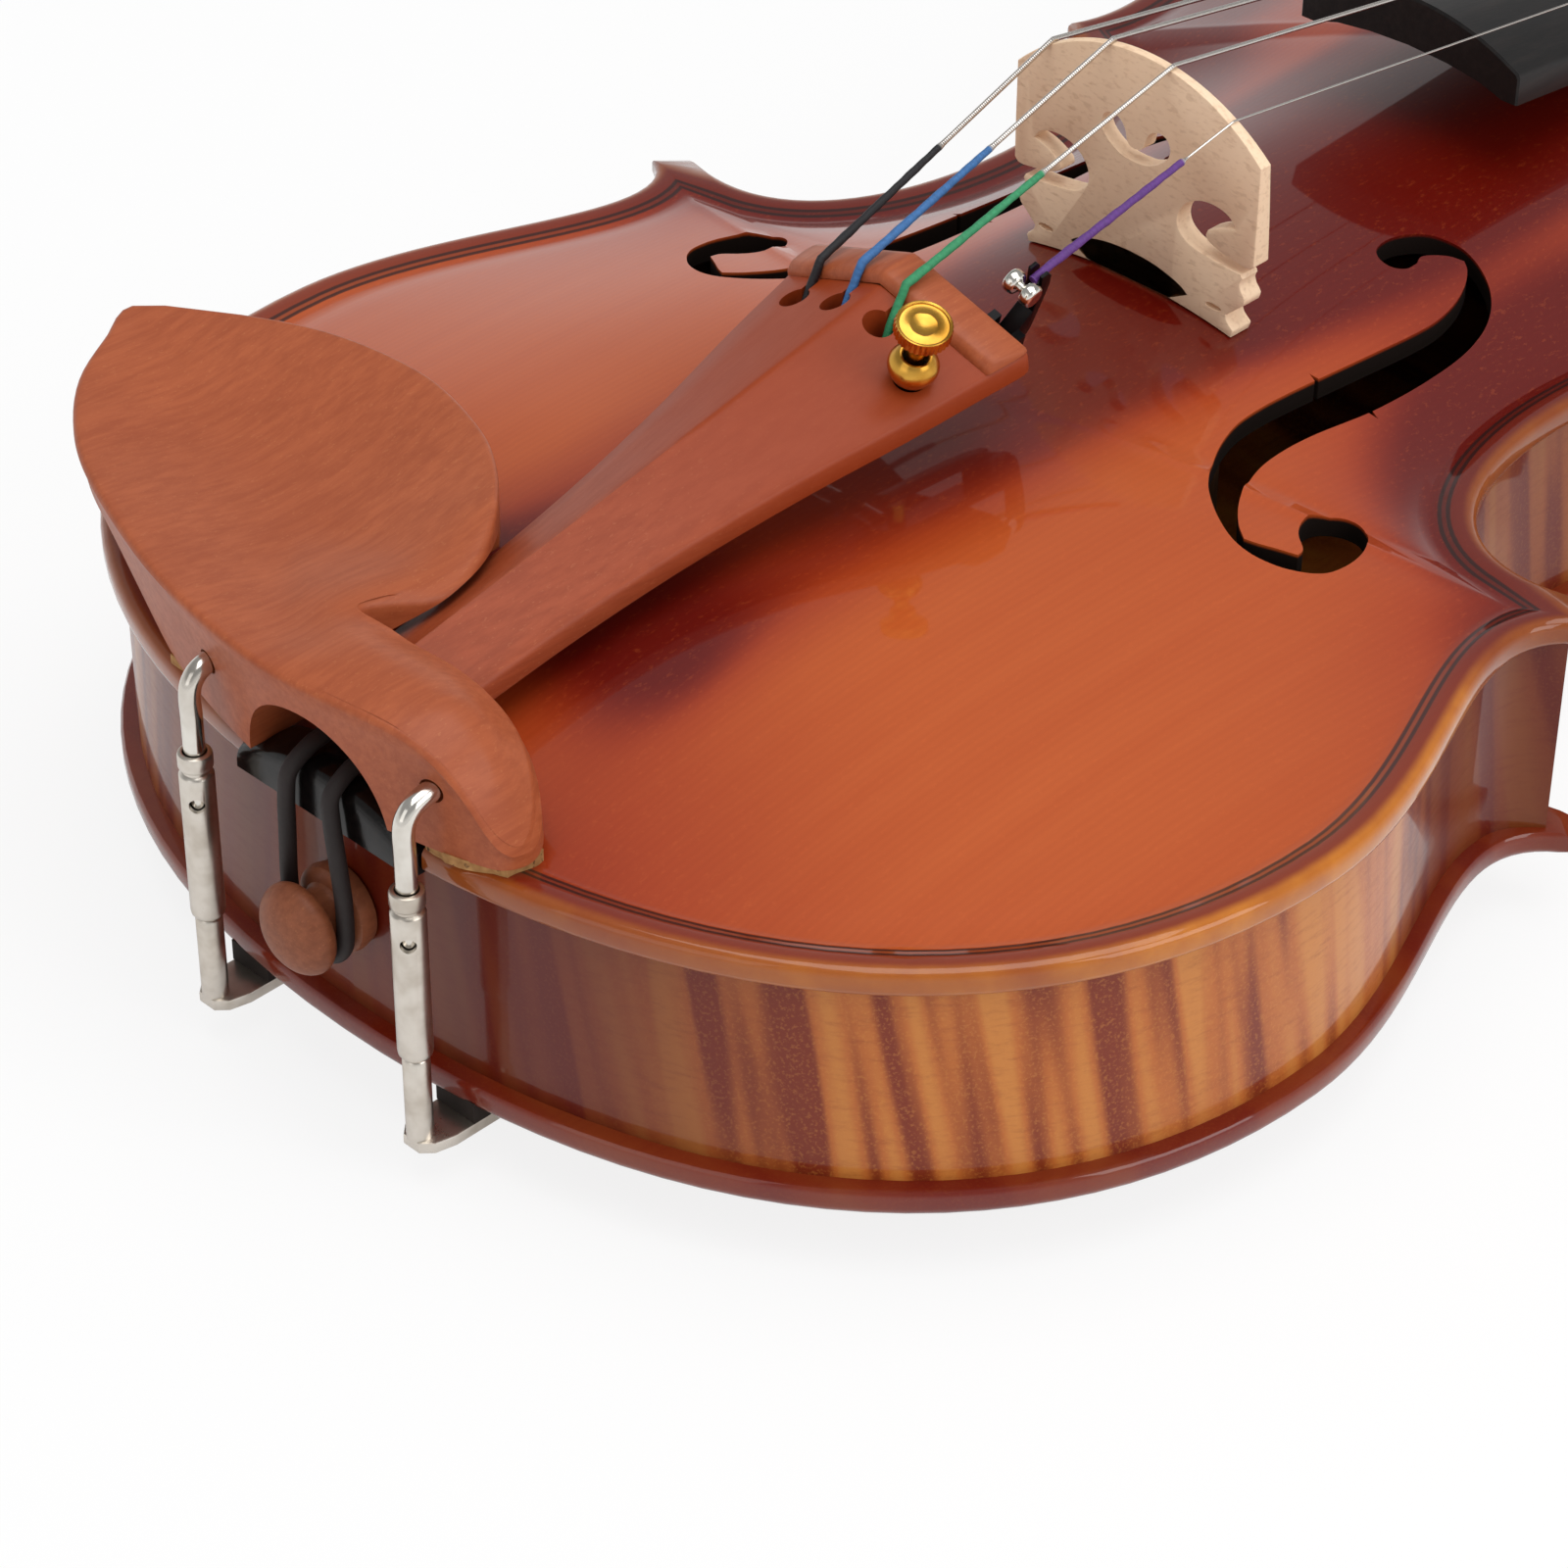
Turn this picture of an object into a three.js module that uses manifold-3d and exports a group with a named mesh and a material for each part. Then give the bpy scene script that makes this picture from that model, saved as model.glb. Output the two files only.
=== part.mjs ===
// A full size violin with chinrest, fine tuner and strings, in millimetres.
// X points to the treble side, Y from the tail to the scroll, Z out of the belly.
// The origin is the flat rest patch on the crown of the back.

import * as THREE from 'three';
import { mergeVertices } from 'three/addons/utils/BufferGeometryUtils.js';
import Module from 'manifold-3d';

const wasm = await Module();
wasm.setup();

const { PI, sin, cos, sqrt, abs, min, max, atan2, hypot, ceil } = Math;
const vec = (x, y, z) => new THREE.Vector3(x, y, z);
const flat = (x, y) => new THREE.Vector2(x, y);
const lerp = (a, b, t) => a + (b - a) * t;
const degrees = (angle) => (angle * PI) / 180;

// Clearances and overruns that several pieces share.
const fit = { glue: 0.3, running: 0.2, string: 0.2, overrun: 40, weld: 1e-4 };

// Outline of the body, measured from the tail edge.
const body = {
  length: 355,
  lowerWidth: 203,
  waistWidth: 111,
  upperWidth: 167,
  cornerFlat: 6.6,
  cornerCurl: 18.7,
  upperCurl: 17.2,
  waistHook: 26,
  upperHook: 13.4,
};

// Places along the body as shares of its length, and across it as shares of a bout's half width.
const bodyShares = {
  lowerWidest: 0.231,
  waist: 0.5324,
  upperWidest: 0.8197,
  lowerCorner: [0.9005, 0.411],
  upperCorner: [0.9281, 0.6459],
  spineFrom: 0.2366,
  spineTo: 0.8113,
  apex: 0.5634,
  bridge: 0.4383,
  rest: 0.605634,
};
const bodyAt = (alongShare) => body.length * alongShare;
const cornerAt = (width, [acrossShare, alongShare]) => flat((width / 2) * acrossShare, bodyAt(alongShare));
const lowerWidestY = bodyAt(bodyShares.lowerWidest);
const waistY = bodyAt(bodyShares.waist);
const upperWidestY = bodyAt(bodyShares.upperWidest);
const lowerCorner = cornerAt(body.lowerWidth, bodyShares.lowerCorner);
const upperCorner = cornerAt(body.upperWidth, bodyShares.upperCorner);
const spineFrom = bodyAt(bodyShares.spineFrom);
const spineTo = bodyAt(bodyShares.spineTo);
const apexY = bodyAt(bodyShares.apex);
const bridgeY = bodyAt(bodyShares.bridge);
const restPointY = bodyAt(bodyShares.rest);

// Arched plates, ribs, linings and blocks.
const plate = {
  edge: 4,
  edgeRound: 1,
  edgeCrest: 2.2,
  channel: 7,
  channelDrop: 0.8,
  rise: 16,
  backRise: 15,
  thickness: 3,
  droop: 1.6,
  backDroop: 1.1,
  margin: 7.2,
  hollowRun: 8,
  restCut: 0.8,
  buttonWidth: 21,
  buttonReach: 12,
};
const rib = { height: 32, thickness: 1.2, overhang: 2.7, lining: 2, liningHeight: 7.5, seam: 0.3 };
const block = { endWidth: 48, endDepth: 15, neckWidth: 54, neckDepth: 18, cornerReach: 24 };
const backPlane = plate.backRise - plate.restCut;
const bellyPlane = backPlane + rib.height;
const bellyEdgeTop = bellyPlane + plate.edge;

// Sound holes, given for the treble side and mirrored.
const eyeShares = { upper: [0.3982, 0.5414], lower: [0.5567, 0.3797] };
const soundHole = {
  upperEye: cornerAt(body.waistWidth, eyeShares.upper),
  lowerEye: cornerAt(body.lowerWidth, eyeShares.lower),
  upperRadius: 3.3,
  lowerRadius: 4.6,
  stem: 7.8,
  notch: 1.1,
};

// Neck, fingerboard, nut, pegbox and scroll.
const neck = {
  stop: 130,
  overstand: 5,
  slope: 0.113,
  nutWidth: 24,
  depthAtNut: 12,
  depthAtHeel: 14,
  heelWidth: 31,
  heelRun: 26,
  mortise: 6,
};
const board = { length: 266, endWidth: 42, edge: 5, radius: 42, scoop: 2.6, scoopLength: 128 };
const nut = { length: 6, proud: 0.9, bevel: 2.4 };
const pegbox = { length: 66, wall: 3.9, floor: 5, depth: 24, throatDepth: 17, throatWidth: 14, back: 6.5 };
const scroll = {
  radius: 21.5,
  eyeRadius: 4.6,
  halfWidth: 6.2,
  eyeHalfWidth: 20.5,
  turns: 2.25,
  flute: 1.5,
  axisAhead: 14,
  axisRise: 1,
};
const peg = {
  shaft: 7.4,
  shaftEnd: 6.2,
  collar: 9.6,
  collarLength: 3,
  reach: 12,
  headLength: 18,
  headWidth: 21,
  headThickness: 8.5,
  drop: 9,
  tip: 1.5,
};
const pegAlong = { g: 13, e: 26, d: 40, a: 53 };

// Strings: distance across at the bridge and the nut, and thickness.
const strings = {
  spacingAtBridge: 11.45,
  spacingAtNut: 5.5,
  silk: 1.3,
  ball: 3.6,
  thick: { g: 0.82, d: 0.78, a: 0.7, e: 0.34 },
};
const winding = { turns: 4, gap: 0.5, lift: 0.25, centreShare: 0.22 };

// Bridge, measured up from the crown of the belly.
const bridge = {
  height: 37.4,
  crownRadius: 33,
  halfWidth: 23.2,
  footThickness: 4.5,
  topThickness: 1.6,
};

// Tailpiece, its tail cord, saddle and end button.
const tailpiece = {
  length: 107,
  tailY: 6.5,
  tailZ: 55.6,
  tilt: degrees(10.2),
  wideHalf: 20.3,
  narrowHalf: 8.8,
  edge: 3.4,
  ridge: 7.4,
  narrowRidge: 4.6,
  shell: 4.4,
  holeFromEnd: 15.5,
  hole: 4.2,
  slot: 1.9,
  fretWidth: 7.4,
  fretHeight: 1.5,
  spacing: 8.4,
};
const saddle = { width: 34.6, front: 0.9, depth: 7, top: 7.6, shoulder: 3.2 };
const button = {
  head: 13.4,
  headLength: 5.4,
  neck: 8,
  neckLength: 3.4,
  collar: 13,
  collarLength: 3.2,
  shaft: 7.6,
  shaftEnd: 6.6,
  shaftLength: 17,
  rise: 1,
};
const tailcord = { thickness: 2.4, spread: 3.9, lead: 12 };

// Fine tuner of the E string, in the frame of the tailpiece's treble slope.
const tuner = {
  across: 12.6,
  collar: 9.4,
  collarHeight: 5.2,
  stem: 2.6,
  head: 9.8,
  headHeight: 3.6,
  headGap: 3.4,
  frameWidth: 6,
  frameThickness: 1.4,
  frameGap: 1.6,
  pin: 2,
  armThickness: 1.6,
  armDrop: 6.6,
  hookRise: 11.4,
  hookAhead: 5,
  pinAhead: 19.5,
  wall: 0.9,
};

// Chinrest and its two clamps.
const chinrest = {
  left: 86,
  right: 37.5,
  back: 56,
  front: 4.6,
  rimZ: 71.5,
  ridgeZ: 70,
  dish: 5.2,
  rimThickness: 7,
  footZ: 2.2,
  archHalf: 12.6,
  archTop: 64.6,
  padFrom: 18,
  padWidth: 19,
  padDepth: 6,
  padFront: 1.2,
  barDrop: 9,
  barCrown: 1.2,
  barBackDrop: 5,
  frontLean: 5,
  tailClearance: 1.2,
  cell: 6.2,
};
const clamp = {
  apart: 42,
  axisY: -4.6,
  rod: 3,
  barrel: 4.8,
  bore: 3.4,
  barrelFrom: 21.5,
  barrelLength: 27,
  wrenchHole: 2.2,
  wrenchUp: 19.5,
  hookBend: 4,
  hookTop: 61.8,
  hookIn: 6.5,
  footWidth: 7.5,
  footThickness: 1.8,
  footReach: 13,
  footBottom: 6.2,
  pad: 1.4,
  stemHidden: 11,
};

// Facet counts.
const facets = { bout: 6, waist: 6, dense: 24, round: 12, small: 8, cord: 6, turn: 16, scrollTurn: 16 };

const paint = {
  spruce: ['#b5502a', 0.32],
  maple: ['#b3602c', 0.35],
  plainWood: ['#d8bd8e', 0.75],
  bridgeMaple: ['#cda276', 0.6],
  stained: ['#a9512f', 0.5],
  ebony: ['#141214', 0.4],
};

function woodOf(name) {
  const [color, roughness] = paint[name];
  return new THREE.MeshStandardMaterial({ color, roughness, metalness: 0 });
}

function metalOf(color, roughness) {
  return new THREE.MeshStandardMaterial({ color, roughness, metalness: 1 });
}

// Solids

function welded(geometry) {
  const bare = new THREE.BufferGeometry();
  bare.setAttribute('position', geometry.getAttribute('position').clone());
  if (geometry.index) bare.setIndex(geometry.index.clone());
  return mergeVertices(bare, fit.weld);
}

function solidOf(geometry) {
  const shape = welded(geometry);
  const corners = shape.index.array;
  const kept = [];
  for (let i = 0; i < corners.length; i += 3) {
    const [a, b, c] = [corners[i], corners[i + 1], corners[i + 2]];
    if (a !== b && b !== c && c !== a) kept.push(a, b, c);
  }
  const mesh = new wasm.Mesh({
    numProp: 3,
    vertProperties: new Float32Array(shape.getAttribute('position').array),
    triVerts: new Uint32Array(kept),
  });
  mesh.merge();
  return new wasm.Manifold(mesh);
}

function geometryOf(solid) {
  const mesh = solid.getMesh();
  const geometry = new THREE.BufferGeometry();
  geometry.setAttribute('position', new THREE.BufferAttribute(mesh.vertProperties, 3));
  geometry.setIndex(new THREE.BufferAttribute(mesh.triVerts, 1));
  geometry.computeVertexNormals();
  return geometry;
}

function largest(solid) {
  return solid.decompose().reduce((best, piece) => (piece.volume() > best.volume() ? piece : best));
}

// A closed skin over rings of points with the same count, its end rings capped.
function loft(rings) {
  const count = rings[0].length;
  const points = rings.flat();
  const faces = [];
  for (let r = 0; r + 1 < rings.length; r += 1) {
    for (let i = 0; i < count; i += 1) {
      const j = (i + 1) % count;
      const [a, b, c, d] = [r * count + i, r * count + j, (r + 1) * count + j, (r + 1) * count + i];
      faces.push(a, b, c, a, c, d);
    }
  }
  faces.push(...capFaces(rings[0], 0, true));
  faces.push(...capFaces(rings.at(-1), (rings.length - 1) * count, false));
  return facing(points, faces);
}

function capFaces(ring, first, flipped) {
  const middle = ring.reduce((sum, p) => sum.add(p), vec(0, 0, 0)).divideScalar(ring.length);
  const normal = vec(0, 0, 0);
  ring.forEach((p, i) => {
    const next = ring[(i + 1) % ring.length];
    normal.add(p.clone().sub(middle).cross(next.clone().sub(middle)));
  });
  normal.normalize();
  const across = ring[0].clone().sub(middle).projectOnPlane(normal).normalize();
  const up = normal.clone().cross(across);
  const drawn = ring.map((p) => flat(p.clone().sub(middle).dot(across), p.clone().sub(middle).dot(up)));
  return THREE.ShapeUtils.triangulateShape(drawn, []).flatMap(([a, b, c]) => {
    return flipped ? [first + a, first + c, first + b] : [first + a, first + b, first + c];
  });
}

// Turns all faces outward when the skin is inside out.
function facing(points, faces) {
  let volume = 0;
  for (let i = 0; i < faces.length; i += 3) {
    const [a, b, c] = [points[faces[i]], points[faces[i + 1]], points[faces[i + 2]]];
    volume += a.dot(b.clone().cross(c));
  }
  const order = volume < 0 ? faces.slice().reverse() : faces;
  const geometry = new THREE.BufferGeometry().setFromPoints(points);
  geometry.setIndex(order);
  return geometry;
}

function box(x0, x1, y0, y1, z0, z1) {
  const shape = new THREE.BoxGeometry(x1 - x0, y1 - y0, z1 - z0);
  return shape.translate((x0 + x1) / 2, (y0 + y1) / 2, (z0 + z1) / 2);
}

// A prism of an outline drawn in the XY plane.
function prism(outline, z0, z1) {
  const low = outline.map((p) => vec(p.x, p.y, z0));
  const high = outline.map((p) => vec(p.x, p.y, z1));
  return loft([low, high]);
}

// A round bar between two points, with a radius at each end.
function bar(from, to, radiusFrom, radiusTo = radiusFrom, sides = facets.small) {
  const along = to.clone().sub(from);
  const shape = new THREE.CylinderGeometry(radiusTo, radiusFrom, along.length(), sides);
  const turn = new THREE.Quaternion().setFromUnitVectors(vec(0, 1, 0), along.normalize());
  const middle = from.clone().add(to).multiplyScalar(0.5);
  return shape.applyQuaternion(turn).translate(middle.x, middle.y, middle.z);
}

// A round cord through points, its radius given at each point.
function cord(points, radii, sides = facets.cord) {
  const rings = points.map((p, i) => {
    const before = points[max(i - 1, 0)];
    const after = points[min(i + 1, points.length - 1)];
    const ahead = after.clone().sub(before).normalize();
    const side = abs(ahead.x) > 0.9 ? vec(0, 0, 1) : vec(1, 0, 0);
    const across = side.projectOnPlane(ahead).normalize();
    const up = ahead.clone().cross(across);
    return Array.from({ length: sides }, (_, k) => {
      const angle = (2 * PI * k) / sides;
      const reach = across.clone().multiplyScalar(cos(angle)).addScaledVector(up, sin(angle));
      return p.clone().addScaledVector(reach, radii[i]);
    });
  });
  return loft(rings);
}

// Turns a profile of radius and height about the Z axis.
function turned(profile, sides = facets.round) {
  const points = profile.map(([radius, height]) => flat(radius, height));
  return new THREE.LatheGeometry(points, sides).rotateX(PI / 2);
}

const group = new THREE.Group();
const root = new THREE.Group();
group.add(root);

function add(name, geometry, material, parent = root) {
  const mesh = new THREE.Mesh(geometry, material);
  mesh.name = name;
  parent.add(mesh);
  return mesh;
}

// Outline of the body

function curvePoints(points, count) {
  return new THREE.CubicBezierCurve(...points).getPoints(count);
}

// The treble half of the outline from the tail to the neck, as three bouts.
function halfOutline(steps) {
  const halfLower = body.lowerWidth / 2;
  const halfUpper = body.upperWidth / 2;
  const halfWaist = body.waistWidth / 2;
  const low = lowerCorner;
  const lowTop = flat(low.x - body.cornerFlat * 0.63, low.y + body.cornerFlat * 0.777);
  const high = upperCorner;
  const highLow = flat(high.x - body.cornerFlat * 0.65, high.y - body.cornerFlat * 0.76);
  const lower = [
    ...curvePoints([flat(0, 0), flat(halfLower * 0.655, 0), flat(halfLower, lowerWidestY * 0.42),
      flat(halfLower, lowerWidestY)], steps.bout),
    ...curvePoints([flat(halfLower, lowerWidestY),
      flat(halfLower, lerp(lowerWidestY, low.y, 0.56)),
      flat(low.x - body.cornerCurl * 0.88, low.y - body.cornerCurl * 0.48), low], steps.bout).slice(1),
  ];
  const waist = [
    ...curvePoints([lowTop, flat(lowTop.x - body.waistHook * 0.985, lowTop.y - body.waistHook * 0.17),
      flat(halfWaist, lerp(lowTop.y, waistY, 0.4)), flat(halfWaist, waistY)], steps.waist),
    ...curvePoints([flat(halfWaist, waistY), flat(halfWaist, lerp(waistY, highLow.y, 0.5)),
      flat(highLow.x - body.upperHook * 0.97, highLow.y + body.upperHook * 0.2), highLow],
    steps.waist).slice(1),
  ];
  const upper = [
    ...curvePoints([high, flat(high.x - body.upperCurl * 0.41, high.y + body.upperCurl * 0.91),
      flat(halfUpper, lerp(high.y, upperWidestY, 0.52)), flat(halfUpper, upperWidestY)],
    steps.bout),
    ...curvePoints([flat(halfUpper, upperWidestY),
      flat(halfUpper, lerp(upperWidestY, body.length, 0.56)),
      flat(halfUpper * 0.57, body.length), flat(0, body.length)], steps.bout).slice(1),
  ];
  return { lower, waist, upper };
}

// Where each bout's spokes meet the spine down the middle of the body.
const spineShares = { lowerCorner: 0.16, upperCorner: 0.86 };

function spineOf(bout, index, count) {
  const share = index / (count - 1);
  const { lowerCorner, upperCorner } = spineShares;
  const from = { lower: 0, waist: lowerCorner, upper: upperCorner }[bout];
  const to = { lower: lowerCorner, waist: upperCorner, upper: 1 }[bout];
  const eased = bout === 'lower' ? share ** 1.6 : bout === 'upper' ? 1 - (1 - share) ** 1.6 : share;
  return lerp(spineFrom, spineTo, lerp(from, to, eased));
}

function ringStations(steps) {
  const half = halfOutline(steps);
  const right = ['lower', 'waist', 'upper'].flatMap((bout) => {
    return half[bout].map((p, i) => ({ p, spine: flat(0, spineOf(bout, i, half[bout].length)) }));
  });
  const left = right.slice(1, -1).reverse().map(({ p, spine }) => ({ p: flat(-p.x, p.y), spine }));
  return [...right, ...left];
}

const stations = ringStations({ bout: facets.bout, waist: facets.waist });
const denseEdge = ringStations({ bout: facets.dense, waist: facets.dense }).map(({ p }) => p);

// Distance from a point inside the body to its outline.
function edgeDistance(x, y) {
  let nearest = Infinity;
  for (let i = 0; i < denseEdge.length; i += 1) {
    const a = denseEdge[i];
    const b = denseEdge[(i + 1) % denseEdge.length];
    const run = flat(b.x - a.x, b.y - a.y);
    const along = ((x - a.x) * run.x + (y - a.y) * run.y) / run.lengthSq();
    const t = min(1, max(0, along));
    nearest = min(nearest, hypot(a.x + run.x * t - x, a.y + run.y * t - y));
  }
  return nearest;
}

function spineDistance(x, y) {
  return hypot(x, y - min(spineTo, max(spineFrom, y)));
}

// The point on a spoke that lies a given distance inside the outline.
function inset({ p, spine }, distance) {
  if (distance <= 0) return p.clone();
  let near = 0;
  let far = 1;
  for (let i = 0; i < 26; i += 1) {
    const middle = (near + far) / 2;
    const at = p.clone().lerp(spine, middle);
    if (edgeDistance(at.x, at.y) < distance) near = middle;
    else far = middle;
  }
  return p.clone().lerp(spine, (near + far) / 2);
}

function ringAt(distance) {
  return stations.map((station) => inset(station, distance));
}

// Height of a plate's outer surface over its gluing plane.
function archHeight(x, y, rise, droop) {
  const edge = edgeDistance(x, y);
  if (edge < plate.channel) {
    const run = max(0, (edge - plate.edgeCrest) / (plate.channel - plate.edgeCrest));
    return plate.edge - plate.channelDrop * (1 - cos(PI * run)) / 2;
  }
  const past = edge - plate.channel;
  const share = past / (past + spineDistance(x, y));
  const along = (min(spineTo, max(spineFrom, y)) - apexY) / (spineTo - apexY);
  const crown = rise - droop * along * along;
  const low = plate.edge - plate.channelDrop;
  return low + (crown - low) * (1 - cos(PI * share ** 0.86)) / 2;
}

// How far the flat gluing surface reaches in from the edge: wider over the blocks.
function gluingMargin(p) {
  const nearEnd = abs(p.x) < block.endWidth / 2 && p.y < lowerWidestY ? block.endDepth : 0;
  const nearNeck = abs(p.x) < block.neckWidth / 2 && p.y > upperWidestY ? block.neckDepth : 0;
  return max(plate.margin, nearEnd + rib.overhang, nearNeck + rib.overhang);
}

const archShares = [0.2, 0.45, 0.75];
const restArchShares = [0.2, 0.45, 0.7, 0.86];
const hollowShares = [0.5];

// A carved plate: gluing face, rounded edge, arched outside and hollowed inside.
function carvedPlate(rise, droop, shares, restHeight) {
  const height = (p) => min(archHeight(p.x, p.y, rise, droop), restHeight);
  const rings = [];
  const ring = (points, heights) => rings.push(points.map((p, i) => vec(p.x, p.y, heights(p, i))));
  const rounded = ringAt(plate.edgeRound);
  const channel = ringAt(plate.channel);
  const spine = stations.map((station) => station.spine);
  const between = (share) => channel.map((p, i) => p.clone().lerp(spine[i], share));
  ring(rounded, () => 0);
  ring(stations.map(({ p }) => p), () => plate.edgeRound);
  ring(stations.map(({ p }) => p), () => plate.edge - plate.edgeRound);
  ring(rounded, () => plate.edge - plate.edgeRound * 0.25);
  ring(ringAt(plate.edgeCrest), () => plate.edge);
  ring(channel, height);
  shares.forEach((share) => ring(between(share), height));
  ring(spine, height);
  const margins = stations.map(({ p }) => gluingMargin(p));
  const margin = stations.map((station, i) => inset(station, margins[i]));
  const hollow = stations.map((station, i) => inset(station, margins[i] + plate.hollowRun));
  const inner = (p) => height(p) - plate.thickness;
  const innerRings = [];
  hollowShares.slice().reverse().forEach((share) => {
    const points = hollow.map((p, i) => p.clone().lerp(spine[i], share));
    innerRings.push(points.map((p) => vec(p.x, p.y, inner(p))));
  });
  innerRings.push(hollow.map((p) => vec(p.x, p.y, max(inner(p), plate.hollowRun / 8))));
  innerRings.push(margin.map((p) => vec(p.x, p.y, 0)));
  const innerSpine = spine.map((p) => vec(p.x, p.y, inner(p)));
  return plateSkin([...rings], [innerSpine, ...innerRings]);
}

// Joins the outer rings and the inner rings, which close on themselves along the spine.
function plateSkin(outer, inner) {
  const count = outer[0].length;
  const points = [...outer.flat(), ...inner.flat()];
  const faces = [];
  const strip = (a, b) => {
    for (let i = 0; i < count; i += 1) {
      const j = (i + 1) % count;
      faces.push(a + i, a + j, b + j, a + i, b + j, b + i);
    }
  };
  for (let r = 0; r + 1 < outer.length; r += 1) strip(r * count, (r + 1) * count);
  const start = outer.length * count;
  for (let r = 0; r + 1 < inner.length; r += 1) strip(start + r * count, start + (r + 1) * count);
  strip(start + (inner.length - 1) * count, 0);
  return facing(points, faces);
}

// Turns a plate from heights over its gluing plane into its place on the body.
function asBack(geometry) {
  const shape = geometry.clone().scale(1, 1, -1);
  const faces = Array.from(shape.index.array).reverse();
  shape.setIndex(faces);
  return shape.translate(0, 0, backPlane);
}

// Sound holes

// Centre line from the upper eye to the lower eye, as shares of the step between the eyes.
const stemAcrossShares = [0, 0.12, 0.3, 0.47, 0.57, 0.575, 0.49, 0.385, 0.4, 0.5, 0.64, 0.82, 1];
const stemUpShares = [1, 1.105, 1.125, 1.055, 0.92, 0.72, 0.43, 0.2, 0.03, -0.075, -0.14, -0.13, 0];
const stemWidthShares = [0.1, 0.52, 0.3, 0.32, 0.72, 0.92, 1, 0.95, 0.85, 0.52, 0.24, 0.5, 0.1];

function soundHoleCutter(side) {
  const { upperEye, lowerEye } = soundHole;
  const middle = stemAcrossShares.map((share, i) => flat(
    lerp(upperEye.x, lowerEye.x, share),
    lerp(lowerEye.y, upperEye.y, stemUpShares[i]),
  ));
  const centre = new THREE.SplineCurve(middle);
  const widths = new THREE.SplineCurve(stemWidthShares.map((share, i) => flat(i, share * soundHole.stem)));
  const steps = ceil((middle.length - 1) * 1.5);
  const leftEdge = [];
  const rightEdge = [];
  for (let i = 0; i <= steps; i += 1) {
    const at = centre.getPoint(i / steps);
    const ahead = centre.getTangent(i / steps);
    const half = widths.getPoint(i / steps).y / 2;
    leftEdge.push(flat(at.x - ahead.y * half, at.y + ahead.x * half));
    rightEdge.push(flat(at.x + ahead.y * half, at.y - ahead.x * half));
  }
  const low = bellyPlane - plate.edge;
  const high = bellyPlane + plate.rise + plate.edge;
  const mirrored = (p) => flat(p.x * side, p.y);
  const eye = (centreOf, radius, sides) => {
    return Array.from({ length: sides }, (_, k) => {
      const angle = (2 * PI * k) / sides;
      return flat(centreOf.x + radius * cos(angle), centreOf.y + radius * sin(angle));
    });
  };
  const notchAt = centre.getPoint(0.5);
  const notchReach = soundHole.stem / 2 + soundHole.notch;
  const notch = [
    flat(notchAt.x - notchReach, notchAt.y),
    flat(notchAt.x, notchAt.y - soundHole.notch),
    flat(notchAt.x + notchReach, notchAt.y),
    flat(notchAt.x, notchAt.y + soundHole.notch),
  ];
  const outlines = [
    [...leftEdge, ...rightEdge.reverse()],
    eye(upperEye, soundHole.upperRadius, 12),
    eye(lowerEye, soundHole.lowerRadius, 14),
    notch,
  ];
  return outlines
    .map((outline) => solidOf(prism(outline.map(mirrored), low, high)))
    .reduce((sum, piece) => sum.add(piece));
}

// Body pieces

function saddleNotch(clearance) {
  const half = saddle.width / 2 + clearance;
  return box(-half, half, -fit.overrun, saddle.depth + clearance, bellyPlane, bellyEdgeTop + fit.overrun);
}

const belly = solidOf(carvedPlate(plate.rise, plate.droop, archShares, Infinity).translate(0, 0, bellyPlane));
const heelCutter = solidOf(heelRoot(fit.glue));
const topPlate = belly
  .subtract(soundHoleCutter(1))
  .subtract(soundHoleCutter(-1))
  .subtract(solidOf(saddleNotch(fit.glue)))
  .subtract(heelCutter);

function backButton() {
  const sides = facets.round;
  const half = plate.buttonWidth / 2;
  const arc = Array.from({ length: sides + 1 }, (_, k) => {
    const angle = (PI * k) / sides;
    return flat(half * cos(angle), body.length + plate.buttonReach - half + half * sin(angle));
  });
  const rooted = [...arc, flat(-half, body.length - plate.channel), flat(half, body.length - plate.channel)];
  return prism(rooted, backPlane - plate.edge, backPlane);
}

const restHeight = plate.backRise - plate.restCut;
const backSolid = solidOf(asBack(carvedPlate(plate.backRise, plate.backDroop, restArchShares, restHeight)));
const backPlate = backSolid.add(solidOf(backButton()));

// Ribs with their linings, cut from bands that follow the outline.
function band(outer, inner, z0, z1) {
  return solidOf(prism(ringAt(outer), z0, z1)).subtract(
    solidOf(prism(ringAt(inner), z0 - fit.overrun, z1 + fit.overrun)),
  );
}

const ribInner = rib.overhang + rib.thickness;
const liningInner = ribInner + rib.lining;
const liningOuter = ribInner - rib.thickness / 2;

// A wide flat cutter along a line in plan, of the seam's width.
function seamCutter(from, to) {
  const run = flat(to.x - from.x, to.y - from.y).normalize();
  const half = rib.seam / 2;
  const corners = [
    flat(from.x - run.y * half, from.y + run.x * half),
    flat(to.x - run.y * half, to.y + run.x * half),
    flat(to.x + run.y * half, to.y - run.x * half),
    flat(from.x + run.y * half, from.y - run.x * half),
  ];
  return solidOf(prism(corners, backPlane - fit.overrun, bellyPlane + fit.overrun));
}

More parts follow.
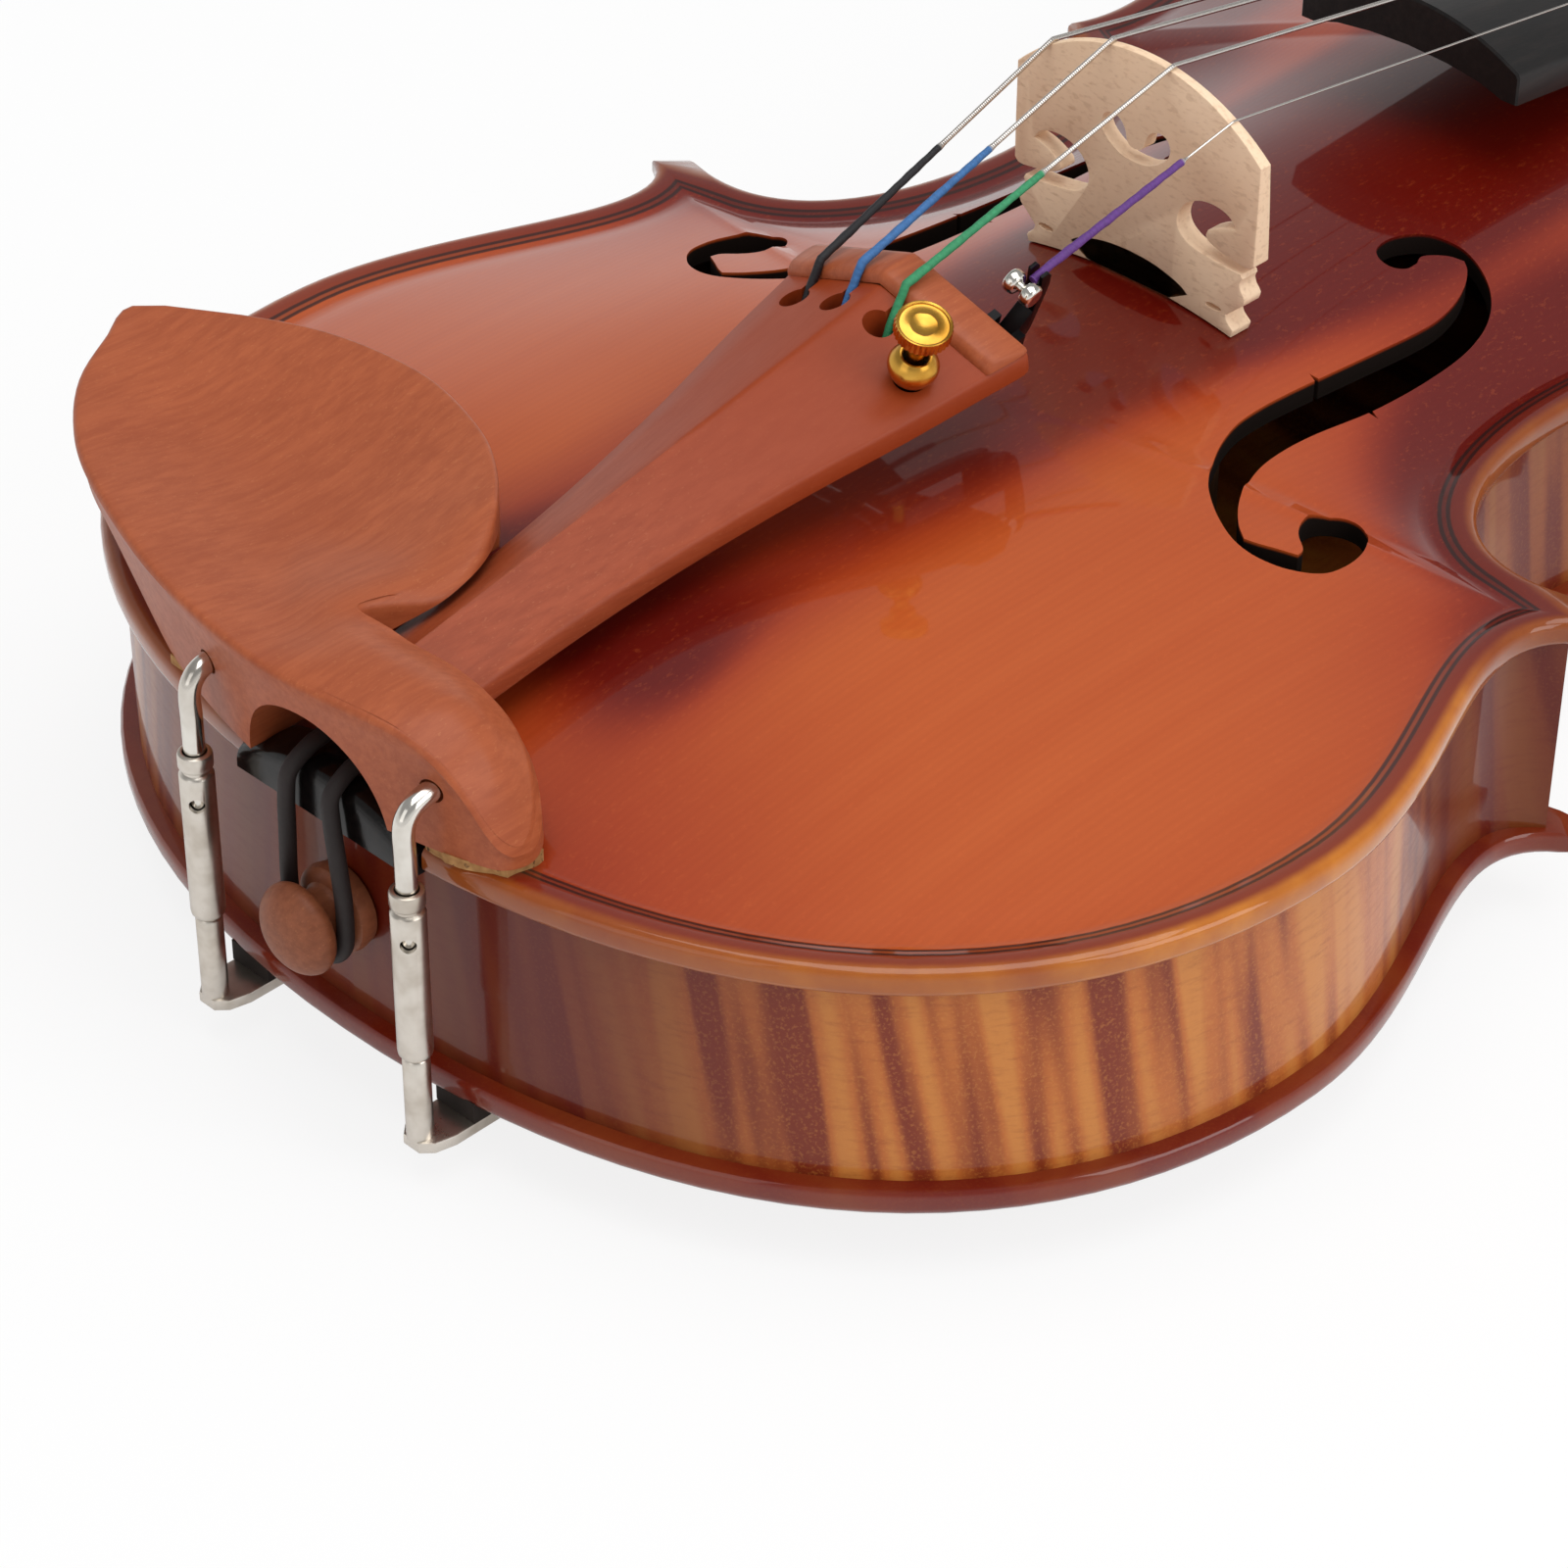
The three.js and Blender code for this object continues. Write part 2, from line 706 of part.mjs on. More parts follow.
function cornerLine(side, which) {
  const half = halfOutline({ bout: 2, waist: 2 });
  const tip = which === 'lower' ? half.lower.at(-1) : half.upper[0];
  const other = which === 'lower' ? half.waist[0] : half.waist.at(-1);
  const middle = flat((tip.x + other.x) / 2, (tip.y + other.y) / 2);
  const index = which === 'lower' ? half.lower.length - 1 : 0;
  const spine = flat(0, spineOf(which, index, half.lower.length));
  const out = middle.clone().sub(spine).normalize();
  const outer = middle.clone().addScaledVector(out, fit.overrun);
  const innerEnd = middle.clone().addScaledVector(out, -block.cornerReach * 1.6);
  return [outer, innerEnd].map((p) => flat(p.x * side, p.y));
}

// A block is the part of the space inside the ribs that a region covers.
const insideRibs = solidOf(prism(ringAt(ribInner + fit.glue), backPlane, bellyPlane));

function regionPrism(outline, grown) {
  const middle = outline.reduce((sum, p) => sum.add(p), flat(0, 0)).divideScalar(outline.length);
  const wider = outline.map((p) => {
    const out = p.clone().sub(middle);
    return p.clone().addScaledVector(out.normalize(), grown * 1.5);
  });
  return solidOf(prism(wider, backPlane - grown * fit.overrun, bellyPlane + grown * fit.overrun));
}

function endRegion() {
  const half = block.endWidth / 2;
  const deep = ribInner + block.endDepth;
  return [flat(-half, -block.endDepth), flat(half, -block.endDepth), flat(half, deep - half * 0.12),
    flat(half * 0.8, deep), flat(-half * 0.8, deep), flat(-half, deep - half * 0.12)];
}

function neckRegion() {
  const half = block.neckWidth / 2;
  const deep = body.length - ribInner - block.neckDepth;
  const past = body.length + block.neckDepth;
  return [flat(-half, past), flat(-half, deep + half * 0.12), flat(-half * 0.8, deep),
    flat(half * 0.8, deep), flat(half, deep + half * 0.12), flat(half, past)];
}

function cornerRegion(side, which) {
  const corner = which === 'lower' ? lowerCorner : upperCorner;
  const away = which === 'lower' ? -1 : 1;
  const reach = block.cornerReach;
  const outline = [
    flat(corner.x + reach, corner.y + away * reach),
    flat(corner.x - reach * 0.42, corner.y + away * reach * 0.72),
    flat(corner.x - reach * 1.02, corner.y - away * reach * 0.28),
    flat(corner.x - reach * 0.5, corner.y - away * reach * 0.9),
    flat(corner.x + reach, corner.y - away * reach * 0.5),
  ].map((p) => flat(p.x * side, p.y));
  return side * away > 0 ? outline : outline.reverse();
}

const regions = {
  end_block: endRegion(),
  neck_block: neckRegion(),
};
for (const [sideName, side] of [['treble', 1], ['bass', -1]]) {
  regions[`${sideName}_lower_corner_block`] = cornerRegion(side, 'lower');
  regions[`${sideName}_upper_corner_block`] = cornerRegion(side, 'upper');
}

const buttonZ = backPlane + rib.height / 2 + button.rise;

function buttonHole(clearance) {
  const start = vec(0, -fit.overrun, buttonZ);
  const end = vec(0, rib.overhang + button.shaftLength + clearance * 2, buttonZ);
  const radius = button.shaft / 2 + clearance;
  return bar(start, end, radius, radius, facets.round);
}

function ribPieces() {
  const wall = band(rib.overhang, ribInner, backPlane, bellyPlane);
  const lowLining = band(liningOuter, liningInner, backPlane, backPlane + rib.liningHeight);
  const highLining = band(liningOuter, liningInner, bellyPlane - rib.liningHeight, bellyPlane);
  let linings = lowLining.add(highLining);
  Object.values(regions).forEach((outline) => {
    linings = linings.subtract(regionPrism(outline, fit.glue).intersect(
      solidOf(prism(ringAt(ribInner - fit.glue / 9), backPlane - fit.overrun, bellyPlane + fit.overrun)),
    ));
  });
  let ring = wall.add(linings);
  const tail = seamCutter(flat(0, -fit.overrun), flat(0, fit.overrun));
  const seams = [tail];
  for (const side of [1, -1]) {
    for (const which of ['lower', 'upper']) seams.push(seamCutter(...cornerLine(side, which)));
  }
  seams.forEach((seam) => {
    ring = ring.subtract(seam);
  });
  ring = ring.subtract(heelCutter).subtract(solidOf(buttonHole(fit.glue)));
  return ring.decompose().filter((piece) => piece.volume() > rib.thickness ** 3 * 50);
}

function ribName(piece) {
  const { min: low, max: high } = piece.boundingBox();
  const side = low[0] + high[0] > 0 ? 'treble' : 'bass';
  const middle = (low[1] + high[1]) / 2;
  if (middle < lowerCorner.y) return `${side}_lower_rib`;
  return middle > upperCorner.y ? `${side}_upper_rib` : `${side}_waist_rib`;
}

// Neck with heel, pegbox and scroll

function gluingZ(y) {
  return bellyEdgeTop + neck.overstand - (y - body.length) * neck.slope;
}

const nutY = body.length + neck.stop;

function boardWidthAt(y) {
  return lerp(neck.nutWidth, board.endWidth, (nutY - y) / board.length);
}

// A neck section: flat on top, rounded below.
function neckSection(y, halfTop, depth, fullness, topZ = gluingZ(y)) {
  const count = 10;
  const under = Array.from({ length: count + 1 }, (_, k) => {
    const angle = (PI * k) / count;
    const across = Math.sign(cos(angle)) * abs(cos(angle)) ** fullness;
    return vec(halfTop * across, y, topZ - depth * sin(angle) ** fullness);
  });
  return under;
}

function neckShaft() {
  const root = body.length;
  const sections = [];
  const heelDepth = gluingZ(root) - backPlane;
  const heelShares = [[0, 1], [0.1, 0.97], [0.24, 0.8], [0.4, 0.55], [0.62, 0.41], [1, 0.355]];
  heelShares.forEach(([run, deep]) => {
    const y = root + neck.heelRun * run;
    const half = lerp(neck.heelWidth / 2, boardWidthAt(y) / 2, min(1, run * 1.2));
    sections.push(neckSection(y, half, heelDepth * deep, lerp(0.62, 0.92, min(1, run * 1.5))));
  });
  const steps = 5;
  for (let i = 1; i <= steps; i += 1) {
    const y = lerp(root + neck.heelRun, nutY, i / steps);
    const depth = lerp(neck.depthAtHeel, neck.depthAtNut, i / steps);
    sections.push(neckSection(y, boardWidthAt(y) / 2, depth, 0.92));
  }
  return loft(sections);
}

// The heel's root, which is let into the edge of the belly, the ribs and the neck block.
function heelRoot(clearance) {
  const y0 = body.length - neck.mortise - clearance;
  const y1 = body.length + clearance * fit.overrun;
  const topHalf = neck.heelWidth / 2 + clearance;
  const lowHalf = plate.buttonWidth / 2 + clearance;
  const low = backPlane;
  const middle = gluingZ(body.length);
  const high = middle + clearance * fit.overrun;
  const shape = (y) => {
    const right = [vec(topHalf, y, middle), vec(lowHalf, y, low)];
    const left = [vec(-lowHalf, y, low), vec(-topHalf, y, middle)];
    const above = [vec(-topHalf, y, high), vec(topHalf, y, high)];
    return clearance > 0 ? [...above, ...right, ...left] : [...right, ...left];
  };
  return loft([shape(y0), shape(y1)]);
}

const pegboxEndY = nutY + nut.length + pegbox.length;

function pegboxTopZ(y) {
  const past = max(0, (y - nutY - nut.length) / pegbox.length);
  return gluingZ(y) + pegbox.back * past * past;
}

function pegboxWidthAt(y) {
  return lerp(neck.nutWidth, pegbox.throatWidth, max(0, (y - nutY) / (pegboxEndY - nutY)) ** 1.2);
}

function pegboxDepthAt(y) {
  const along = min(1, max(0, (y - nutY) / (pegboxEndY - nutY)));
  const chin = 1 - (1 - min(1, along * 6)) ** 2;
  return lerp(neck.depthAtNut, lerp(pegbox.depth, pegbox.throatDepth, along ** 1.3), chin);
}

function pegboxSection(y) {
  const half = pegboxWidthAt(y) / 2;
  const top = pegboxTopZ(y);
  const depth = pegboxDepthAt(y);
  const round = half * 0.35;
  return [
    vec(-half, y, top), vec(half, y, top), vec(half, y, top - depth * 0.72),
    vec(half - round * 0.3, y, top - depth * 0.9), vec(half - round, y, top - depth),
    vec(round - half, y, top - depth), vec(round * 0.3 - half, y, top - depth * 0.9),
    vec(-half, y, top - depth * 0.72),
  ];
}

function pegboxBlock() {
  const shares = [0, 0.06, 0.14, 0.34, 0.6, 0.82, 1];
  const start = nutY + nut.length;
  const along = shares.map((share) => pegboxSection(lerp(start, pegboxEndY, share)));
  // Two more sections carry the back on under the scroll.
  const underShares = [[0.55, 0.163], [1, 0.419]];
  const under = underShares.map(([ahead, drop]) => {
    const last = pegboxSection(pegboxEndY);
    const top = last[0].z - scroll.radius * drop;
    return last.map((p) => vec(p.x * 0.94, p.y + scroll.axisAhead * ahead, min(p.z, top)));
  });
  return loft([pegboxSection(nutY), ...along, ...under]);
}

function pegboxPocket() {
  const from = nutY + nut.length + nut.proud;
  const shares = [0, 0.3, 0.6, 0.96, 1];
  const rings = shares.map((share) => {
    const y = lerp(from, pegboxEndY - pegbox.wall * 1.3, share);
    const half = max(pegboxWidthAt(y) / 2 - pegbox.wall * lerp(1, 0.74, share), pegbox.wall * 0.3);
    const top = pegboxTopZ(y) + pegbox.wall;
    const low = pegboxTopZ(y) - pegboxDepthAt(y) + pegbox.floor * lerp(1, 0.9, share);
    const floor = lerp(low, pegboxTopZ(y) - pegbox.floor, share > 0.99 ? 0.5 : 0);
    return [vec(-half, y, top), vec(half, y, top), vec(half * 0.9, y, floor), vec(-half * 0.9, y, floor)];
  });
  return loft(rings);
}

// The scroll: a spiral wall that steps outward on both sides as it winds in to the eye.
const scrollY = pegboxEndY + scroll.axisAhead;
const scrollZ = pegboxTopZ(pegboxEndY) - pegbox.throatDepth + scroll.radius + scroll.axisRise;

function scrollRadius(turn) {
  return scroll.radius * (scroll.eyeRadius / scroll.radius) ** (turn / scroll.turns);
}

function scrollHalfWidth(turn) {
  const share = min(1, max(0, turn / scroll.turns));
  return lerp(scroll.halfWidth, scroll.eyeHalfWidth, share ** 1.45);
}

function scrollPoint(turn, radius, x) {
  // Winds from the pegbox's back, under and round the far end, over the top and back in.
  const angle = -PI / 2 - scrollStart + 2 * PI * turn;
  return vec(x, scrollY + radius * cos(angle), scrollZ + radius * sin(angle));
}
const scrollStart = degrees(38);

function volute() {
  const perTurn = facets.scrollTurn;
  const last = ceil(scroll.turns * perTurn);
  const turnOf = (k) => k / perTurn;
  const points = [];
  const faces = [];
  const put = (p) => points.push(p) - 1;
  // Corner rows: the top of the wall and its foot, for each side.
  const wallTop = { 1: [], '-1': [] };
  const wallFoot = { 1: [], '-1': [] };
  for (let k = 0; k <= last; k += 1) {
    const turn = turnOf(k);
    const radius = scrollRadius(turn);
    for (const side of [1, -1]) {
      wallTop[side].push(put(scrollPoint(turn, radius, side * scrollHalfWidth(turn))));
      const foot = k >= perTurn ? put(scrollPoint(turn, radius, side * scrollHalfWidth(turn - 1))) : null;
      wallFoot[side].push(foot);
    }
  }
  const quad = (a, b, c, d) => faces.push(a, b, c, a, c, d);
  // The fluted outer wall over the first turn, between the two sides.
  const fluteShares = [1, 0.55, 0.12, -0.12, -0.55, -1];
  const rows = [];
  for (let k = 0; k <= perTurn; k += 1) {
    const turn = turnOf(k);
    const half = scrollHalfWidth(turn);
    const row = fluteShares.map((share, i) => {
      if (i === 0) return wallTop[1][k];
      if (i === fluteShares.length - 1) return wallTop['-1'][k];
      const cut = abs(share) > 0.3 ? scroll.flute : 0;
      return put(scrollPoint(turn, scrollRadius(turn) - cut, share * half));
    });
    rows.push(row);
  }
  for (let k = 0; k < perTurn; k += 1) {
    for (let i = 0; i + 1 < fluteShares.length; i += 1) {
      quad(rows[k][i + 1], rows[k + 1][i + 1], rows[k + 1][i], rows[k][i]);
    }
  }
  for (const side of [1, -1]) {
    const face = side > 0 ? quad : (a, b, c, d) => quad(d, c, b, a);
    // Walls of the inner turns.
    for (let k = perTurn; k < last; k += 1) {
      face(wallFoot[side][k], wallFoot[side][k + 1], wallTop[side][k + 1], wallTop[side][k]);
    }
    // Floors, each between a wall's top and the foot of the next turn's wall.
    for (let k = 0; k + perTurn < last; k += 1) {
      const outer = k + perTurn;
      face(wallTop[side][k], wallTop[side][k + 1], wallFoot[side][outer + 1], wallFoot[side][outer]);
    }
    // The eye closes the last turn.
    const eye = put(vec(side * scrollHalfWidth(scroll.turns), scrollY, scrollZ));
    const fan = (a, b) => (side > 0 ? faces.push(a, b, eye) : faces.push(b, a, eye));
    for (let k = last - perTurn; k < last; k += 1) fan(wallTop[side][k], wallTop[side][k + 1]);
    // The step where the last turn's wall ends.
    fan(wallTop[side][last], wallFoot[side][last]);
    fan(wallFoot[side][last], wallTop[side][last - perTurn]);
  }
  // The riser where the first turn begins, hidden inside the pegbox.
  const lip = [
    ...rows[0],
    wallFoot['-1'][perTurn], ...rows[perTurn].slice().reverse(), wallFoot[1][perTurn],
  ];
  const middle = put(scrollPoint(0, (scrollRadius(0) + scrollRadius(1)) / 2, 0));
  lip.forEach((a, i) => faces.push(lip[(i + 1) % lip.length], a, middle));
  return facing(points, faces);
}

const pegs = {
  g: { side: -1, name: 'peg_g' },
  e: { side: 1, name: 'peg_e' },
  d: { side: -1, name: 'peg_d' },
  a: { side: 1, name: 'peg_a' },
};

function pegAxis(key) {
  const y = nutY + nut.length + pegAlong[key];
  return vec(0, y, pegboxTopZ(y) - peg.drop);
}

function pegRadiusAt(key, x) {
  const half = pegboxWidthAt(pegAxis(key).y) / 2 + peg.tip;
  const share = (half - x * pegs[key].side) / (2 * half);
  return lerp(peg.shaft, peg.shaftEnd, share) / 2;
}

function pegShaftBar(key, clearance, sides) {
  const axis = pegAxis(key);
  const half = pegboxWidthAt(axis.y) / 2 + peg.tip + clearance * 5;
  const { side } = pegs[key];
  const from = vec(side * half, axis.y, axis.z);
  const to = vec(-side * half, axis.y, axis.z);
  const radii = [half, -half].map((x) => pegRadiusAt(key, side * x) + clearance);
  return bar(from, to, ...radii, sides);
}

function neckPiece() {
  let shape = solidOf(neckShaft())
    .add(solidOf(heelRoot(0)))
    .add(solidOf(pegboxBlock()))
    .add(solidOf(volute()));
  shape = shape.subtract(solidOf(pegboxPocket()));
  Object.keys(pegs).forEach((key) => {
    shape = shape.subtract(solidOf(pegShaftBar(key, fit.running, facets.round)));
  });
  return shape;
}

// Fingerboard and nut

function boardSection(y, width, lift) {
  const half = width / 2;
  const low = gluingZ(y);
  const drop = sqrt(board.radius ** 2 - half ** 2);
  const count = 8;
  const arc = Array.from({ length: count + 1 }, (_, k) => {
    const x = lerp(half, -half, k / count);
    return vec(x, y, low + board.edge + lift + sqrt(board.radius ** 2 - x * x) - drop);
  });
  return [vec(-half, y, low), vec(half, y, low), ...arc];
}

function fingerboard() {
  const end = nutY - board.length;
  const stationsY = [end, lerp(end, nutY, 0.5), nutY];
  const solid = solidOf(loft(stationsY.map((y) => boardSection(y, boardWidthAt(y), 0))));
  const half = board.endWidth / 2 - board.edge / 2;
  const scoopRing = (y, rise) => {
    const low = gluingZ(y);
    return [
      vec(-half, y, low - board.edge), vec(half, y, low - board.edge), vec(half, y, low),
      vec(half * 0.5, y, low + rise * 0.8), vec(0, y, low + rise),
      vec(-half * 0.5, y, low + rise * 0.8), vec(-half, y, low),
    ];
  };
  const scoop = loft([
    scoopRing(end - board.edge, board.scoop),
    scoopRing(end + board.scoopLength, board.scoop * 0.2),
  ]);
  return solid.subtract(solidOf(scoop));
}

const nutRestShare = 0.72;

function nutPiece() {
  const from = nutY + fit.glue;
  const to = nutY + nut.length;
  const width = neck.nutWidth;
  return loft([
    boardSection(from, width, nut.proud),
    boardSection(lerp(from, to, nutRestShare), width, nut.proud),
    boardSection(to, width, nut.proud - nut.bevel),
  ]);
}

// Pegs and windings

// The head's sections from the collar outward: along its length, its width and its thickness.
const pegHeadShares = [
  [0, 0.2, 0.75], [0.2, 0.62, 1], [0.45, 0.93, 0.86], [0.68, 1, 0.66], [0.86, 0.86, 0.52], [1, 0.42, 0.4],
];

function pegPiece(key) {
  const axis = pegAxis(key);
  const { side } = pegs[key];
  const half = pegboxWidthAt(axis.y) / 2;
  const out = (distance) => side * (half + distance);
  const shaft = solidOf(pegShaftBar(key, 0, facets.round));
  const neckRadius = peg.shaft * 0.42;
  const profile = [
    [0, peg.tip * 0.5], [peg.collar / 2, peg.tip * 0.5], [peg.collar / 2, peg.collarLength * 0.6],
    [peg.collar * 0.42, peg.collarLength], [neckRadius, peg.collarLength * 1.5],
    [neckRadius * 0.9, peg.reach * 0.75], [neckRadius, peg.reach + peg.tip], [0, peg.reach + peg.tip],
  ];
  const collar = turned(profile, facets.small + 2);
  collar.rotateY((side * PI) / 2).translate(side * half, axis.y, axis.z);
  const start = peg.reach - peg.tip;
  const rings = pegHeadShares.map(([along, wide, thick]) => {
    return Array.from({ length: facets.small }, (_, k) => {
      const angle = (2 * PI * k) / facets.small;
      const x = out(start + peg.headLength * along);
      const across = (cos(angle) * peg.headWidth * wide) / 2;
      const waist = 1 - 0.22 * cos(angle) ** 2;
      return vec(x, axis.y + across, axis.z + (sin(angle) * peg.headThickness * thick * waist) / 2);
    });
  });
  const pip = bar(vec(out(start + peg.headLength - peg.tip), axis.y, axis.z),
    vec(out(start + peg.headLength + peg.tip), axis.y, axis.z), peg.tip, peg.tip * 0.6, 8);
  return shaft.add(solidOf(collar)).add(solidOf(loft(rings))).add(solidOf(pip));
}

function stringAcross(key, spacing) {
  return { g: -1.5, d: -0.5, a: 0.5, e: 1.5 }[key] * spacing;
}

// The least distance between turns of a coil, measured over its points.
function leastGap(points, perTurn, thickness) {
  let nearest = Infinity;
  for (let i = 0; i < points.length; i += 1) {
    for (let j = i + ceil(perTurn / 2); j < points.length; j += 1) {
      nearest = min(nearest, points[i].distanceTo(points[j]));
    }
  }
  return nearest - thickness;
}

function windingRoute(key) {
  const axis = pegAxis(key);
  const thickness = strings.thick[key];
  const start = stringAcross(key, strings.spacingAtNut) * winding.centreShare;
  const fall = atan2(boardCrown(nutY, start) - axis.z - peg.shaft / 2, axis.y - nutY - nut.length);
  const step = -(thickness + winding.gap) * pegs[key].side;
  const perTurn = facets.turn;
  const count = winding.turns * perTurn;
  const route = [];
  for (let i = 0; i <= count; i += 1) {
    const turn = i / perTurn;
    const x = start - step * winding.turns / 2 + step * turn;
    const radius = pegRadiusAt(key, x) + thickness / 2 + winding.lift;
    const angle = PI / 2 - fall - 2 * PI * turn;
    route.push(vec(x, axis.y + radius * cos(angle), axis.z + radius * sin(angle)));
  }
  return route;
}

// Bridge

const bellyCrown = bellyPlane + plate.rise;
const bridgeTop = bellyCrown + bridge.height;

function bridgeTopZ(x) {
  return bridgeTop - bridge.crownRadius + sqrt(bridge.crownRadius ** 2 - x * x);
}

// Right half of the bridge's outline from the arch between the feet to the crown, as shares
// of its half width and its height.
const bridgeSideShares = [
  [0, 0.15], [0.14, 0.142], [0.28, 0.115], [0.36, 0.075], [0.34, 0.03], [0.3, 0.022], [0.3, -0.06],
  [0.93, -0.06], [0.93, 0.1], [0.86, 0.145], [0.9, 0.165], [0.985, 0.23], [0.95, 0.25], [0.96, 0.28],
  [0.9, 0.285], [0.62, 0.33], [0.4, 0.4], [0.36, 0.46], [0.42, 0.51], [0.52, 0.535], [0.66, 0.515],
  [0.74, 0.47], [0.71, 0.425], [0.6, 0.42], [0.64, 0.385], [0.88, 0.33], [0.98, 0.36], [1, 0.4], [1, 0.745],
];

function bridgeShape() {
  const base = bellyCrown - plate.edge * 0.4;
  const tall = bridgeTop - base;
  const right = bridgeSideShares.map(([across, up]) => flat(across * bridge.halfWidth, base + up * tall));
  const count = 12;
  const crown = Array.from({ length: count + 1 }, (_, k) => {
    const x = lerp(bridge.halfWidth, -bridge.halfWidth, k / count);
    return flat(x, bridgeTopZ(x));
  });
  const left = right.slice(1).reverse().map((p) => flat(-p.x, p.y));
  const outline = [...right.slice(0, -1), ...crown, ...left.slice(1)];
  const shape = new THREE.Shape(outline);
  const heartShares = [[0, 0.545], [0.13, 0.57], [0.25, 0.63], [0.27, 0.68], [0.2, 0.71], [0.1, 0.7],
    [0.05, 0.66], [0, 0.68]];
  const heart = heartShares.map(([across, up]) => flat(across * bridge.halfWidth, base + up * tall));
  const heartLeft = heart.slice(1, -1).reverse().map((p) => flat(-p.x, p.y));
  shape.holes.push(new THREE.Path([...heart, ...heartLeft]));
  return shape;
}

function bridgePiece() {
  const depth = bridge.footThickness;
  const slab = new THREE.ExtrudeGeometry(bridgeShape(), { depth, bevelEnabled: false, steps: 1 });
  const place = slab.getAttribute('position');
  const base = bellyCrown - plate.edge;
  for (let i = 0; i < place.count; i += 1) {
    const up = (place.getY(i) - base) / (bridgeTop - base);
    const thick = lerp(bridge.footThickness, bridge.topThickness, up);
    const z = place.getY(i);
    const y = place.getZ(i) > depth / 2 ? bridgeY + thick : bridgeY;
    place.setXYZ(i, place.getX(i), y, z);
  }
  const under = belly.translate([0, 0, fit.glue]);
  return largest(solidOf(outward(slab)).subtract(under));
}

function outward(geometry) {
  const shape = welded(geometry);
  const place = shape.getAttribute('position');
  const points = Array.from({ length: place.count }, (_, i) => vec(0, 0, 0).fromBufferAttribute(place, i));
  return facing(points, Array.from(shape.index.array));
}

// Bass bar and sound post, fitted between the plates

const bassBar = { across: 17, splay: 4, width: 5.5, endGap: 43.5, deep: 11, thin: 3.5 };

function bassBarPiece() {
  const from = bassBar.endGap;
  const length = body.length - 2 * bassBar.endGap;
  const count = 12;
  const rings = Array.from({ length: count + 1 }, (_, k) => {
    const share = k / count;
    const y = from + length * share;
    const x = -lerp(bassBar.across + bassBar.splay, bassBar.across, share);
    const half = bassBar.width / 2;
    const under = archHeight(x, y, plate.rise, plate.droop) - plate.thickness;
    const low = bellyPlane + under - lerp(bassBar.thin, bassBar.deep, sin(PI * share) ** 1.5);
    const high = bellyPlane + under + plate.thickness / 2;
    return [vec(x - half, y, low), vec(x + half, y, low), vec(x + half, y, high), vec(x - half, y, high)];
  });
  return largest(solidOf(loft(rings)).subtract(belly.translate([0, 0, -fit.glue])));
}

const soundPost = { thickness: 6.2, across: 19.5, behind: 5 };

function soundPostPiece() {
  const y = bridgeY - soundPost.behind;
  const from = vec(soundPost.across, y, plate.thickness * 0.7);
  const to = vec(soundPost.across, y, bellyCrown - plate.thickness);
  const post = solidOf(bar(from, to, soundPost.thickness / 2, soundPost.thickness / 2, facets.round));
  return largest(post
    .subtract(belly.translate([0, 0, -fit.glue]))
    .subtract(backSolid.translate([0, 0, fit.glue])));
}

// Tailpiece, built level and then tilted up toward the bridge

const tailFrame = new THREE.Matrix4()
  .makeRotationX(tailpiece.tilt)
  .setPosition(0, tailpiece.tailY, tailpiece.tailZ);
const inTail = (x, y, z) => vec(x, y, z).applyMatrix4(tailFrame);

const tailAlongShares = [0, 0.03, 0.1, 0.28, 0.46, 0.64, 0.8, 0.92, 0.985, 1];
const tailWidthShares = [0.86, 0.97, 1, 1.06, 1.24, 1.56, 1.94, 2.18, 2.31, 2.29];

function tailHalfWidth(y) {
  const share = y / tailpiece.length;
  const i = max(1, tailAlongShares.findIndex((along) => along >= share - 1e-9));
  const [a, b] = [tailAlongShares[i - 1], tailAlongShares[i]];
  const t = (share - a) / (b - a);
  const scale = tailpiece.wideHalf / tailpiece.narrowHalf / tailWidthShares.at(-2);
  const wide = lerp(tailWidthShares[i - 1], tailWidthShares[i], t);
  return tailpiece.narrowHalf * lerp(1, wide, 1) * lerp(1, scale, share);
}

function tailRidge(y) {
  return lerp(tailpiece.narrowRidge, tailpiece.ridge, (y / tailpiece.length) ** 1.2);
}

// Height of the roof-shaped top over the tailpiece's flat edge line.
function tailTop(x, y) {
  return tailpiece.edge + tailRidge(y) * (1 - abs(x) / tailHalfWidth(y));
}

function tailRing(y, lift = 0) {
  const half = tailHalfWidth(y);
  const ridge = tailpiece.edge + tailRidge(y);
  const inner = max(half - tailpiece.shell, half * 0.4);
  const hollow = max(0, ridge - tailpiece.shell - tailpiece.edge * 0.4);
  return [
    inTail(-half, y, lift), inTail(-inner, y, lift), inTail(0, y, hollow + lift),
    inTail(inner, y, lift), inTail(half, y, lift), inTail(half, y, tailpiece.edge + lift),
    inTail(0, y, ridge + lift), inTail(-half, y, tailpiece.edge + lift),
  ];
}

const holeY = tailpiece.length - tailpiece.holeFromEnd;
const tailStringX = (key) => stringAcross(key, tailpiece.spacing);

function keyhole(x, holeRadius) {
  const low = inTail(x, holeY, -tailpiece.edge);
  const high = inTail(x, holeY, fit.overrun);
  const half = tailpiece.slot / 2;
  const slotEnd = tailpiece.length - tailpiece.fretWidth - fit.glue;
  const corners = [[x - half, holeY], [x + half, holeY], [x + half, slotEnd], [x - half, slotEnd]];
  const slot = loft([-tailpiece.edge, fit.overrun].map((z) => corners.map(([a, b]) => inTail(a, b, z))));
  return solidOf(bar(low, high, holeRadius, holeRadius, 12)).add(solidOf(slot));
}

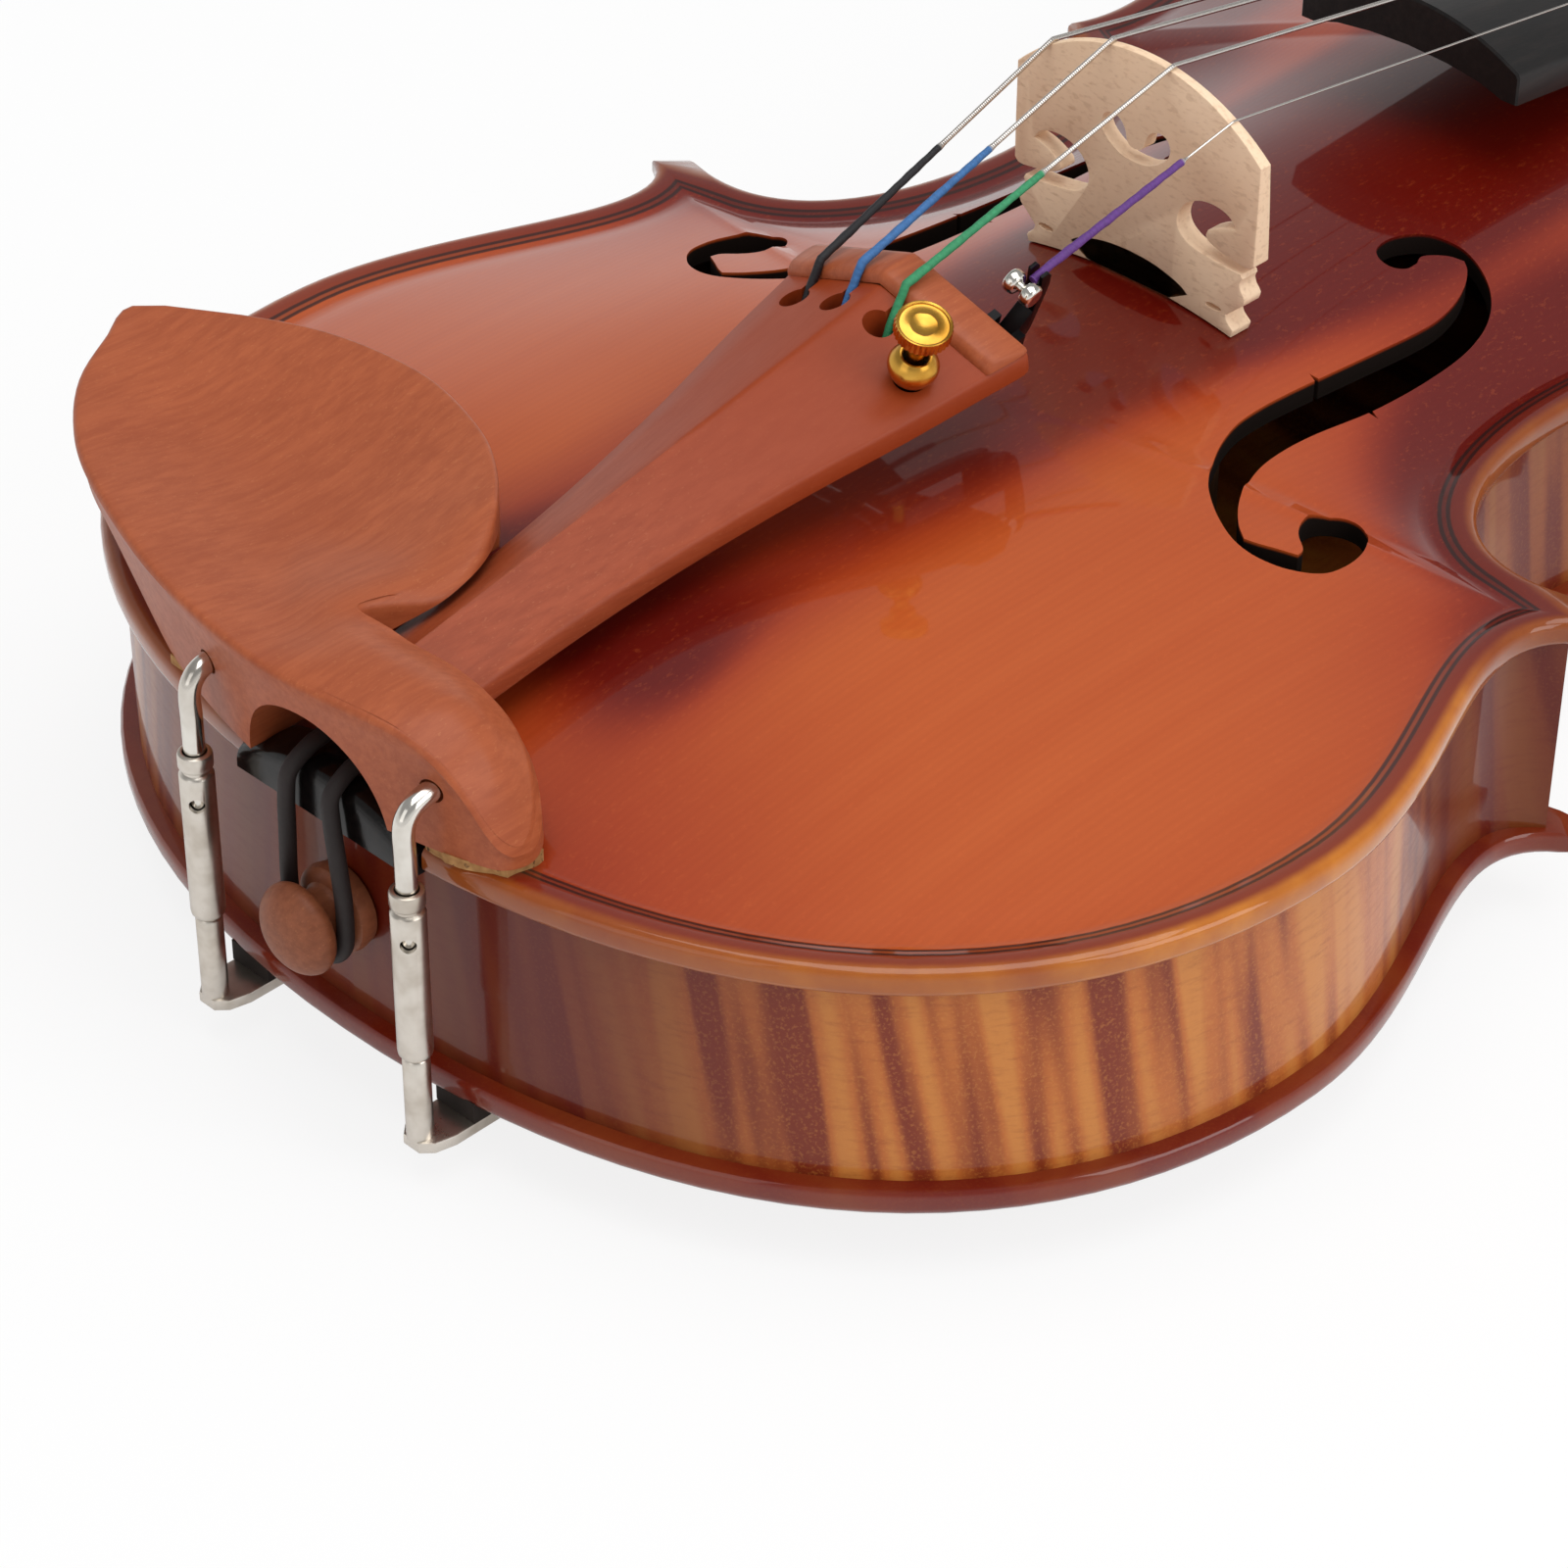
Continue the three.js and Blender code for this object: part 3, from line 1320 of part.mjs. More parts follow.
function tailpiecePiece() {
  let shape = solidOf(loft(tailAlongShares.map((share) => tailRing(share * tailpiece.length))));
  ['g', 'd', 'a'].forEach((key) => {
    shape = shape.subtract(keyhole(tailStringX(key), tailpiece.hole / 2));
  });
  const bolt = tunerAxis(-tuner.armDrop * 2, tuner.collarHeight * 2);
  shape = shape.subtract(solidOf(bar(...bolt, tuner.stem / 2 + tuner.wall + fit.glue, undefined, 12)));
  const cordHole = (side) => bar(
    inTail(side * tailcord.spread, -tailpiece.edge, tailcordHoleZ),
    inTail(side * tailcord.spread, tailcord.lead + fit.glue, tailcordHoleZ),
    tailcord.thickness / 2 + fit.glue, undefined, facets.small,
  );
  return shape.subtract(solidOf(cordHole(1))).subtract(solidOf(cordHole(-1)));
}

const tailcordHoleZ = tailpiece.edge * 0.62;

// The raised fret over the wide end, with a bevel toward the tail.
function fretPiece() {
  const end = tailpiece.length;
  const steps = [[0, 0.1], [0.2, 1], [1, 0.35]];
  const rings = steps.map(([along, tall]) => {
    const y = end - tailpiece.fretWidth * (1 - along);
    const half = tailHalfWidth(y);
    const low = fit.glue * 0.5;
    const high = low + tailpiece.fretHeight * tall;
    const edgeZ = tailpiece.edge;
    const ridge = edgeZ + tailRidge(y);
    return [
      inTail(half, y, edgeZ + low), inTail(half, y, edgeZ + high), inTail(0, y, ridge + high),
      inTail(-half, y, edgeZ + high), inTail(-half, y, edgeZ + low), inTail(0, y, ridge + low),
    ];
  });
  return loft(rings);
}

// Saddle, let into the belly's edge

function saddlePiece() {
  const half = saddle.width / 2;
  const front = -saddle.front;
  const top = bellyPlane + saddle.top;
  const low = bellyPlane;
  const side = bellyEdgeTop - plate.edgeRound * 0.5;
  const section = (x, crown) => [
    vec(x, front, low), vec(x, saddle.depth, low), vec(x, saddle.depth, crown - saddle.shoulder * 0.3),
    vec(x, saddle.depth * 0.45, crown), vec(x, 0, crown - saddle.shoulder * 0.18),
    vec(x, front, crown - saddle.shoulder * 0.7),
  ];
  const shares = [-1, -0.8, -0.45, 0, 0.45, 0.8, 1];
  return loft(shares.map((share) => section(share * half, lerp(top, side, abs(share) ** 2.2))));
}

// End button, turned about the Y axis

function buttonPiece() {
  const collarBack = rib.overhang - fit.glue;
  const collarFront = collarBack - button.collarLength;
  const neckFront = collarFront - button.neckLength;
  const tip = neckFront - button.headLength;
  const end = collarBack + button.shaftLength;
  const [head, waist, collar] = [button.head / 2, button.neck / 2, button.collar / 2];
  const profile = [
    [0, tip], [head * 0.5, tip + button.headLength * 0.1], [head * 0.86, tip + button.headLength * 0.34],
    [head, tip + button.headLength * 0.66], [head * 0.9, neckFront - button.headLength * 0.06],
    [waist, neckFront + button.neckLength * 0.3], [waist, collarFront - button.neckLength * 0.2],
    [collar * 0.86, collarFront], [collar, collarFront + button.collarLength * 0.5],
    [collar * 0.94, collarBack],
    [button.shaft / 2, collarBack], [button.shaftEnd / 2, end], [0, end],
  ];
  return outward(turned(profile, facets.round).rotateX(-PI / 2).translate(0, 0, buttonZ));
}

const buttonNeckY = rib.overhang - fit.glue - button.collarLength - button.neckLength / 2;

// Tail cord: from the tailpiece over the saddle, round the neck of the button and back
function tailcordPoints() {
  const radius = tailcord.thickness / 2;
  const saddleTop = bellyPlane + saddle.top + radius + fit.glue;
  const loopRadius = button.neck / 2 + radius + fit.glue;
  const belowY = lerp(-saddle.front, buttonNeckY, 0.75) - radius * 0.6;
  const half = (side) => [
    inTail(side * tailcord.spread, tailcord.lead, tailcordHoleZ),
    inTail(side * tailcord.spread, 0, tailcordHoleZ),
    vec(side * tailcord.spread, saddle.depth * 0.55, saddleTop + radius * 0.5),
    vec(side * tailcord.spread, saddle.front, saddleTop - radius * 0.1),
    vec(side * tailcord.spread * 1.05, -saddle.front - radius * 1.2, saddleTop - radius * 1.9),
    vec(side * tailcord.spread * 1.15, belowY, saddleTop - radius * 5),
    vec(side * loopRadius, buttonNeckY, buttonZ + loopRadius),
    vec(side * loopRadius, buttonNeckY, buttonZ),
  ];
  const steps = 8;
  const under = Array.from({ length: steps - 1 }, (_, k) => {
    const angle = (PI * (k + 1)) / steps;
    return vec(loopRadius * cos(angle), buttonNeckY, buttonZ - loopRadius * sin(angle));
  });
  return [...half(1), ...under, ...half(-1).reverse()];
}

function tailcordPiece() {
  const points = tailcordPoints();
  return cord(points, points.map(() => tailcord.thickness / 2));
}

// Fine tuner: its frame's Z axis runs out of the treble slope of the tailpiece

const tunerLean = () => atan2(tailRidge(holeY), tailHalfWidth(holeY));
const tunerFrame = new THREE.Matrix4().makeRotationY(tunerLean());
tunerFrame.setPosition(tuner.across, holeY, tailTop(tuner.across, holeY));
tunerFrame.premultiply(tailFrame);
const inTuner = (x, y, z) => vec(x, y, z).applyMatrix4(tunerFrame);

function tunerAxis(from, to) {
  return [inTuner(0, 0, from), inTuner(0, 0, to)];
}

const tunerFloor = -(tailpiece.shell + tuner.frameGap);

// Bracket under the tailpiece: a threaded boss through its hole, a strip and two ears.
function tunerFramePiece() {
  const boss = tuner.stem / 2 + tuner.wall;
  const low = tunerFloor - tuner.frameThickness;
  const half = tuner.frameWidth / 2;
  const strip = box(-half, half, -boss * 1.4, tuner.pinAhead + tuner.pin * 0.4, low, tunerFloor);
  const earOut = half;
  const earIn = half - tuner.frameThickness;
  const ear = (x0, x1) => box(x0, x1, tuner.pinAhead - tuner.pin * 1.2, tuner.pinAhead + tuner.pin * 1.2,
    tunerPinZ - tuner.pin, tunerFloor);
  const flatShape = solidOf(strip)
    .add(solidOf(ear(earIn, earOut)))
    .add(solidOf(ear(-earOut, -earIn)))
    .add(solidOf(bar(vec(0, 0, tunerFloor - fit.glue), vec(0, 0, tuner.collarHeight * 0.7), boss, boss, 12)));
  const screwWay = bar(vec(0, 0, low * 3), vec(0, 0, fit.overrun), screwRadius, screwRadius, 12);
  return placedSolid(flatShape.subtract(solidOf(screwWay)).subtract(solidOf(pivotPinWay())));
}

const screwRadius = tuner.stem / 2 + fit.running;
const leverHub = tuner.pin / 2 + tuner.wall;
const tunerPinZ = tunerFloor - tuner.frameThickness - leverHub - fit.glue;

// The way of the pivot pin through the ears and the lever, in the tuner's frame.
function pivotPinWay() {
  const reach = (x) => vec(x, tuner.pinAhead, tunerPinZ);
  const radius = tuner.pin / 2 + fit.running;
  return bar(reach(-fit.overrun), reach(fit.overrun), radius, radius, 12);
}

function placedSolid(solid) {
  return solid.transform(tunerFrame.elements);
}

function collarPiece() {
  const r = tuner.collar / 2;
  const h = tuner.collarHeight;
  const inner = tuner.stem / 2 + tuner.wall + fit.running;
  const base = fit.glue;
  const profile = [
    [inner, base], [r * 0.82, base], [r * 0.86, base + h * 0.12], [r, base + h * 0.34], [r, base + h * 0.6],
    [r * 0.8, base + h * 0.86], [r * 0.62, h], [inner, h], [inner, base],
  ];
  return solidOf(outward(turned(profile, facets.round))).transform(tunerFrame.elements);
}

const screwHeadZ = tuner.collarHeight + tuner.headGap;

function screwStemPiece() {
  const low = tunerFloor - tuner.armDrop + tuner.armThickness + fit.glue;
  const high = screwHeadZ + tuner.headHeight * 0.4;
  return bar(inTuner(0, 0, low), inTuner(0, 0, high), tuner.stem / 2, undefined, 12);
}

function screwHeadPiece() {
  const r = tuner.head / 2;
  const h = tuner.headHeight;
  const hub = r * 0.56;
  const bore = tuner.stem / 2 + fit.running;
  const blind = screwHeadZ + h * 0.4 + fit.running;
  const profile = [
    [bore, screwHeadZ - h * 0.3], [hub, screwHeadZ - h * 0.3], [hub, screwHeadZ + h * 0.1],
    [r * 0.95, screwHeadZ + h * 0.22], [r, screwHeadZ + h * 0.34], [r, screwHeadZ + h * 0.88],
    [r * 0.95, screwHeadZ + h], [r * 0.8, screwHeadZ + h], [r * 0.78, screwHeadZ + h * 0.9],
    [0, screwHeadZ + h * 0.9], [0, blind], [bore, blind], [bore, screwHeadZ - h * 0.3],
  ];
  return solidOf(outward(turned(profile, facets.round + facets.small / 2))).transform(tunerFrame.elements);
}

// Lever: a plate under the screw's tip, a pivot barrel and two prongs that hook the string's ball.
function leverPiece() {
  const half = tuner.frameWidth / 2 - tuner.frameThickness - fit.running;
  const armTop = tunerFloor - tuner.armDrop + tuner.armThickness;
  const armLow = tunerFloor - tuner.armDrop;
  const hub = leverHub;
  const pinY = tuner.pinAhead;
  const tip = pinY + tuner.hookAhead;
  const prongTop = tunerPinZ + tuner.hookRise;
  const t = tuner.armThickness;
  const outline = [
    flat(-tuner.stem, armLow), flat(pinY - hub, armLow), flat(pinY + hub * 0.8, tunerPinZ - hub),
    flat(tip - t * 0.4, tunerPinZ + hub * 0.4), flat(tip + t * 0.6, prongTop - t * 2), flat(tip, prongTop),
    flat(tip - t * 0.9, prongTop), flat(tip - t * 0.6, prongTop - t * 2),
    flat(pinY + hub * 0.9, tunerPinZ + hub), flat(pinY - hub, tunerPinZ + hub * 0.6),
    flat(pinY - hub * 1.6, armTop), flat(-tuner.stem, armTop),
  ];
  const ring = (x) => outline.map((p) => vec(x, p.x, p.y));
  const slit = box(-strings.silk / 2 - fit.running, strings.silk / 2 + fit.running, tip - t * 2, fit.overrun,
    prongTop - strings.silk * 3, fit.overrun);
  const blade = solidOf(loft([ring(-half), ring(half)]));
  return placedSolid(blade.subtract(solidOf(slit)).subtract(solidOf(pivotPinWay())));
}

function pivotPinPiece() {
  const half = tuner.frameWidth / 2;
  return bar(inTuner(-half, tuner.pinAhead, tunerPinZ), inTuner(half, tuner.pinAhead, tunerPinZ),
    tuner.pin / 2, undefined, 12);
}

// Strings

const boardCrown = (y, x) => {
  const half = boardWidthAt(y) / 2;
  return gluingZ(y) + board.edge + sqrt(board.radius ** 2 - x * x) - sqrt(board.radius ** 2 - half ** 2);
};

function stringRoute(key) {
  const radius = strings.thick[key] / 2;
  const silk = strings.silk / 2;
  const atBridge = stringAcross(key, strings.spacingAtBridge);
  const atNut = stringAcross(key, strings.spacingAtNut);
  const rest = radius + fit.string;
  const bridgePoint = vec(atBridge, bridgeY + bridge.topThickness / 2, bridgeTopZ(atBridge) + rest);
  const nutFront = vec(atNut, nutY + fit.glue, boardCrown(nutY, atNut) + nut.proud + rest);
  const restY = nutY + nut.length * nutRestShare;
  const nutPoint = vec(atNut, restY, boardCrown(restY, atNut) + nut.proud + rest);
  // The string comes down onto the peg beside the first turn of its own coil.
  const end = windingRoute(key)[0].add(vec(pegs[key].side * (strings.thick[key] + fit.glue), 0, 0));
  const start = key === 'e' ? leverString() : tailString(key);
  const fromStart = start.at(-1);
  const silkEnd = fromStart.clone().lerp(bridgePoint, key === 'e' ? 0.72 : 0.5);
  const thin = fromStart.clone().lerp(bridgePoint, key === 'e' ? 0.74 : 0.52);
  const points = [...start, silkEnd, thin, bridgePoint, nutFront, nutPoint, end];
  const radii = [...start.map(() => silk), silk * 0.8, radius, radius, radius, radius, radius];
  return { points, radii };
}

function tailString(key) {
  const x = tailStringX(key);
  const silk = strings.silk / 2;
  const lowY = holeY + strings.ball * 0.2;
  const overY = tailpiece.length - tailpiece.fretWidth * 0.86;
  const slotY = tailpiece.length - tailpiece.fretWidth - silk * 3;
  const under = tailTop(x, lowY) - tailpiece.shell - strings.ball;
  return [
    inTail(x, lowY, under),
    inTail(x, slotY, tailTop(x, slotY) - silk),
    inTail(x, overY, tailTop(x, overY) + tailpiece.fretHeight + silk + fit.glue * 2),
  ];
}

const leverBallAt = [
  tuner.pinAhead + tuner.hookAhead - tuner.armThickness - strings.ball / 2 - fit.glue,
  tunerPinZ + tuner.hookRise - strings.silk * 1.3,
];

function leverString() {
  const [y, z] = leverBallAt;
  return [
    inTuner(0, y + strings.ball / 2 + fit.glue, z),
    inTuner(0, y + strings.ball + tuner.armThickness, z + strings.silk * 0.4),
  ];
}

// The ball's axis lies across the string.
function ballAt(centre) {
  const half = strings.ball / 2;
  return bar(vec(centre.x - half, centre.y, centre.z), vec(centre.x + half, centre.y, centre.z),
    strings.ball / 2, undefined, 12);
}

function stringPiece(key) {
  const { points, radii } = stringRoute(key);
  const tube = solidOf(cord(points, radii));
  return key === 'e' ? tube : tube.add(solidOf(ballAt(points[0])));
}

// The ball of the E string sits behind the lever's prongs and moves with them.
function leverBallPiece() {
  const half = strings.ball * 0.7;
  const [y, z] = leverBallAt;
  return bar(inTuner(-half, y, z), inTuner(half, y, z), strings.ball / 2, undefined, 12);
}

function windingPiece(key) {
  const route = windingRoute(key);
  const thickness = strings.thick[key];
  const gap = leastGap(route, facets.turn, thickness);
  console.log(`winding ${key}: least gap to itself ${gap.toFixed(2)} mm`);
  return cord(route, route.map(() => thickness / 2), 6);
}

// Chinrest: a dished cup on the bass side and a bar across the tail

// Top outline in plan, as shares of the reach to the bass side, treble side, back and front.
const chinShares = [
  [-1, 0.7], [-0.955, 0.56], [-0.89, 0.4], [-0.8, 0.27], [-0.68, 0.155], [-0.49, 0.04], [-0.31, -0.45],
  [-0.1, -1], [0.16, -0.85], [0.6, -0.3], [0.85, 0.03], [0.985, 0.09], [1, 0.15], [0.9, 0.215], [0.7, 0.26],
  [0.27, 0.295], [-0.01, 0.27], [-0.075, 0.235], [-0.072, 0.3], [-0.038, 0.44], [-0.058, 0.58],
  [-0.12, 0.72], [-0.21, 0.845], [-0.31, 0.93], [-0.47, 0.995], [-0.63, 0.985], [-0.76, 0.93], [-0.89, 0.825],
];

function chinOutline() {
  return chinShares.map(([x, y]) => flat(
    x * (x < 0 ? chinrest.left : chinrest.right),
    y * (y < 0 ? chinrest.front : chinrest.back),
  ));
}

// Height of the rim, which falls from the cup toward the bar's treble end.
function chinRim(p) {
  const bar01 = min(1, max(0, p.x / chinrest.right));
  const back = min(1, max(0, p.y / chinrest.back));
  return lerp(lerp(chinrest.ridgeZ, chinrest.rimZ, back), chinrest.ridgeZ - chinrest.barDrop, bar01 ** 2.2);
}

const chinCentre = flat(-0.47 * chinrest.left, 0.5 * chinrest.back);
const footTop = bellyEdgeTop + chinrest.footZ;
const ease = (from, to, at) => {
  const t = min(1, max(0, (at - from) / (to - from)));
  return t * t * (3 - 2 * t);
};

// Distance from a point to the chinrest's outline in plan.
function chinEdge(outline, x, y) {
  let nearest = Infinity;
  outline.forEach((a, i) => {
    const b = outline[(i + 1) % outline.length];
    const run = b.clone().sub(a);
    const t = min(1, max(0, flat(x - a.x, y - a.y).dot(run) / run.lengthSq()));
    nearest = min(nearest, hypot(a.x + run.x * t - x, a.y + run.y * t - y));
  });
  return nearest;
}

function chinTop(outline, p) {
  const edge = chinEdge(outline, p.x, p.y);
  const inCup = 1 - ease(-chinrest.left * 0.14, chinrest.right * 0.1, p.x);
  const dip = chinrest.dish * ease(0, chinrest.back * 0.42, edge) * inCup;
  const crown = chinrest.barCrown * (1 - inCup) * ease(0, chinrest.padDepth, edge);
  const back = ease(chinrest.back * 0.1, chinrest.back * 0.34, p.y) * (1 - inCup) * chinrest.barBackDrop;
  return chinRim(p) - dip + crown - back;
}

function chinUnder(p) {
  const overBar = ease(-chinrest.left * 0.66, -chinrest.left * 0.42, p.x);
  const foot = (1 - ease(chinrest.padFront + chinrest.padDepth, chinrest.back * 0.36, p.y)) * overBar;
  const cup = chinRim(p) - chinrest.rimThickness;
  const under = cup - chinrest.dish * 0.5 * (1 - ease(0, chinrest.back * 0.6, p.distanceTo(chinCentre)));
  const barSide = ease(-chinrest.left * 0.1, 0, p.x);
  return lerp(lerp(under, footTop + chinrest.padDepth * 0.6, barSide), footTop, foot);
}

// A slab over a grid in plan between two heights given for each point.
function slab(x0, x1, y0, y1, step, lowAt, highAt) {
  const nx = ceil((x1 - x0) / step);
  const ny = ceil((y1 - y0) / step);
  const points = [];
  for (const height of [lowAt, highAt]) {
    for (let j = 0; j <= ny; j += 1) {
      for (let i = 0; i <= nx; i += 1) {
        const p = flat(lerp(x0, x1, i / nx), lerp(y0, y1, j / ny));
        points.push(vec(p.x, p.y, height(p)));
      }
    }
  }
  const faces = [];
  const quad = (a, b, c, d) => faces.push(a, b, c, a, c, d);
  const low = (i, j) => j * (nx + 1) + i;
  const high = (i, j) => (ny + 1) * (nx + 1) + low(i, j);
  for (let j = 0; j < ny; j += 1) {
    for (let i = 0; i < nx; i += 1) {
      quad(low(i, j), low(i, j + 1), low(i + 1, j + 1), low(i + 1, j));
      quad(high(i, j), high(i + 1, j), high(i + 1, j + 1), high(i, j + 1));
    }
  }
  for (let i = 0; i < nx; i += 1) {
    quad(low(i, 0), low(i + 1, 0), high(i + 1, 0), high(i, 0));
    quad(low(i + 1, ny), low(i, ny), high(i, ny), high(i + 1, ny));
  }
  for (let j = 0; j < ny; j += 1) {
    quad(low(0, j + 1), low(0, j), high(0, j), high(0, j + 1));
    quad(low(nx, j), low(nx, j + 1), high(nx, j + 1), high(nx, j));
  }
  return facing(points, faces);
}

// The side wall leans in under the front rim toward the body's own edge.
function chinWall(outline) {
  const lowZ = footTop - fit.glue * 2;
  const highZ = chinrest.rimZ + chinrest.dish;
  const share = (highZ - chinrest.ridgeZ) / (highZ - lowZ);
  const drawn = (p, amount) => {
    const frontness = 1 - ease(-chinrest.front, chinrest.back * 0.6, p.y);
    const pull = frontness * chinrest.frontLean * amount;
    const inward = chinCentre.clone().sub(p).normalize();
    const towardBar = ease(-chinrest.left * 0.4, 0, p.x);
    const goal = inward.lerp(flat(0, 1), towardBar).normalize();
    return p.clone().addScaledVector(goal, pull);
  };
  return loft([
    outline.map((p) => drawn(p, 1)).map((p) => vec(p.x, p.y, lowZ)),
    outline.map((p) => drawn(p, -share / (1 - share))).map((p) => vec(p.x, p.y, highZ)),
  ]);
}

function chinrestPiece() {
  const outline = chinOutline();
  const reach = chinrest.padDepth;
  const topAt = (p) => max(chinTop(outline, p), chinUnder(p) + fit.glue);
  const solid = solidOf(slab(-chinrest.left - reach, chinrest.right + reach, -chinrest.front - reach,
    chinrest.back + reach, chinrest.cell, chinUnder, topAt));
  let shape = solid.intersect(solidOf(chinWall(outline)));
  const arch = archOutline();
  shape = shape.subtract(solidOf(loft([
    arch.map((p) => vec(p.x, -fit.overrun, p.y)),
    arch.map((p) => vec(p.x * 1.1, chinrest.back * 0.62, p.y)),
  ])));
  const over = chinrest.tailClearance;
  const tailRoom = [0, 0.3, 0.7].map((share) => {
    const y = share * tailpiece.length;
    const half = tailHalfWidth(y) + over;
    const edge = tailpiece.edge + over;
    return [inTail(-half, y, -fit.overrun / 4), inTail(half, y, -fit.overrun / 4), inTail(half, y, edge),
      inTail(0, y, edge + tailRidge(y)), inTail(-half, y, edge)];
  });
  shape = shape.subtract(solidOf(loft(tailRoom)));
  for (const side of [-1, 1]) {
    shape = shape.subtract(solidOf(bar(...hookHole(side), clamp.rod / 2 + fit.glue, undefined, 12)));
  }
  return shape;
}

function archOutline() {
  const base = bellyEdgeTop - plate.edge;
  const count = 10;
  return Array.from({ length: count + 1 }, (_, k) => {
    const angle = (PI * k) / count;
    const lift = sin(angle) ** 0.8;
    return flat(chinrest.archHalf * cos(angle), base + (chinrest.archTop - base) * lift);
  });
}

function hookHole(side) {
  const x = (side * clamp.apart) / 2;
  const from = hookRoute(side);
  const last = from.at(-1);
  const before = from.at(-2);
  const ahead = last.clone().sub(before).normalize();
  return [vec(x, before.y, before.z).addScaledVector(ahead, -clamp.rod * 2),
    last.clone().addScaledVector(ahead, fit.glue)];
}

// A cork pad between the chinrest and the belly's edge.
function corkPiece(side) {
  const top = footTop - fit.glue / 2;
  const near = side * chinrest.padFrom;
  const far = side * (chinrest.padFrom + chinrest.padWidth);
  const front = chinrest.padFront;
  const low = bellyEdgeTop - plate.edge;
  const pad = box(min(near, far), max(near, far), front, front + chinrest.padDepth, low, top);
  return largest(solidOf(pad).subtract(belly.translate([0, 0, fit.glue])).subtract(belly));
}

// Chinrest clamps

function hookRoute(side) {
  const x = (side * clamp.apart) / 2;
  const y = clamp.axisY;
  const bottom = clamp.barrelFrom + clamp.barrelLength - clamp.stemHidden;
  const bendStart = clamp.hookTop - clamp.hookBend;
  const bend = clamp.hookBend;
  return [
    vec(x, y, bottom), vec(x, y, bendStart - bend), vec(x, y, bendStart),
    vec(x, y + bend * 0.22, bendStart + bend * 0.6), vec(x, y + bend * 0.85, bendStart + bend),
    vec(x, y + bend * 0.85 + clamp.hookIn, bendStart + bend * 1.35),
  ];
}

function hookPiece(side) {
  const route = hookRoute(side);
  return cord(route, route.map(() => clamp.rod / 2), 12);
}

function barrelPiece(side) {
  const [r, bore] = [clamp.barrel / 2, clamp.bore / 2];
  const [z0, length] = [clamp.barrelFrom, clamp.barrelLength];
  const bevel = r - bore;
  const profile = [
    [bore, z0], [r - bevel * 0.4, z0], [r, z0 + bevel], [r, z0 + length - bevel * 2.4],
    [r - bevel * 0.3, z0 + length - bevel * 2.1], [r, z0 + length - bevel * 1.7],
    [r, z0 + length - bevel * 0.5], [r - bevel * 0.5, z0 + length], [bore, z0 + length], [bore, z0],
  ];
  const x = (side * clamp.apart) / 2;
  const tube = outward(turned(profile, facets.round).translate(x, clamp.axisY, 0));
  const level = z0 + clamp.wrenchUp;
  const hole = bar(vec(x + clamp.barrel, clamp.axisY - clamp.barrel, level),
    vec(x - clamp.barrel, clamp.axisY + clamp.barrel, level), clamp.wrenchHole / 2, undefined, 10);
  return solidOf(tube).subtract(solidOf(hole));
}

function footPiece(side) {
  const x = (side * clamp.apart) / 2;
  const top = clamp.barrelFrom + clamp.stemHidden;
  const r = clamp.rod / 2;
  const onAxis = (z) => vec(x, clamp.axisY, z);
  const stem = bar(onAxis(clamp.footBottom + r * 0.2), onAxis(top), r, undefined, 12);
  const half = clamp.footWidth / 2;
  const z0 = clamp.footBottom;
  const z1 = z0 + clamp.footThickness;
  const y0 = clamp.axisY - r * 1.1;
  const y1 = clamp.axisY + clamp.footReach;
  const rightSide = [[r, y0], [half, y0 + clamp.rod * 1.6], [half, y1 - r], [half * 0.6, y1]];
  const leftSide = rightSide.map(([across, y]) => [-across, y]).reverse();
  const outline = [...rightSide, ...leftSide].map(([across, y]) => flat(x + across, y));
  const shoulder = bar(onAxis(z0 + r), onAxis(clamp.barrelFrom - fit.glue), r * 1.25, undefined, 12);
  return solidOf(prism(outline, z0, z1)).add(solidOf(stem)).add(solidOf(shoulder));
}

function footPadPiece(side) {
  const x = (side * clamp.apart) / 2;
  const half = clamp.footWidth / 2;
  const z0 = clamp.footBottom + clamp.footThickness;
  const y1 = clamp.axisY + clamp.footReach;
  const pad = box(x - half, x + half, y1 - clamp.footReach * 0.52, y1, z0, z0 + clamp.pad * 2.4);
  return solidOf(pad).subtract(backSolid.translate([0, 0, -fit.glue]));
}

// Assembly

const spruce = woodOf('spruce');
const maple = woodOf('maple');
const plainWood = woodOf('plainWood');
const stained = woodOf('stained');
const ebony = woodOf('ebony');
const gold = metalOf('#d3a03c', 0.25);
const nickel = metalOf('#cfcbc4', 0.28);
const blackMetal = metalOf('#1b1b1d', 0.4);
const cork = new THREE.MeshStandardMaterial({ color: '#b08a55', roughness: 0.9 });
const blackCord = new THREE.MeshStandardMaterial({ color: '#1d1d1e', roughness: 0.5 });
const silver = metalOf('#c9c9cb', 0.3);

add('bass_bar', geometryOf(bassBarPiece()), plainWood);
add('sound_post', geometryOf(soundPostPiece()), plainWood);
add('tailpiece', geometryOf(tailpiecePiece()), stained);
add('tailpiece_fret', fretPiece(), stained);
add('saddle', saddlePiece(), ebony);
add('end_button', buttonPiece(), stained);
add('tail_cord', tailcordPiece(), blackCord);
add('tuner_frame', geometryOf(tunerFramePiece()), blackMetal);
add('tuner_collar', geometryOf(collarPiece()), gold);
add('tuner_screw_stem', screwStemPiece(), gold);
add('tuner_screw_head', geometryOf(screwHeadPiece()), gold);
add('tuner_lever', geometryOf(leverPiece()), blackMetal);
add('tuner_pivot_pin', pivotPinPiece(), blackMetal);
add('string_e_ball', leverBallPiece(), silver);
Object.keys(strings.thick).forEach((key) => {
  add(`string_${key}`, geometryOf(stringPiece(key)), silver);
  add(`winding_${key}`, windingPiece(key), silver);
});
add('chinrest', geometryOf(chinrestPiece()), stained);
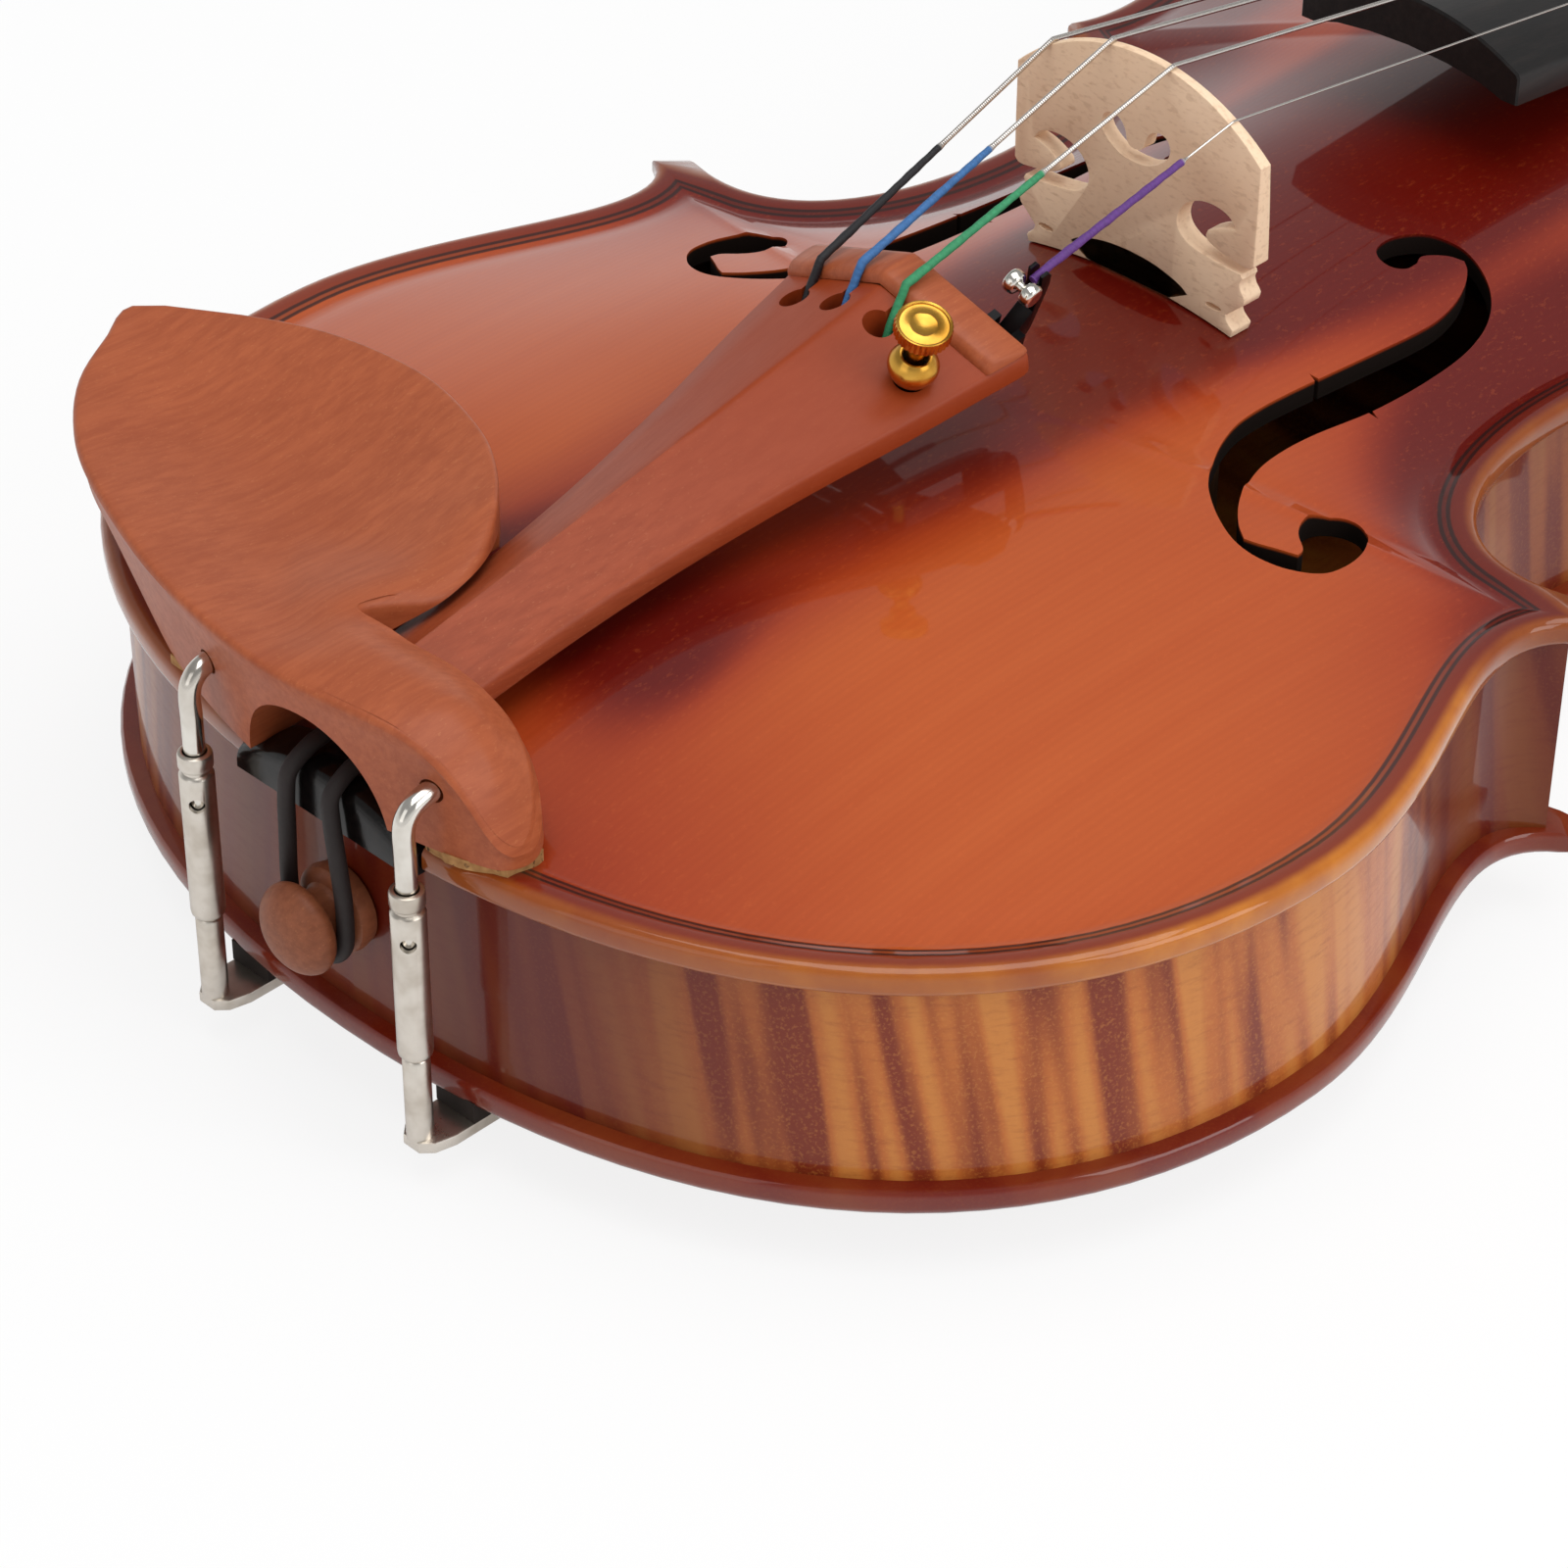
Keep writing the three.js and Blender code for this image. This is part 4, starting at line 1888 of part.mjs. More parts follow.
for (const [sideName, side] of [['bass', -1], ['treble', 1]]) {
  add(`chinrest_cork_${sideName}`, geometryOf(corkPiece(side)), cork);
  add(`clamp_hook_${sideName}`, hookPiece(side), nickel);
  add(`clamp_barrel_${sideName}`, geometryOf(barrelPiece(side)), nickel);
  add(`clamp_foot_${sideName}`, geometryOf(footPiece(side)), nickel);
  add(`clamp_pad_${sideName}`, geometryOf(footPadPiece(side)), cork);
}

add('top_plate', geometryOf(topPlate), spruce);
add('back_plate', geometryOf(backPlate), maple);
ribPieces().forEach((piece) => add(ribName(piece), geometryOf(piece), maple));
Object.entries(regions).forEach(([name, outline]) => {
  let piece = insideRibs.intersect(regionPrism(outline, 0));
  if (name === 'end_block') piece = piece.subtract(solidOf(buttonHole(fit.glue)));
  if (name === 'neck_block') piece = piece.subtract(heelCutter);
  add(name, geometryOf(piece), plainWood);
});
add('neck', geometryOf(neckPiece()), maple);
add('fingerboard', geometryOf(fingerboard()), ebony);
add('nut', nutPiece(), ebony);
Object.keys(pegs).forEach((key) => add(pegs[key].name, geometryOf(pegPiece(key)), stained));
add('bridge', geometryOf(bridgePiece()), woodOf('bridgeMaple'));

root.position.set(0, -restPointY, 0);

export default group;
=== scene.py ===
# Violin on its back, seen from the tail: looks for the CAD frame of the same part.
import random
from math import asin, atan2, ceil, copysign, cos, dist, hypot, pi, radians, sin, sqrt, tau

import bmesh
import bpy
import numpy as np
from mathutils import Matrix, Vector


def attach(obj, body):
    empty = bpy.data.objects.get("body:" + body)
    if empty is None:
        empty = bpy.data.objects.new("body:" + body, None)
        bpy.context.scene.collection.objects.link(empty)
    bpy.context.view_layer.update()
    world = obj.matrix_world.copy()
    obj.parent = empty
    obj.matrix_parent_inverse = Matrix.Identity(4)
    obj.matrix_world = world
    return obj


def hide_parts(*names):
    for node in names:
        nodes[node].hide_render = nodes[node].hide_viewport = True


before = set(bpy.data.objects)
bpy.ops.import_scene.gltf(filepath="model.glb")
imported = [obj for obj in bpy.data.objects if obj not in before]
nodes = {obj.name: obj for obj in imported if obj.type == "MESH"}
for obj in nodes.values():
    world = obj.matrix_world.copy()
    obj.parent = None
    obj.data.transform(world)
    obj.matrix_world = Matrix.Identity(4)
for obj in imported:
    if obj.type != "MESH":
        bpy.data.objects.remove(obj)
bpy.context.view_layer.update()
scene = bpy.context.scene
random.seed(7)

mm = 0.001
tailShift = 215  # the frame's origin lies this far up the body from the tail edge


def at(x, y, z):
    return Vector((x * mm, (y - tailShift) * mm, z * mm))


def sideways(x):
    return Vector((x * mm, 0, 0))


def lerp(a, b, t):
    return a + (b - a) * t


def clampTo(low, high, value):
    return max(low, min(high, value))


def ease(start, end, value):
    t = clampTo(0, 1, (value - start) / (end - start))
    return t * t * (3 - 2 * t)


# Camera, floor and soft light
print("camera and light")
view = {
    "place": (0.38338, -0.51860, 0.40906),
    "azimuth": 44.66,
    "elevation": 36.34,
    "roll": 0.27,
    "lens": 107.28,
}


def placeCamera():
    azimuth, elevation, roll = (radians(view[key]) for key in ("azimuth", "elevation", "roll"))
    back = Vector((
        sin(azimuth) * cos(elevation),
        -cos(azimuth) * cos(elevation),
        sin(elevation),
    ))
    right = (-back).cross(Vector((0, 0, 1))).normalized()
    up = back.cross(right)
    rightRolled = right * cos(roll) + up * sin(roll)
    upRolled = back.cross(rightRolled)
    turn = Matrix((rightRolled, upRolled, back)).transposed().to_4x4()
    data = bpy.data.cameras.new("camera")
    data.lens = view["lens"]
    data.sensor_width = 36
    data.clip_start = 0.01
    camera = bpy.data.objects.new("camera", data)
    camera.matrix_world = Matrix.Translation(view["place"]) @ turn
    scene.collection.objects.link(camera)
    scene.camera = camera


lamps = {
    "overhead": {"place": (0.25, -0.1, 1.45), "size": 1.2, "power": 11.5},
    "right": {"place": (1.25, 0.1, 0.75), "size": 0.8, "power": 6},
    "front": {"place": (0.1, -1.3, 0.6), "size": 0.7, "power": 1.2},
}


def addLamps():
    for name, lamp in lamps.items():
        data = bpy.data.lights.new(name, "AREA")
        data.shape = "SQUARE"
        data.size = lamp["size"]
        data.energy = lamp["power"]
        light = bpy.data.objects.new(name, data)
        place = Vector(lamp["place"])
        turn = (-place).to_track_quat("-Z", "Y").to_matrix().to_4x4()
        light.matrix_world = Matrix.Translation(place) @ turn
        scene.collection.objects.link(light)


# Materials: sockets that can be added, subtracted, multiplied and raised to a power
class Wire:
    def __init__(self, finish, socket):
        self.finish = finish
        self.socket = socket

    def __add__(self, other):
        return self.finish.sum("ADD", self, other)

    def __radd__(self, other):
        return self.finish.sum("ADD", other, self)

    def __sub__(self, other):
        return self.finish.sum("SUBTRACT", self, other)

    def __rsub__(self, other):
        return self.finish.sum("SUBTRACT", other, self)

    def __mul__(self, other):
        return self.finish.sum("MULTIPLY", self, other)

    def __rmul__(self, other):
        return self.finish.sum("MULTIPLY", other, self)

    def __pow__(self, other):
        return self.finish.sum("POWER", self, other)


class Finish:
    def __init__(self, name):
        self.material = bpy.data.materials.new(name)
        self.material.use_nodes = True
        self.tree = self.material.node_tree
        self.tree.nodes.clear()

    def plug(self, socket, value):
        if isinstance(value, Wire):
            self.tree.links.new(value.socket, socket)
        else:
            socket.default_value = tint(value) if isinstance(value, str) else value

    def node(self, kind, settings=None, inputs=None, output=0):
        made = self.tree.nodes.new(kind)
        for key, value in (settings or {}).items():
            setattr(made, key, value)
        for key, value in (inputs or {}).items():
            self.plug(made.inputs[key], value)
        return Wire(self, made.outputs[output]) if len(made.outputs) else None

    def sum(self, operation, a, b):
        return self.node("ShaderNodeMath", {"operation": operation}, {0: a, 1: b})

    def limit(self, value):
        return self.node(
            "ShaderNodeMath", {"operation": "ADD", "use_clamp": True}, {0: value, 1: 0.0}
        )

    def step(self, value, low, high, to=(0.0, 1.0)):
        settings = {"interpolation_type": "SMOOTHSTEP"}
        inputs = {
            "Value": value, "From Min": low, "From Max": high, "To Min": to[0], "To Max": to[1]
        }
        return self.node("ShaderNodeMapRange", settings, inputs)

    def mix(self, share, a, b, blend="MIX"):
        # A colour is a wire or a code such as "#a95834".
        settings = {"data_type": "RGBA", "blend_type": blend}
        return self.node("ShaderNodeMix", settings, {0: share, 6: a, 7: b}, 2)

    def place(self, scale=(1, 1, 1), turn=(0, 0, 0), where=None):
        where = where or self.node("ShaderNodeTexCoord", output=3)
        inputs = {"Vector": where, "Scale": scale, "Rotation": turn}
        return self.node("ShaderNodeMapping", None, inputs)

    def axis(self, index):
        coordinates = self.node("ShaderNodeTexCoord", output=3)
        return self.node("ShaderNodeSeparateXYZ", None, {0: coordinates}, index)

    def noise(self, where, scale, detail=3.0, roughness=0.55):
        inputs = {"Vector": where, "Scale": scale, "Detail": detail, "Roughness": roughness}
        return self.node("ShaderNodeTexNoise", None, inputs)

    def cells(self, where, scale):
        return self.node("ShaderNodeTexVoronoi", None, {"Vector": where, "Scale": scale})

    def wave(self, where, scale, distortion, detail):
        settings = {"wave_type": "BANDS", "bands_direction": "X"}
        inputs = {"Vector": where, "Scale": scale, "Distortion": distortion, "Detail": detail}
        return self.node("ShaderNodeTexWave", settings, inputs, 1)

    def attribute(self, name):
        return self.node("ShaderNodeAttribute", {"attribute_name": name}, output=2)

    def bump(self, height, strength, distance):
        inputs = {"Height": height, "Strength": strength, "Distance": distance}
        return self.node("ShaderNodeBump", None, inputs)

    def surface(self, inputs):
        shader = self.node("ShaderNodeBsdfPrincipled", None, inputs)
        self.node("ShaderNodeOutputMaterial", None, {0: shader})
        return self.material

    def varnished(self, color, rough, coat, height, strength):
        return self.surface({
            "Base Color": color, "Roughness": rough, "Coat Weight": coat,
            "Coat Roughness": 0.05, "Coat IOR": 1.45, "Specular IOR Level": 0.12,
            "Normal": self.bump(height, strength, 0.0001),
        })


def tint(code):
    # A colour code as the numbers that a colour socket takes.
    channels = [int(code[i:i + 2], 16) / 255 for i in (1, 3, 5)]
    linear = [c / 12.92 if c <= 0.04045 else ((c + 0.055) / 1.055) ** 2.4 for c in channels]
    return (*linear, 1.0)


room = {
    "light": 0.56, "horizon": 0.8, "zenith": 0.34, "floorTone": 0.86, "floorGlow": 0.84,
    "floorGloss": 0.4
}


def makeFloor():
    bm = bmesh.new()
    bmesh.ops.create_grid(bm, x_segments=1, y_segments=1, size=4)
    mesh = bpy.data.meshes.new("floor")
    bm.to_mesh(mesh)
    bm.free()
    floor = bpy.data.objects.new("floor", mesh)
    scene.collection.objects.link(floor)
    finish = Finish("pale floor")
    rays = finish.tree.nodes.new("ShaderNodeLightPath")
    tone = (room["floorTone"],) * 3
    matte = finish.node("ShaderNodeBsdfDiffuse", None, {"Color": (*tone, 1)})
    glow = finish.node("ShaderNodeEmission", None, {"Color": (1, 1, 1, 1), "Strength": 1.0})
    shining = finish.limit(
        Wire(finish, rays.outputs[3]) * room["floorGloss"] + Wire(finish, rays.outputs[6])
    )
    seen = finish.limit(Wire(finish, rays.outputs[0]) + shining)
    shader = finish.node(
        "ShaderNodeMixShader", None, {0: seen * room["floorGlow"], 1: matte, 2: glow}
    )
    finish.node("ShaderNodeOutputMaterial", None, {0: shader})
    mesh.materials.append(finish.material)


def makeWorld():
    # White to the camera. What shines sees the white backdrop low down and a dimmer room above it.
    world = bpy.data.worlds.new("soft room")
    scene.world = world
    world.use_nodes = True
    air = Finish.__new__(Finish)
    air.tree = world.node_tree
    air.tree.nodes.clear()
    rays = air.tree.nodes.new("ShaderNodeLightPath")
    shining = air.limit(Wire(air, rays.outputs[3]) + Wire(air, rays.outputs[6]))
    up = air.node("ShaderNodeSeparateXYZ", None, {0: air.node("ShaderNodeTexCoord")}, 2)
    backdrop = air.step(up, 0.1, 0.5, (room["horizon"], room["zenith"]))
    seen = Wire(air, rays.outputs[0])
    strength = (1 - shining) * room["light"] + shining * backdrop
    strength = strength * (1 - seen) + seen
    background = air.node(
        "ShaderNodeBackground", None, {"Color": (1, 1, 1, 1), "Strength": strength}
    )
    air.node("ShaderNodeOutputWorld", None, {0: background})


scene.view_settings.view_transform = "Standard"
placeCamera()
addLamps()
makeFloor()
makeWorld()


# Mesh helpers
def chain(bm, points, closed=True, marks=None):
    layer = marks and (bm.verts.layers.float.get(marks[0]) or bm.verts.layers.float.new(marks[0]))
    verts = [bm.verts.new(p) for p in points]
    if marks:
        for vert, value in zip(verts, marks[1]):
            vert[layer] = value
    count = len(verts) if closed else len(verts) - 1
    edges = [bm.edges.new((verts[i], verts[(i + 1) % len(verts)])) for i in range(count)]
    return verts, edges


def bridge(bm, chains):
    for (_, first), (_, second) in zip(chains, chains[1:]):
        bmesh.ops.bridge_loops(bm, edges=first + second)


def bridgeStacked(bm, chains):
    # Nested loops of one plane are drawn apart in height while they are bridged.
    heights = [[vert.co.z for vert in verts] for verts, _ in chains]
    for level, (verts, _) in enumerate(chains):
        for vert in verts:
            vert.co.z = level * 0.005
    bridge(bm, chains)
    for (verts, _), row in zip(chains, heights):
        for vert, height in zip(verts, row):
            vert.co.z = height


def loft(bm, rings, marks=None):
    # A closed skin over the rings, whose marks are a layer's name and one value for each ring.
    chains = []
    for i, ring in enumerate(rings):
        chains.append(chain(bm, ring, marks=marks and (marks[0], [marks[1][i]] * len(ring))))
    bridge(bm, chains)
    for end in (chains[0], chains[-1]):
        bmesh.ops.edgeloop_fill(bm, edges=end[1])


def turnTo(axis):
    return Vector((0, 0, 1)).rotation_difference(Vector(axis)).to_matrix().to_4x4()


def turned(bm, profile, steps=48, centre=(0, 0, 0), axis=(0, 0, 1)):
    # The profile is (radius, height) in millimetres up the Z axis, turned onto the wanted axis.
    known = set(bm.verts)
    verts = [bm.verts.new((radius * mm, 0, height * mm)) for radius, height in profile]
    edges = [bm.edges.new(pair) for pair in zip(verts, verts[1:])]
    bmesh.ops.spin(
        bm, geom=verts + edges, cent=(0, 0, 0), axis=(0, 0, 1),
        angle=tau, steps=steps, use_merge=True, use_duplicate=False,
    )
    fresh = [v for v in bm.verts if v not in known]
    bmesh.ops.remove_doubles(bm, verts=fresh, dist=0.0005 * mm)
    fresh = [v for v in bm.verts if v not in known]
    place = Matrix.Translation(centre) @ turnTo(axis)
    bmesh.ops.transform(bm, matrix=place, verts=fresh)


def fromMesh(bm, name):
    mesh = bpy.data.meshes.new(name)
    bm.to_mesh(mesh)
    bm.free()
    return mesh


def show(mesh, name, material, body, hides=(), angle=38):
    for polygon in mesh.polygons:
        polygon.use_smooth = True
    mesh.set_sharp_from_angle(angle=radians(angle))
    mesh.materials.clear()
    mesh.materials.append(material)
    piece = bpy.data.objects.new(name, mesh)
    scene.collection.objects.link(piece)
    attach(piece, body)
    if hides:
        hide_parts(*hides)
    return piece


def finishPiece(bm, name, material, body="body", hides=(), angle=38, merge=0.004):
    bmesh.ops.remove_doubles(bm, verts=bm.verts, dist=merge * mm)
    bmesh.ops.recalc_face_normals(bm, faces=bm.faces)
    return show(fromMesh(bm, name), name, material, body, hides, angle)


def dressNode(name, material):
    # A CAD node that stays as it is gets its finish.
    nodes[name].data.materials.clear()
    nodes[name].data.materials.append(material)


def cutAway(bm, cutters):
    # Takes the cutters' space out of the piece and gives back a new bmesh.
    bmesh.ops.remove_doubles(bm, verts=bm.verts, dist=0.004 * mm)
    bmesh.ops.recalc_face_normals(bm, faces=bm.faces)
    bodyObject = bpy.data.objects.new("cut body", fromMesh(bm, "cut body"))
    scene.collection.objects.link(bodyObject)
    tools = []
    for cutter in cutters:
        bmesh.ops.remove_doubles(cutter, verts=cutter.verts, dist=0.002 * mm)
        bmesh.ops.recalc_face_normals(cutter, faces=cutter.faces)
        tool = bpy.data.objects.new("cutter", fromMesh(cutter, "cutter"))
        scene.collection.objects.link(tool)
        modifier = bodyObject.modifiers.new("cut", "BOOLEAN")
        modifier.operation = "DIFFERENCE"
        modifier.solver = "EXACT"
        modifier.object = tool
        tools.append(tool)
    bpy.context.view_layer.update()
    mesh = bpy.data.meshes.new_from_object(
        bodyObject.evaluated_get(bpy.context.evaluated_depsgraph_get())
    )
    result = bmesh.new()
    result.from_mesh(mesh)
    for piece in (bodyObject, *tools):
        bpy.data.objects.remove(piece)
    return result


def prism(outline, low, high):
    bm = bmesh.new()
    loft(bm, [[at(x, y, low) for x, y in outline], [at(x, y, high) for x, y in outline]])
    return bm


def rod(start, end, radius, endRadius=None, sides=24):
    bm = bmesh.new()
    addRod(bm, start, end, radius, endRadius, sides)
    return bm


def addRod(bm, start, end, radius, endRadius=None, sides=24):
    along = (end - start).normalized()
    across = along.orthogonal().normalized()
    up = along.cross(across)
    rings = []
    for centre, size in ((start, radius), (end, endRadius or radius)):
        rings.append([
            centre + (across * cos(tau * k / sides) + up * sin(tau * k / sides)) * size * mm
            for k in range(sides)
        ])
    loft(bm, rings)


def tube(bm, points, radii, sides=12, mark=None, lumps=None):
    # A round tube along the points. Its rings turn with the path and don't twist.
    rings = []
    marks = []
    across = None
    travelled = 0
    for i, point in enumerate(points):
        before = points[max(i - 1, 0)]
        after = points[min(i + 1, len(points) - 1)]
        ahead = (after - before).normalized()
        if across is None:
            across = ahead.orthogonal().normalized()
        across = (across - ahead * across.dot(ahead)).normalized()
        up = ahead.cross(across)
        travelled += (point - points[max(i - 1, 0)]).length / mm
        radius = radii[i] if isinstance(radii, (list, tuple)) else radii
        ring = []
        for k in range(sides):
            angle = tau * k / sides
            size = radius * (1 + (lumps(travelled, angle) if lumps else 0))
            ring.append(point + (across * cos(angle) + up * sin(angle)) * size * mm)
        rings.append(ring)
        marks.append(travelled)
    loft(bm, rings, (mark, marks) if mark else None)


def between(a, b, c, d, t):
    # The point at t from b to c on the smooth curve through all four.
    return 0.5 * (
        2 * b + (c - a) * t + (2 * a - 5 * b + 4 * c - d) * t * t
        + (3 * b - a - 3 * c + d) * t ** 3
    )


def curveThrough(points, perSpan=6):
    # Points of a smooth curve through the given ones.
    points = [Vector(p) for p in points]
    padded = [points[0] * 2 - points[1], *points, points[-1] * 2 - points[-2]]
    result = []
    for i in range(1, len(padded) - 2):
        result += [between(*padded[i - 1:i + 3], k / perSpan) for k in range(perSpan)]
    return [*result, points[-1]]


def smoothProfile(points, perSpan=4):
    return [(p.x, p.y) for p in curveThrough([(a, b, 0) for a, b in points], perSpan)]


def closedCurve(points, perSpan):
    # A closed smooth outline in plan.
    count = len(points)
    result = []
    for i in range(count):
        four = [Vector(points[(i + k) % count]).to_2d() for k in (-1, 0, 1, 2)]
        result += [tuple(between(*four, k / perSpan)) for k in range(perSpan)]
    return result


def alongTable(shares, values, share):
    # A smooth line through a table's values, with level slopes past its ends.
    i = clampTo(
        1, len(shares) - 1,
        next((k for k, s in enumerate(shares) if s >= share - 1e-9), len(shares) - 1)
    )

    def slope(k):
        low, high = max(k - 1, 0), min(k + 1, len(shares) - 1)
        return (values[high] - values[low]) / (shares[high] - shares[low])

    x0, x1, y0, y1 = shares[i - 1], shares[i], values[i - 1], values[i]
    width = x1 - x0
    t = clampTo(0, 1, (share - x0) / width)
    m0, m1 = slope(i - 1) * width, slope(i) * width
    return (
        (2 * t ** 3 - 3 * t ** 2 + 1) * y0 + (t ** 3 - 2 * t ** 2 + t) * m0
        + (3 * t ** 2 - 2 * t ** 3) * y1 + (t ** 3 - t ** 2) * m1
    )


# Outline of the body, measured in millimetres from the tail edge
print("outline of the body")
body = {
    "length": 355, "lowerHalf": 101.5, "waistHalf": 55.5, "upperHalf": 83.5,
    "lowerWidestY": 82, "waistY": 189, "upperWidestY": 291,
    "lowerCorner": (93.2, 148.2), "upperCorner": (77.5, 229.3),
    "cornerFlat": 6, "cornerCurl": 20.5, "upperCurl": 17.2, "waistHook": 26, "upperHook": 13.4,
}
plate = {
    "edge": 4, "edgeCrest": 2.2, "channel": 7, "channelDrop": 0.8,
    "rise": 16.9, "backRise": 15, "thickness": 3, "droop": 1.6, "backDroop": 1.1,
    "fullness": 0.62, "backFullness": 0.86,
    "apexY": 200, "spineFrom": 84, "spineTo": 288, "margin": 7.2, "hollowRun": 8,
    "restCut": 0.8, "buttonWidth": 21, "buttonReach": 12,
    "saddleHalf": 17.6, "saddleTo": 7.3, "heelHalf": 15.8, "heelFrom": 348.7,
    "endBlock": (24, 15), "neckBlock": (27, 18),
}
rib = {
    "height": 32, "thickness": 1.2, "overhang": 2.7, "tip": 1.2, "lining": 2, "liningHeight": 7.5,
    "boutShift": 260, "sideShift": 40, "tipRun": 6, "blockRun": 5, "endBlock": (25, 19),
    "neckBlock": (28, 334)
}
backPlane = plate["backRise"] - plate["restCut"]
bellyPlane = backPlane + rib["height"]
bellyEdgeTop = bellyPlane + plate["edge"]
bellyCrown = bellyPlane + plate["rise"]
boutSteps = {"lower": 26, "waist": 22, "upper": 22}


def bezier(points, steps):
    t = np.linspace(0, 1, steps + 1)[:, None]
    a, b, c, d = (np.array(p, float) for p in points)
    return a * (1 - t) ** 3 + 3 * b * t * (1 - t) ** 2 + 3 * c * t * t * (1 - t) + d * t ** 3


def halfOutline():
    b = body
    low, high = b["lowerCorner"], b["upperCorner"]
    lowTop = (low[0] - b["cornerFlat"] * 0.63, low[1] + b["cornerFlat"] * 0.777)
    highLow = (high[0] - b["cornerFlat"] * 0.65, high[1] - b["cornerFlat"] * 0.76)
    lower, waist, upper = b["lowerHalf"], b["waistHalf"], b["upperHalf"]
    lowY, midY, topY = b["lowerWidestY"], b["waistY"], b["upperWidestY"]
    curves = {
        "lower": (
            [(0, 0), (lower * 0.655, 0), (lower, lowY * 0.42), (lower, lowY)],
            [(lower, lowY), (lower, lerp(lowY, low[1], 0.44)),
             (low[0] - b["cornerCurl"] * 0.88, low[1] - b["cornerCurl"] * 0.48), low],
        ),
        "waist": (
            [lowTop, (lowTop[0] - b["waistHook"] * 0.95, lowTop[1] - b["waistHook"] * 0.36),
             (waist, lerp(lowTop[1], midY, 0.4)), (waist, midY)],
            [(waist, midY), (waist, lerp(midY, highLow[1], 0.5)),
             (highLow[0] - b["upperHook"] * 0.97, highLow[1] + b["upperHook"] * 0.2), highLow],
        ),
        "upper": (
            [high, (high[0] - b["upperCurl"] * 0.41, high[1] + b["upperCurl"] * 0.91),
             (upper, lerp(high[1], topY, 0.52)), (upper, topY)],
            [(upper, topY), (upper, lerp(topY, b["length"], 0.56)),
             (upper * 0.57, b["length"]), (0, b["length"])],
        ),
    }
    return {
        bout: np.vstack([bezier(pair[0], boutSteps[bout]), bezier(pair[1], boutSteps[bout])[1:]])
        for bout, pair in curves.items()
    }


spineShares = {"lower": (0, 0.16), "waist": (0.16, 0.86), "upper": (0.86, 1)}


def spineAt(bout, share):
    low, high = spineShares[bout]
    eased = {"lower": share ** 1.6, "waist": share, "upper": 1 - (1 - share) ** 1.6}[bout]
    return lerp(plate["spineFrom"], plate["spineTo"], lerp(low, high, eased))


def bodyStations():
    half = halfOutline()
    rim, spine, firsts = [], [], {}
    for bout, points in half.items():
        firsts[bout] = len(rim)
        for i, point in enumerate(points):
            rim.append(point)
            spine.append((0, spineAt(bout, i / (len(points) - 1))))
    count = len(rim)
    rim = np.array(rim)
    spine = np.array(spine)
    mirror = np.array([-1, 1])
    allRim = np.vstack([rim, rim[1:-1][::-1] * mirror])
    allSpine = np.vstack([spine, spine[1:-1][::-1]])
    return allRim, allSpine, count, firsts


rim, spine, halfCount, boutFirst = bodyStations()
# Keeps the loop on the spine open until its two sides are merged
spineSides = np.sign(np.round(rim, 3)) * (0.4, 0)


def distanceTo(outline, points):
    ends = np.roll(outline, -1, axis=0)
    run = ends - outline
    squares = np.maximum((run ** 2).sum(1), 1e-12)
    best = np.full(len(points), 1e9)
    for start in range(0, len(points), 4000):
        part = points[start:start + 4000]
        away = part[:, None, :] - outline[None]
        t = np.clip((away * run[None]).sum(2) / squares[None], 0, 1)
        gap = np.hypot(*(away - run[None] * t[..., None]).transpose(2, 0, 1))
        best[start:start + 4000] = gap.min(1)
    return best


def insetRing(distance, outline=None, goals=None):
    outline = rim if outline is None else outline
    goals = spine if goals is None else goals
    near, far = np.zeros(len(outline)), np.ones(len(outline))
    for _ in range(22):
        middle = (near + far) / 2
        where = outline + (goals - outline) * middle[:, None]
        inside = distanceTo(outline, where) < distance
        near = np.where(inside, middle, near)
        far = np.where(inside, far, middle)
    share = np.where(np.asarray(distance) <= 0, 0, (near + far) / 2)
    return outline + (goals - outline) * share[:, None]


def archHeight(points, rise, droop):
    points = np.atleast_2d(points)
    edge = distanceTo(rim, points)
    low = plate["edge"] - plate["channelDrop"]
    run = np.clip((edge - plate["edgeCrest"]) / (plate["channel"] - plate["edgeCrest"]), 0, 1)
    inChannel = plate["edge"] - plate["channelDrop"] * (1 - np.cos(np.pi * run)) / 2
    past = np.maximum(edge - plate["channel"], 0)
    spineY = np.clip(points[:, 1], plate["spineFrom"], plate["spineTo"])
    toSpine = np.hypot(points[:, 0], points[:, 1] - spineY)
    share = past / np.maximum(past + toSpine, 1e-9)
    along = (spineY - plate["apexY"]) / (plate["spineTo"] - plate["apexY"])
    crown = rise - droop * along ** 2
    fullness = plate["fullness"] if rise == plate["rise"] else plate["backFullness"]
    arched = low + (crown - low) * (1 - np.cos(np.pi * share ** fullness)) / 2
    return np.where(edge < plate["channel"], inChannel, arched)


# Materials of the body
print("materials of the body")


